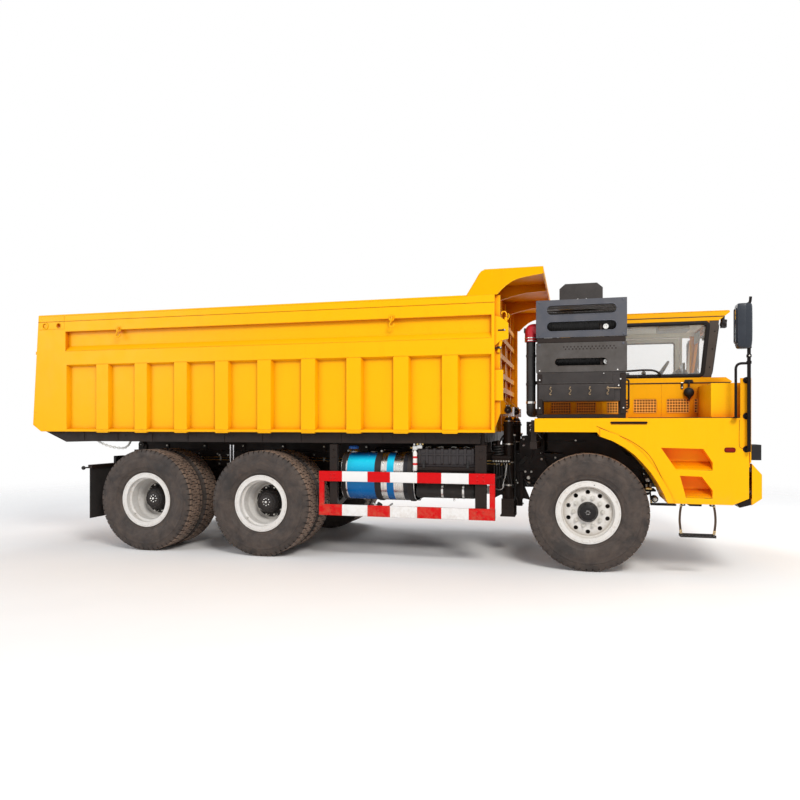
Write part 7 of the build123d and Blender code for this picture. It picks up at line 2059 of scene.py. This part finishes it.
def cab_inside():
    """Trim cards, headliner, visor, console, instruments, levers, pedals and belts."""
    s = Shape()
    s.plate(rounded([(2610, -2), (4520, -2), (4520, 1452), (2610, 1452)], 60, 5), "z", 3108, 3128,
            0, 6)
    s.plate(rounded([(10, 1840), (1440, 1840), (1440, 2420), (10, 2420)], 30, 5), "x", 2596, 2606,
            0, 3)
    for y0, y1 in ((-6, 2), (1448, 1456)):
        s.plate(rounded([(2620, 1840), (3380, 1840), (3380, 2335), (2620, 2335)], 30, 5), "y", y0,
                y1, 0, 2)
        s.plate([(2606, 3054), (4520, 3054), (4520, 3110), (2606, 3110)], "y", y0, y1, 0, 2)
    s.plate(rounded([(3420, 1840), (4260, 1840), (4260, 2335), (3420, 2335)], 30, 5), "y", -6, 2, 0,
            2)
    s.plate(rounded([(2600, 20), (4240, 20), (4240, 1440), (2600, 1440)], 40, 5), "z", 1821, 1830,
            1, 3)
    for k in range(24):
        s.tube([(2700 + 62 * k, 40, 1831), (2700 + 62 * k, 1420, 1831)], 4, 1, 6)
    # sun visors, lamp, radio box and pull cord rail under the headliner
    for y in (230, 1000):
        s.plate(rounded([(y - 210, 2900), (y + 210, 2900), (y + 210, 3050), (y - 210, 3050)], 24,
                        5), "x", 4470, 4484, 2, 4)
        s.rod((4477, y - 190, 3056), (4477, y + 190, 3056), 6, 3, 10)
    s.plate(rounded([(3900, 560), (4320, 560), (4320, 900), (3900, 900)], 40, 5), "z", 3040, 3108,
            2, 10)
    s.lathe([(0, 60), (10, 58), (22, 44), (26, 0)], (3500, 720, 3108), (0, 0, -1), 4, 30)
    # binnacle, gauges, blank screen and switches on the dashboard
    s.plate([(4300, 2400), (4180, 2384), (4160, 2470), (4200, 2520), (4290, 2500), (4340, 2420)],
            "y", 780, 1220, 1, 12)
    for y in (880, 1000, 1120):
        s.lathe([(0, 46), (8, 46), (10, 40), (4, 38), (4, 0)], (4166, y, 2448), (-1, 0, 0.15), 3,
                32)
        s.lathe([(0, 38), (1, 0)], (4161, y, 2449), (-1, 0, 0.15), 5, 32)
        s.rod((4158, y, 2449), (4157, y + 24, 2462), 2, 6, 6)
    s.plate(rounded([(420, 2410), (700, 2410), (700, 2570), (420, 2570)], 14, 4), "x", 4210, 4232,
            3, 4)
    s.plate(rounded([(434, 2424), (686, 2424), (686, 2556), (434, 2556)], 8, 3), "x", 4206, 4212, 5,
            1)
    for k in range(8):
        s.block(4176, 4196, 300 + 56 * k, 340 + 56 * k, 2352, 2378, 3, 4)
    for y in (120, 380, 760, 1300):
        s.plate(rounded([(y - 60, 2280), (y + 60, 2280), (y + 60, 2340), (y - 60, 2340)], 16, 4),
                "x", 4140, 4152, 3, 3)
        for k in range(4):
            s.block(4134, 4142, y - 52, y + 52, 2288 + 13 * k, 2292 + 13 * k, 1, 1)
    # gear lever, hoist lever, pedals and column stalks
    s.lathe([(0, 46), (12, 44), (50, 24), (64, 14), (64, 0)], (3700, 530, 2150), (0, 0, 1), 1, 24)
    s.tube(smooth_path([(3700, 530, 2200), (3712, 540, 2320), (3700, 560, 2420)]), 9, 7, 12)
    s.lathe([(0, 0), (0, 20), (16, 30), (40, 30), (56, 20), (60, 0)], (3700, 560, 2412), (0, 0, 1),
            3, 20)
    s.tube(smooth_path([(3520, 470, 2150), (3516, 468, 2260), (3530, 470, 2330)]), 8, 7, 12)
    s.lathe([(0, 0), (0, 16), (20, 22), (46, 18), (52, 0)], (3530, 470, 2322), (0, 0, 1), 6, 18)
    for y in (900, 1010, 1120):
        s.block(4180, 4260, y - 34, y + 34, 1960, 1975, 3, 5,
                Matrix.Rotation(math.radians(-50), 3, "Y"))
        s.rod((4240, y, 1990), (4300, y, 2120), 9, 7, 12)
    for side in (-1, 1):
        s.tube(smooth_path([(4080, 1000, 2372), (4070, 1000 + side * 110, 2400),
                            (4050, 1000 + side * 190, 2430)]), 7, 3, 10)
    s.lathe([(0, 62), (10, 60), (24, 46), (30, 0)], (3952, 1000, 2444), (-0.85, 0, 0.53), 3, 32)
    # belt, cab fan and fire extinguisher
    s.ribbon(smooth_path([(3060, 1280, 2920), (3150, 1262, 2700), (3240, 1264, 2400),
                          (3330, 1266, 2170), (3380, 1240, 2060)]),
             46, 3, (0.2, 0.2, 1), 1)
    s.lathe([(0, 0), (0, 50), (8, 62), (300, 62), (340, 30), (352, 18), (380, 18), (380, 0)],
            (2720, 130, 1832), (0, 0, 1), 6, 32)
    s.block(2690, 2750, 110, 150, 2200, 2232, 3, 5)
    return s


GAUGE = moulded("gauge_face", (0.012, 0.014, 0.018), 0.2, 100, 0.0001, 0.1)
LEVER_RED = moulded("lever_red", (0.55, 0.015, 0.015), 0.35, 300, 0.0001, 0.1)
cab_inside().make("cab_interior_fittings",
                  [TRIM_PALE, DASH, TRIM, PLASTIC, LAMP_GLASS, GAUGE, LEVER_RED, CHROME],
                  slot="dark_plastic")


def soft_block(outline, y0, y1, seams, panel):
    """Crowned cushion: a rounded section swept across, swollen and pinched at its seams."""
    section = rounded(outline, 52, 8)
    steps = 44
    count = len(section)
    centre = sum(section, Vector((0, 0))) / count
    verts = []
    for k in range(steps + 1):
        t = k / steps
        end = min(t, 1 - t)
        full = min(1.0, (end / 0.11)) ** 0.5 if end < 0.11 else 1.0
        for p in section:
            off = p - centre
            swell = 1 + 0.045 * math.sin(math.pi * t) ** 0.6
            groove = sum(math.exp(-((t - at) / 0.012) ** 2) for at in seams)
            across = math.exp(-(((p - Vector(panel[0])).dot(Vector(panel[1]))) / 9) ** 2)
            size = (0.80 + 0.20 * full) * swell * (1 - 0.055 * groove) * (1 - 0.05 * across)
            q = centre + off * size * (0.93 if end == 0 else 1)
            verts.append((q.x, y0 + (y1 - y0) * t, q.y))
    faces = [[k * count + i, k * count + (i + 1) % count, (k + 1) * count + (i + 1) % count,
              (k + 1) * count + i]
             for k in range(steps) for i in range(count)]
    verts += [(centre.x, y0 + 3, centre.y), (centre.x, y1 - 3, centre.y)]
    last = steps * count
    faces += [[(i + 1) % count, i, len(verts) - 2] for i in range(count)]
    faces += [[last + i, last + (i + 1) % count, len(verts) - 1] for i in range(count)]
    s = Shape()
    s.add(verts, [f[::-1] for f in faces], 0)
    return s


def driver_seat():
    """Padded cushion, backrest and head rest with piping, plus the shell, rails and bellows."""
    cushion = soft_block([(3236, 2150), (3734, 2150), (3734, 2262), (3236, 2262)], 756, 1244,
                         (0.2, 0.8),
                         ((3485, 2206), (1, 0)))
    back = soft_block([(3178, 2262), (3284, 2248), (3218, 2760), (3122, 2760)], 768, 1232,
                      (0.22, 0.78),
                      ((3200, 2500), (0, 1)))
    head = soft_block([(3126, 2772), (3206, 2772), (3200, 2896), (3120, 2896)], 866, 1134, (),
                      ((0, 0), (1, 0)))
    cushion.make("seat_cushion", SEAT_CLOTH, slot="seat_cloth", smooth=60)
    back.make("seat_back", SEAT_CLOTH, slot="seat_cloth", stands_for=["seat"], smooth=60)
    head.make("seat_head_rest", SEAT_CLOTH, slot="seat_cloth", smooth=60)
    s = Shape()
    s.plate(rounded([(3214, 2120), (3700, 2120), (3690, 2152), (3226, 2152)], 14, 4), "y", 790,
            1210, 0, 6)
    s.plate([(3166, 2250), (3178, 2250), (3124, 2750), (3112, 2750)], "y", 790, 1210, 0, 4)
    for k in range(7):
        s.plate(rounded([(3330 + 6 * (k % 2), 850), (3640 - 6 * (k % 2), 850),
                         (3640 - 6 * (k % 2), 1150),
                         (3330 + 6 * (k % 2), 1150)], 30, 5), "z", 2010 + 16 * k, 2024 + 16 * k, 1,
                5)
    for y in (900, 1100):
        s.rod((3150, y, 2740), (3150, y, 2800), 8, 2, 12)
    for y in (742, 1258):
        s.plate(rounded([(3200, 2150), (3290, 2150), (3280, 2300), (3190, 2300)], 20, 4), "y",
                y - 8, y + 8, 0, 3)
        s.plate(rounded([(3200, 2400), (3520, 2420), (3520, 2462), (3200, 2452)], 18, 4), "y",
                y - 18, y + 18, 0, 7)
    s.make("seat_frame", [DASH, HOSE, CHROME], slot="dark_plastic")


driver_seat()
# ------------------------------------------------------------------ fenders, steps, deck
def fender_dress():
    """Painted shade lines along the creases, step treads, marker lamp, deck sheet and bolts of the
    right fender.
    """
    s = Shape()
    y = -1602
    # painted shade: dark orange lines along the fender's creases
    line = [(2992, 1690), (3152, 1618), (3373, 1517), (3564, 1361), (3699, 1105), (3806, 879)]
    s.tube(smooth_path([(a, y, b) for a, b in line], 6), 2.6, 0, 6)
    s.tube([(3340, -1590, 1782), (4496, -1590, 1782)], 6, 1, 8)
    s.tube(smooth_path([(4492, y + 1, 1760), (4490, y + 1, 1500), (4510, y + 1, 1452),
                        (4566, y + 1, 1440)], 6), 2.2, 0, 6)
    # long rubber stop on the top edge
    s.plate(rounded([(3145, 1719), (3544, 1719), (3544, 1741), (3145, 1741)], 10, 5), "y", -1612,
            -1600, 1, 3)
    s.plate(rounded([(3152, 1708), (3540, 1708), (3540, 1718), (3152, 1718)], 4, 3), "y", -1604,
            -1600, 0, 1)
    # marker lamp
    s.plate(rounded([(4340, 1402), (4454, 1402), (4454, 1456), (4340, 1456)], 26, 8), "y", -1606,
            -1600, 1, 2)
    s.plate(rounded([(4346, 1408), (4448, 1408), (4448, 1450), (4346, 1450)], 20, 8), "y", -1612,
            -1605, 2, 3)
    # sloping step floors with raised grips
    for near, far, x1, z0, z1 in ((3849, 3792, 4219, 1205, 1296), (3953, 3928, 4219, 896, 986)):
        s.add([(near, -1598, z0), (x1, -1598, z0), (x1, -1412, z1), (far, -1412, z1),
               (far, -1412, z0), (x1, -1412, z0)],
              [[0, 1, 2, 3], [3, 2, 5, 4], [0, 4, 5, 1], [0, 3, 4], [1, 5, 2]], 3)
        for k in range(int((x1 - near) / 30)):
            for t in (0.2, 0.5, 0.8):
                x, v, z = near + 18 + 30 * k, -1598 + 186 * t, z0 + (z1 - z0) * t
                top = [(x - 9, v - 9, z - 1), (x + 9, v + 5, z + 6), (x + 9, v + 9, z + 8),
                       (x - 9, v - 5, z + 1)]
                s.add(top + [(a, b, c - 6) for a, b, c in top],
                      [[0, 1, 2, 3], [7, 6, 5, 4], [0, 4, 5, 1], [1, 5, 6, 2], [2, 6, 7, 3],
                       [3, 7, 4, 0]], 3)
    # deck tread between the rack and the front
    for i in range(12):
        for k in range(9):
            x, v = 3390 + 70 * i, -1500 + 92 * k
            if v < -720:
                s.plate([(x - 14, v - 12), (x + 14, v + 8), (x + 14, v + 13), (x - 14, v - 7)], "z",
                        1780, 1784, 3, 0.6)
    # bracket of the folding step
    s.block(3990, 4122, -1540, -1330, 796, 828, 1, 5)
    for x in (3923, 4223):
        s.block(x - 24, x + 24, -1570, -1530, 800, 846, 1, 5)
        s.bolt((x, -1570, 822), (0, -1, 0), 10, 4)
    return s


# painted shade for the fender's crease lines
FENDER_CREASE_SHADE = body_paint("fender_crease_shade", (0.30, 0.10, 0.004), (0.10, 0.03, 0.004))
MARKER_RED = moulded("marker_red", (0.20, 0.006, 0.002), 0.3, 300, 0.0001, 0.2, 0.15)
FENDER_LOOKS = [FENDER_CREASE_SHADE, BLACK_POST, MARKER_RED, YELLOW, ZINC]
fender = fender_dress()
fender.make("fender_fittings_right", FENDER_LOOKS, slot="yellow_paint")
fender.mirrored().make("fender_fittings_left", FENDER_LOOKS, slot="yellow_paint")


def front_dress():
    """Grille bars, blank plate, tow covers, painted shade lines along the seams, and handles of the
    front.
    """
    s = Shape()
    x = 4601
    # painted shade: black lines along the front's panel seams
    s.tube([(x, -1588, 1240), (x, 1588, 1240)], 4, 0, 6)
    for y in (-1180, 1180):
        s.tube([(x, y, 1246), (x, y, 1786)], 3, 0, 6)
    # screen slats in the lower front panel
    for k in range(8):
        z = 1400 + 42 * k
        s.plate([(4584, z), (4598, z + 6), (4598, z + 22), (4584, z + 14)], "y", -596, -114, 1, 1)
    # bumper: blank plate, slots, recess seams and bolts
    # open fault: the plate's face lies in the bumper's front plane, so it renders black
    s.plate(rounded([(-250, 985), (250, 985), (250, 1105), (-250, 1105)], 12, 4), "x", 4712, 4716,
            2, 1)
    for y in (-900, 900):
        s.plate(rounded([(y - 240, 940), (y + 240, 940), (y + 240, 1010), (y - 240, 1010)], 30, 6),
                "x", 4706, 4715, 1, 3)
        for k in range(4):
            s.block(4710, 4716, y - 220, y + 220, 948 + 16 * k, 954 + 16 * k, 0, 1)
    for y in (-1240, -560, 560, 1240):
        for z in (880, 1225):
            s.bolt((4690, y, z), (1, 0, 0), 12, 3)
    # grab handles on the front face and wash step
    for y in (250, 1150):
        s.tube(bent_path([(x, y - 120, 2030), (4648, y - 120, 2030), (4648, y + 120, 2030),
                          (x, y + 120, 2030)], 26), 11, 1, 12)
    s.tube(bent_path([(x, -1400, 2020), (4648, -1400, 2020), (4648, -900, 2020), (x, -900, 2020)],
                     26), 11, 1, 12)
    s.plate(rounded([(40, 1830), (1400, 1830), (1400, 2150), (40, 2150)], 60, 6), "x", 4600, 4606,
            4, 3)
    s.plate(rounded([(-1440, 1850), (-720, 1850), (-720, 2110), (-1440, 2110)], 60, 6), "x", 4600,
            4605, 4, 3)
    return s


# painted shade for the seam lines on the front
SHADE_LINE = moulded("seam_shade_black", (0.012, 0.008, 0.006), 0.7)
PLATE_WHITE = moulded("plate_white", (0.60, 0.60, 0.58), 0.4, 300, 0.0001, 0.06)
front_dress().make("front_fittings", [SHADE_LINE, PLASTIC, PLATE_WHITE, ZINC, YELLOW],
                   slot="yellow_paint")


def lamp_dress():
    """Glasses, reflectors, rims and guards of the head, rear and roof lamps."""
    s = Shape()
    for y in (-1470, 1470):
        s.plate(rounded([(y - 108, 1332), (y + 108, 1332), (y + 108, 1476), (y - 108, 1476)], 22,
                        5), "x", 4700, 4714, 1, 4)
        for c in (y - 52, y + 52):
            s.lathe([(0, 0), (2, 30), (10, 44), (12, 50), (0, 50)], (4700, c, 1404), (1, 0, 0), 3,
                    30)
            for k in range(5):
                s.tube([(4715, c - 36 + 18 * k, 1352), (4715, c - 36 + 18 * k, 1456)], 1.6, 1, 6)
        s.block(4606, 4616, y - 90, y + 90, 1300, 1330, 0, 3)
    for y in (-1000, 1000):
        for c, mat in ((y - 62, 4), (y, 4), (y + 62, 5)):
            s.plate(rounded([(c - 28, 1158), (c + 28, 1158), (c + 28, 1242), (c - 28, 1242)], 10,
                            4), "x", -3806, -3799, mat, 3)
        s.block(-3800, -3764, y - 20, y + 20, 1104, 1152, 0, 3)
    for y in (40, 1410):
        s.lathe([(-8, 0), (-8, 30), (0, 46), (44, 58), (58, 58), (60, 52), (54, 50), (54, 0)],
                (4618, y, 3048), (1, 0, -0.25),
                0, 36)
        s.lathe([(0, 48), (3, 46), (6, 0)], (4672, y, 3034), (1, 0, -0.25), 1, 32)
        s.block(4622, 4652, y - 60, y - 52, 3040, 3130, 0, 2)
        s.block(4622, 4652, y + 52, y + 60, 3040, 3130, 0, 2)
        s.block(4620, 4654, y - 60, y + 60, 3122, 3130, 0, 2)
    return s


lamp_dress().make("lamp_glasses", [PLASTIC, LAMP_GLASS, ZINC, CHROME, LAMP_RED, LAMP_AMBER],
                  slot="lamp")


def loft(s, rows, mat):
    """Skin over a stack of plane sections (each a list of points), closed at both ends."""
    n = len(rows[0])
    verts = [p for row in rows for p in row]
    faces = [[r * n + i, r * n + (i + 1) % n, (r + 1) * n + (i + 1) % n, (r + 1) * n + i]
             for r in range(len(rows) - 1) for i in range(n)]
    faces += [list(range(n))[::-1], [(len(rows) - 1) * n + i for i in range(n)]]
    s.add(verts, faces, mat)


def mirror_arm():
    """Right mirror: soft-cornered housing, glass, post, clamps, loop rail and stand-offs."""
    s = Shape()
    half = [(4444, 1576), (4580, 1572), (4604, 1600), (4611, 1650), (4600, 1700), (4526, 1739),
            (4452, 1726), (4444, 1712)]
    plan = rounded(half, 12, 4)
    mid = Vector((4524, 1655))
    levels = ((2531, 0.60), (2534, 0.72), (2546, 0.84), (2572, 0.93), (2620, 0.985), (2700, 1.0),
              (2900, 1.0), (2975, 0.985),
              (2998, 0.95), (3009, 0.90), (3013, 0.80))
    rows = []
    for z, size in levels:
        rows.append([(mid.x + (p.x - mid.x) * size, -(mid.y + (p.y - mid.y) * size),
                      z) for p in plan])
    loft(s, rows, 0)
    glass_line = rounded([(-1696, 2596), (-1596, 2596), (-1596, 2962), (-1696, 2962)], 26, 5)
    s.plate(glass_line, "x", 4441, 4445, 3, 1)
    s.tube([(4441, p.x, p.y) for p in glass_line], 8, 0, 8, loop=True)
    y = -1650
    s.rod((4576, y, 1413), (4576, y, 2560), 19, 1, 24)
    for z in (2548, 2450, 2380):
        s.lathe([(0, 19), (0, 26), (30, 26), (30, 19)], (4576, y, z - 15), (0, 0, 1), 1, 24)
    s.bolt((4576, y - 24, 2450), (0, -1, 0), 8, 2)
    s.tube(smooth_path([(4574, y, 3000), (4588, y, 3046), (4592, y, 3090)]), 15, 1, 12)
    s.rod((4556, y, 3008), (4590, y, 3024), 17, 1, 12)
    s.tube(bent_path([(4445, y, 1781), (4445, y, 2371), (4576, y, 2371)], 70, 8), 14, 1, 16)
    for z in (1440, 1800, 2190):
        s.rod((4562, y, z), (4562, -1594, z), 13, 1, 16)
        s.lathe([(0, 36), (6, 36), (8, 30), (8, 0)], (4562, -1600, z), (0, -1, 0), 1, 24)
    s.lathe([(0, 34), (6, 34), (10, 26), (10, 0)], (4445, y, 1781), (0, 0, 1), 1, 24)
    s.block(4425, 4465, -1650, -1580, 1776, 1784, 1, 3)
    return s


MIRROR_GLASS = bare_metal("mirror_glass", (0.62, 0.66, 0.70), 0.03, (4, 4, 4), 0.02)
MIRROR_LOOKS = [MIRROR_CASE, BLACK_POST, ZINC, MIRROR_GLASS]
arm = mirror_arm()
arm.join(arm.mirrored())
arm.make("mirror_pair", MIRROR_LOOKS, slot="dark_plastic", stands_for=["mirrors"], smooth=40)


def hanging_step():
    """Webbing straps with brass buckles and a ribbed tread, both sides."""
    s = Shape()
    for x, out in ((3903, -1), (4245, 1)):
        path = [(x - out * 8, -1555, 828), (x + out * 8, -1556, 740), (x + out * 14, -1557, 640),
                (x + out * 8, -1556, 560),
                (x, -1552, 486)]
        s.ribbon(smooth_path(path), 24, 6, (1, 0, 0), 0)
        for z, dx in ((496, 0), (520, out * 4), (800, 0)):
            s.block(x + dx - 15, x + dx + 15, -1563, -1546, z - 9, z + 9, 1, 4)
            s.bolt((x + dx, -1563, z), (0, -1, 0), 5, 2)
    s.block(3888, 4260, -1600, -1492, 455, 470, 3, 3)
    for k in range(24):
        for row in range(4):
            x, v = 3896 + 15.4 * k, -1594 + 26 * row
            s.plate([(x, v), (x + 7, v + 4), (x + 7, v + 20), (x, v + 16)], "z", 470, 480, 3, 0.8)
    for v in (-1600, -1496):
        s.block(3888, 4260, v, v + 6, 455, 486, 4, 2)
        s.tube([(3892 + 18 * k, v - 2 if v < -1550 else v + 8,
                 461 + 19 * (k % 2)) for k in range(21)], 3.2, 3, 6)
    return s


STRAP = cloth("step_strap", (0.055, 0.030, 0.018))
TREAD_GREY = bare_metal("tread_grey", (0.20, 0.19, 0.18), 0.5, (30, 30, 30), 0.3)
step = hanging_step()
step.join(step.mirrored())
step.make("folding_step_pair", [STRAP, BRASS, ZINC, TREAD_GREY, BLACK_POST], slot="black_steel",
          stands_for=["folding_step"])
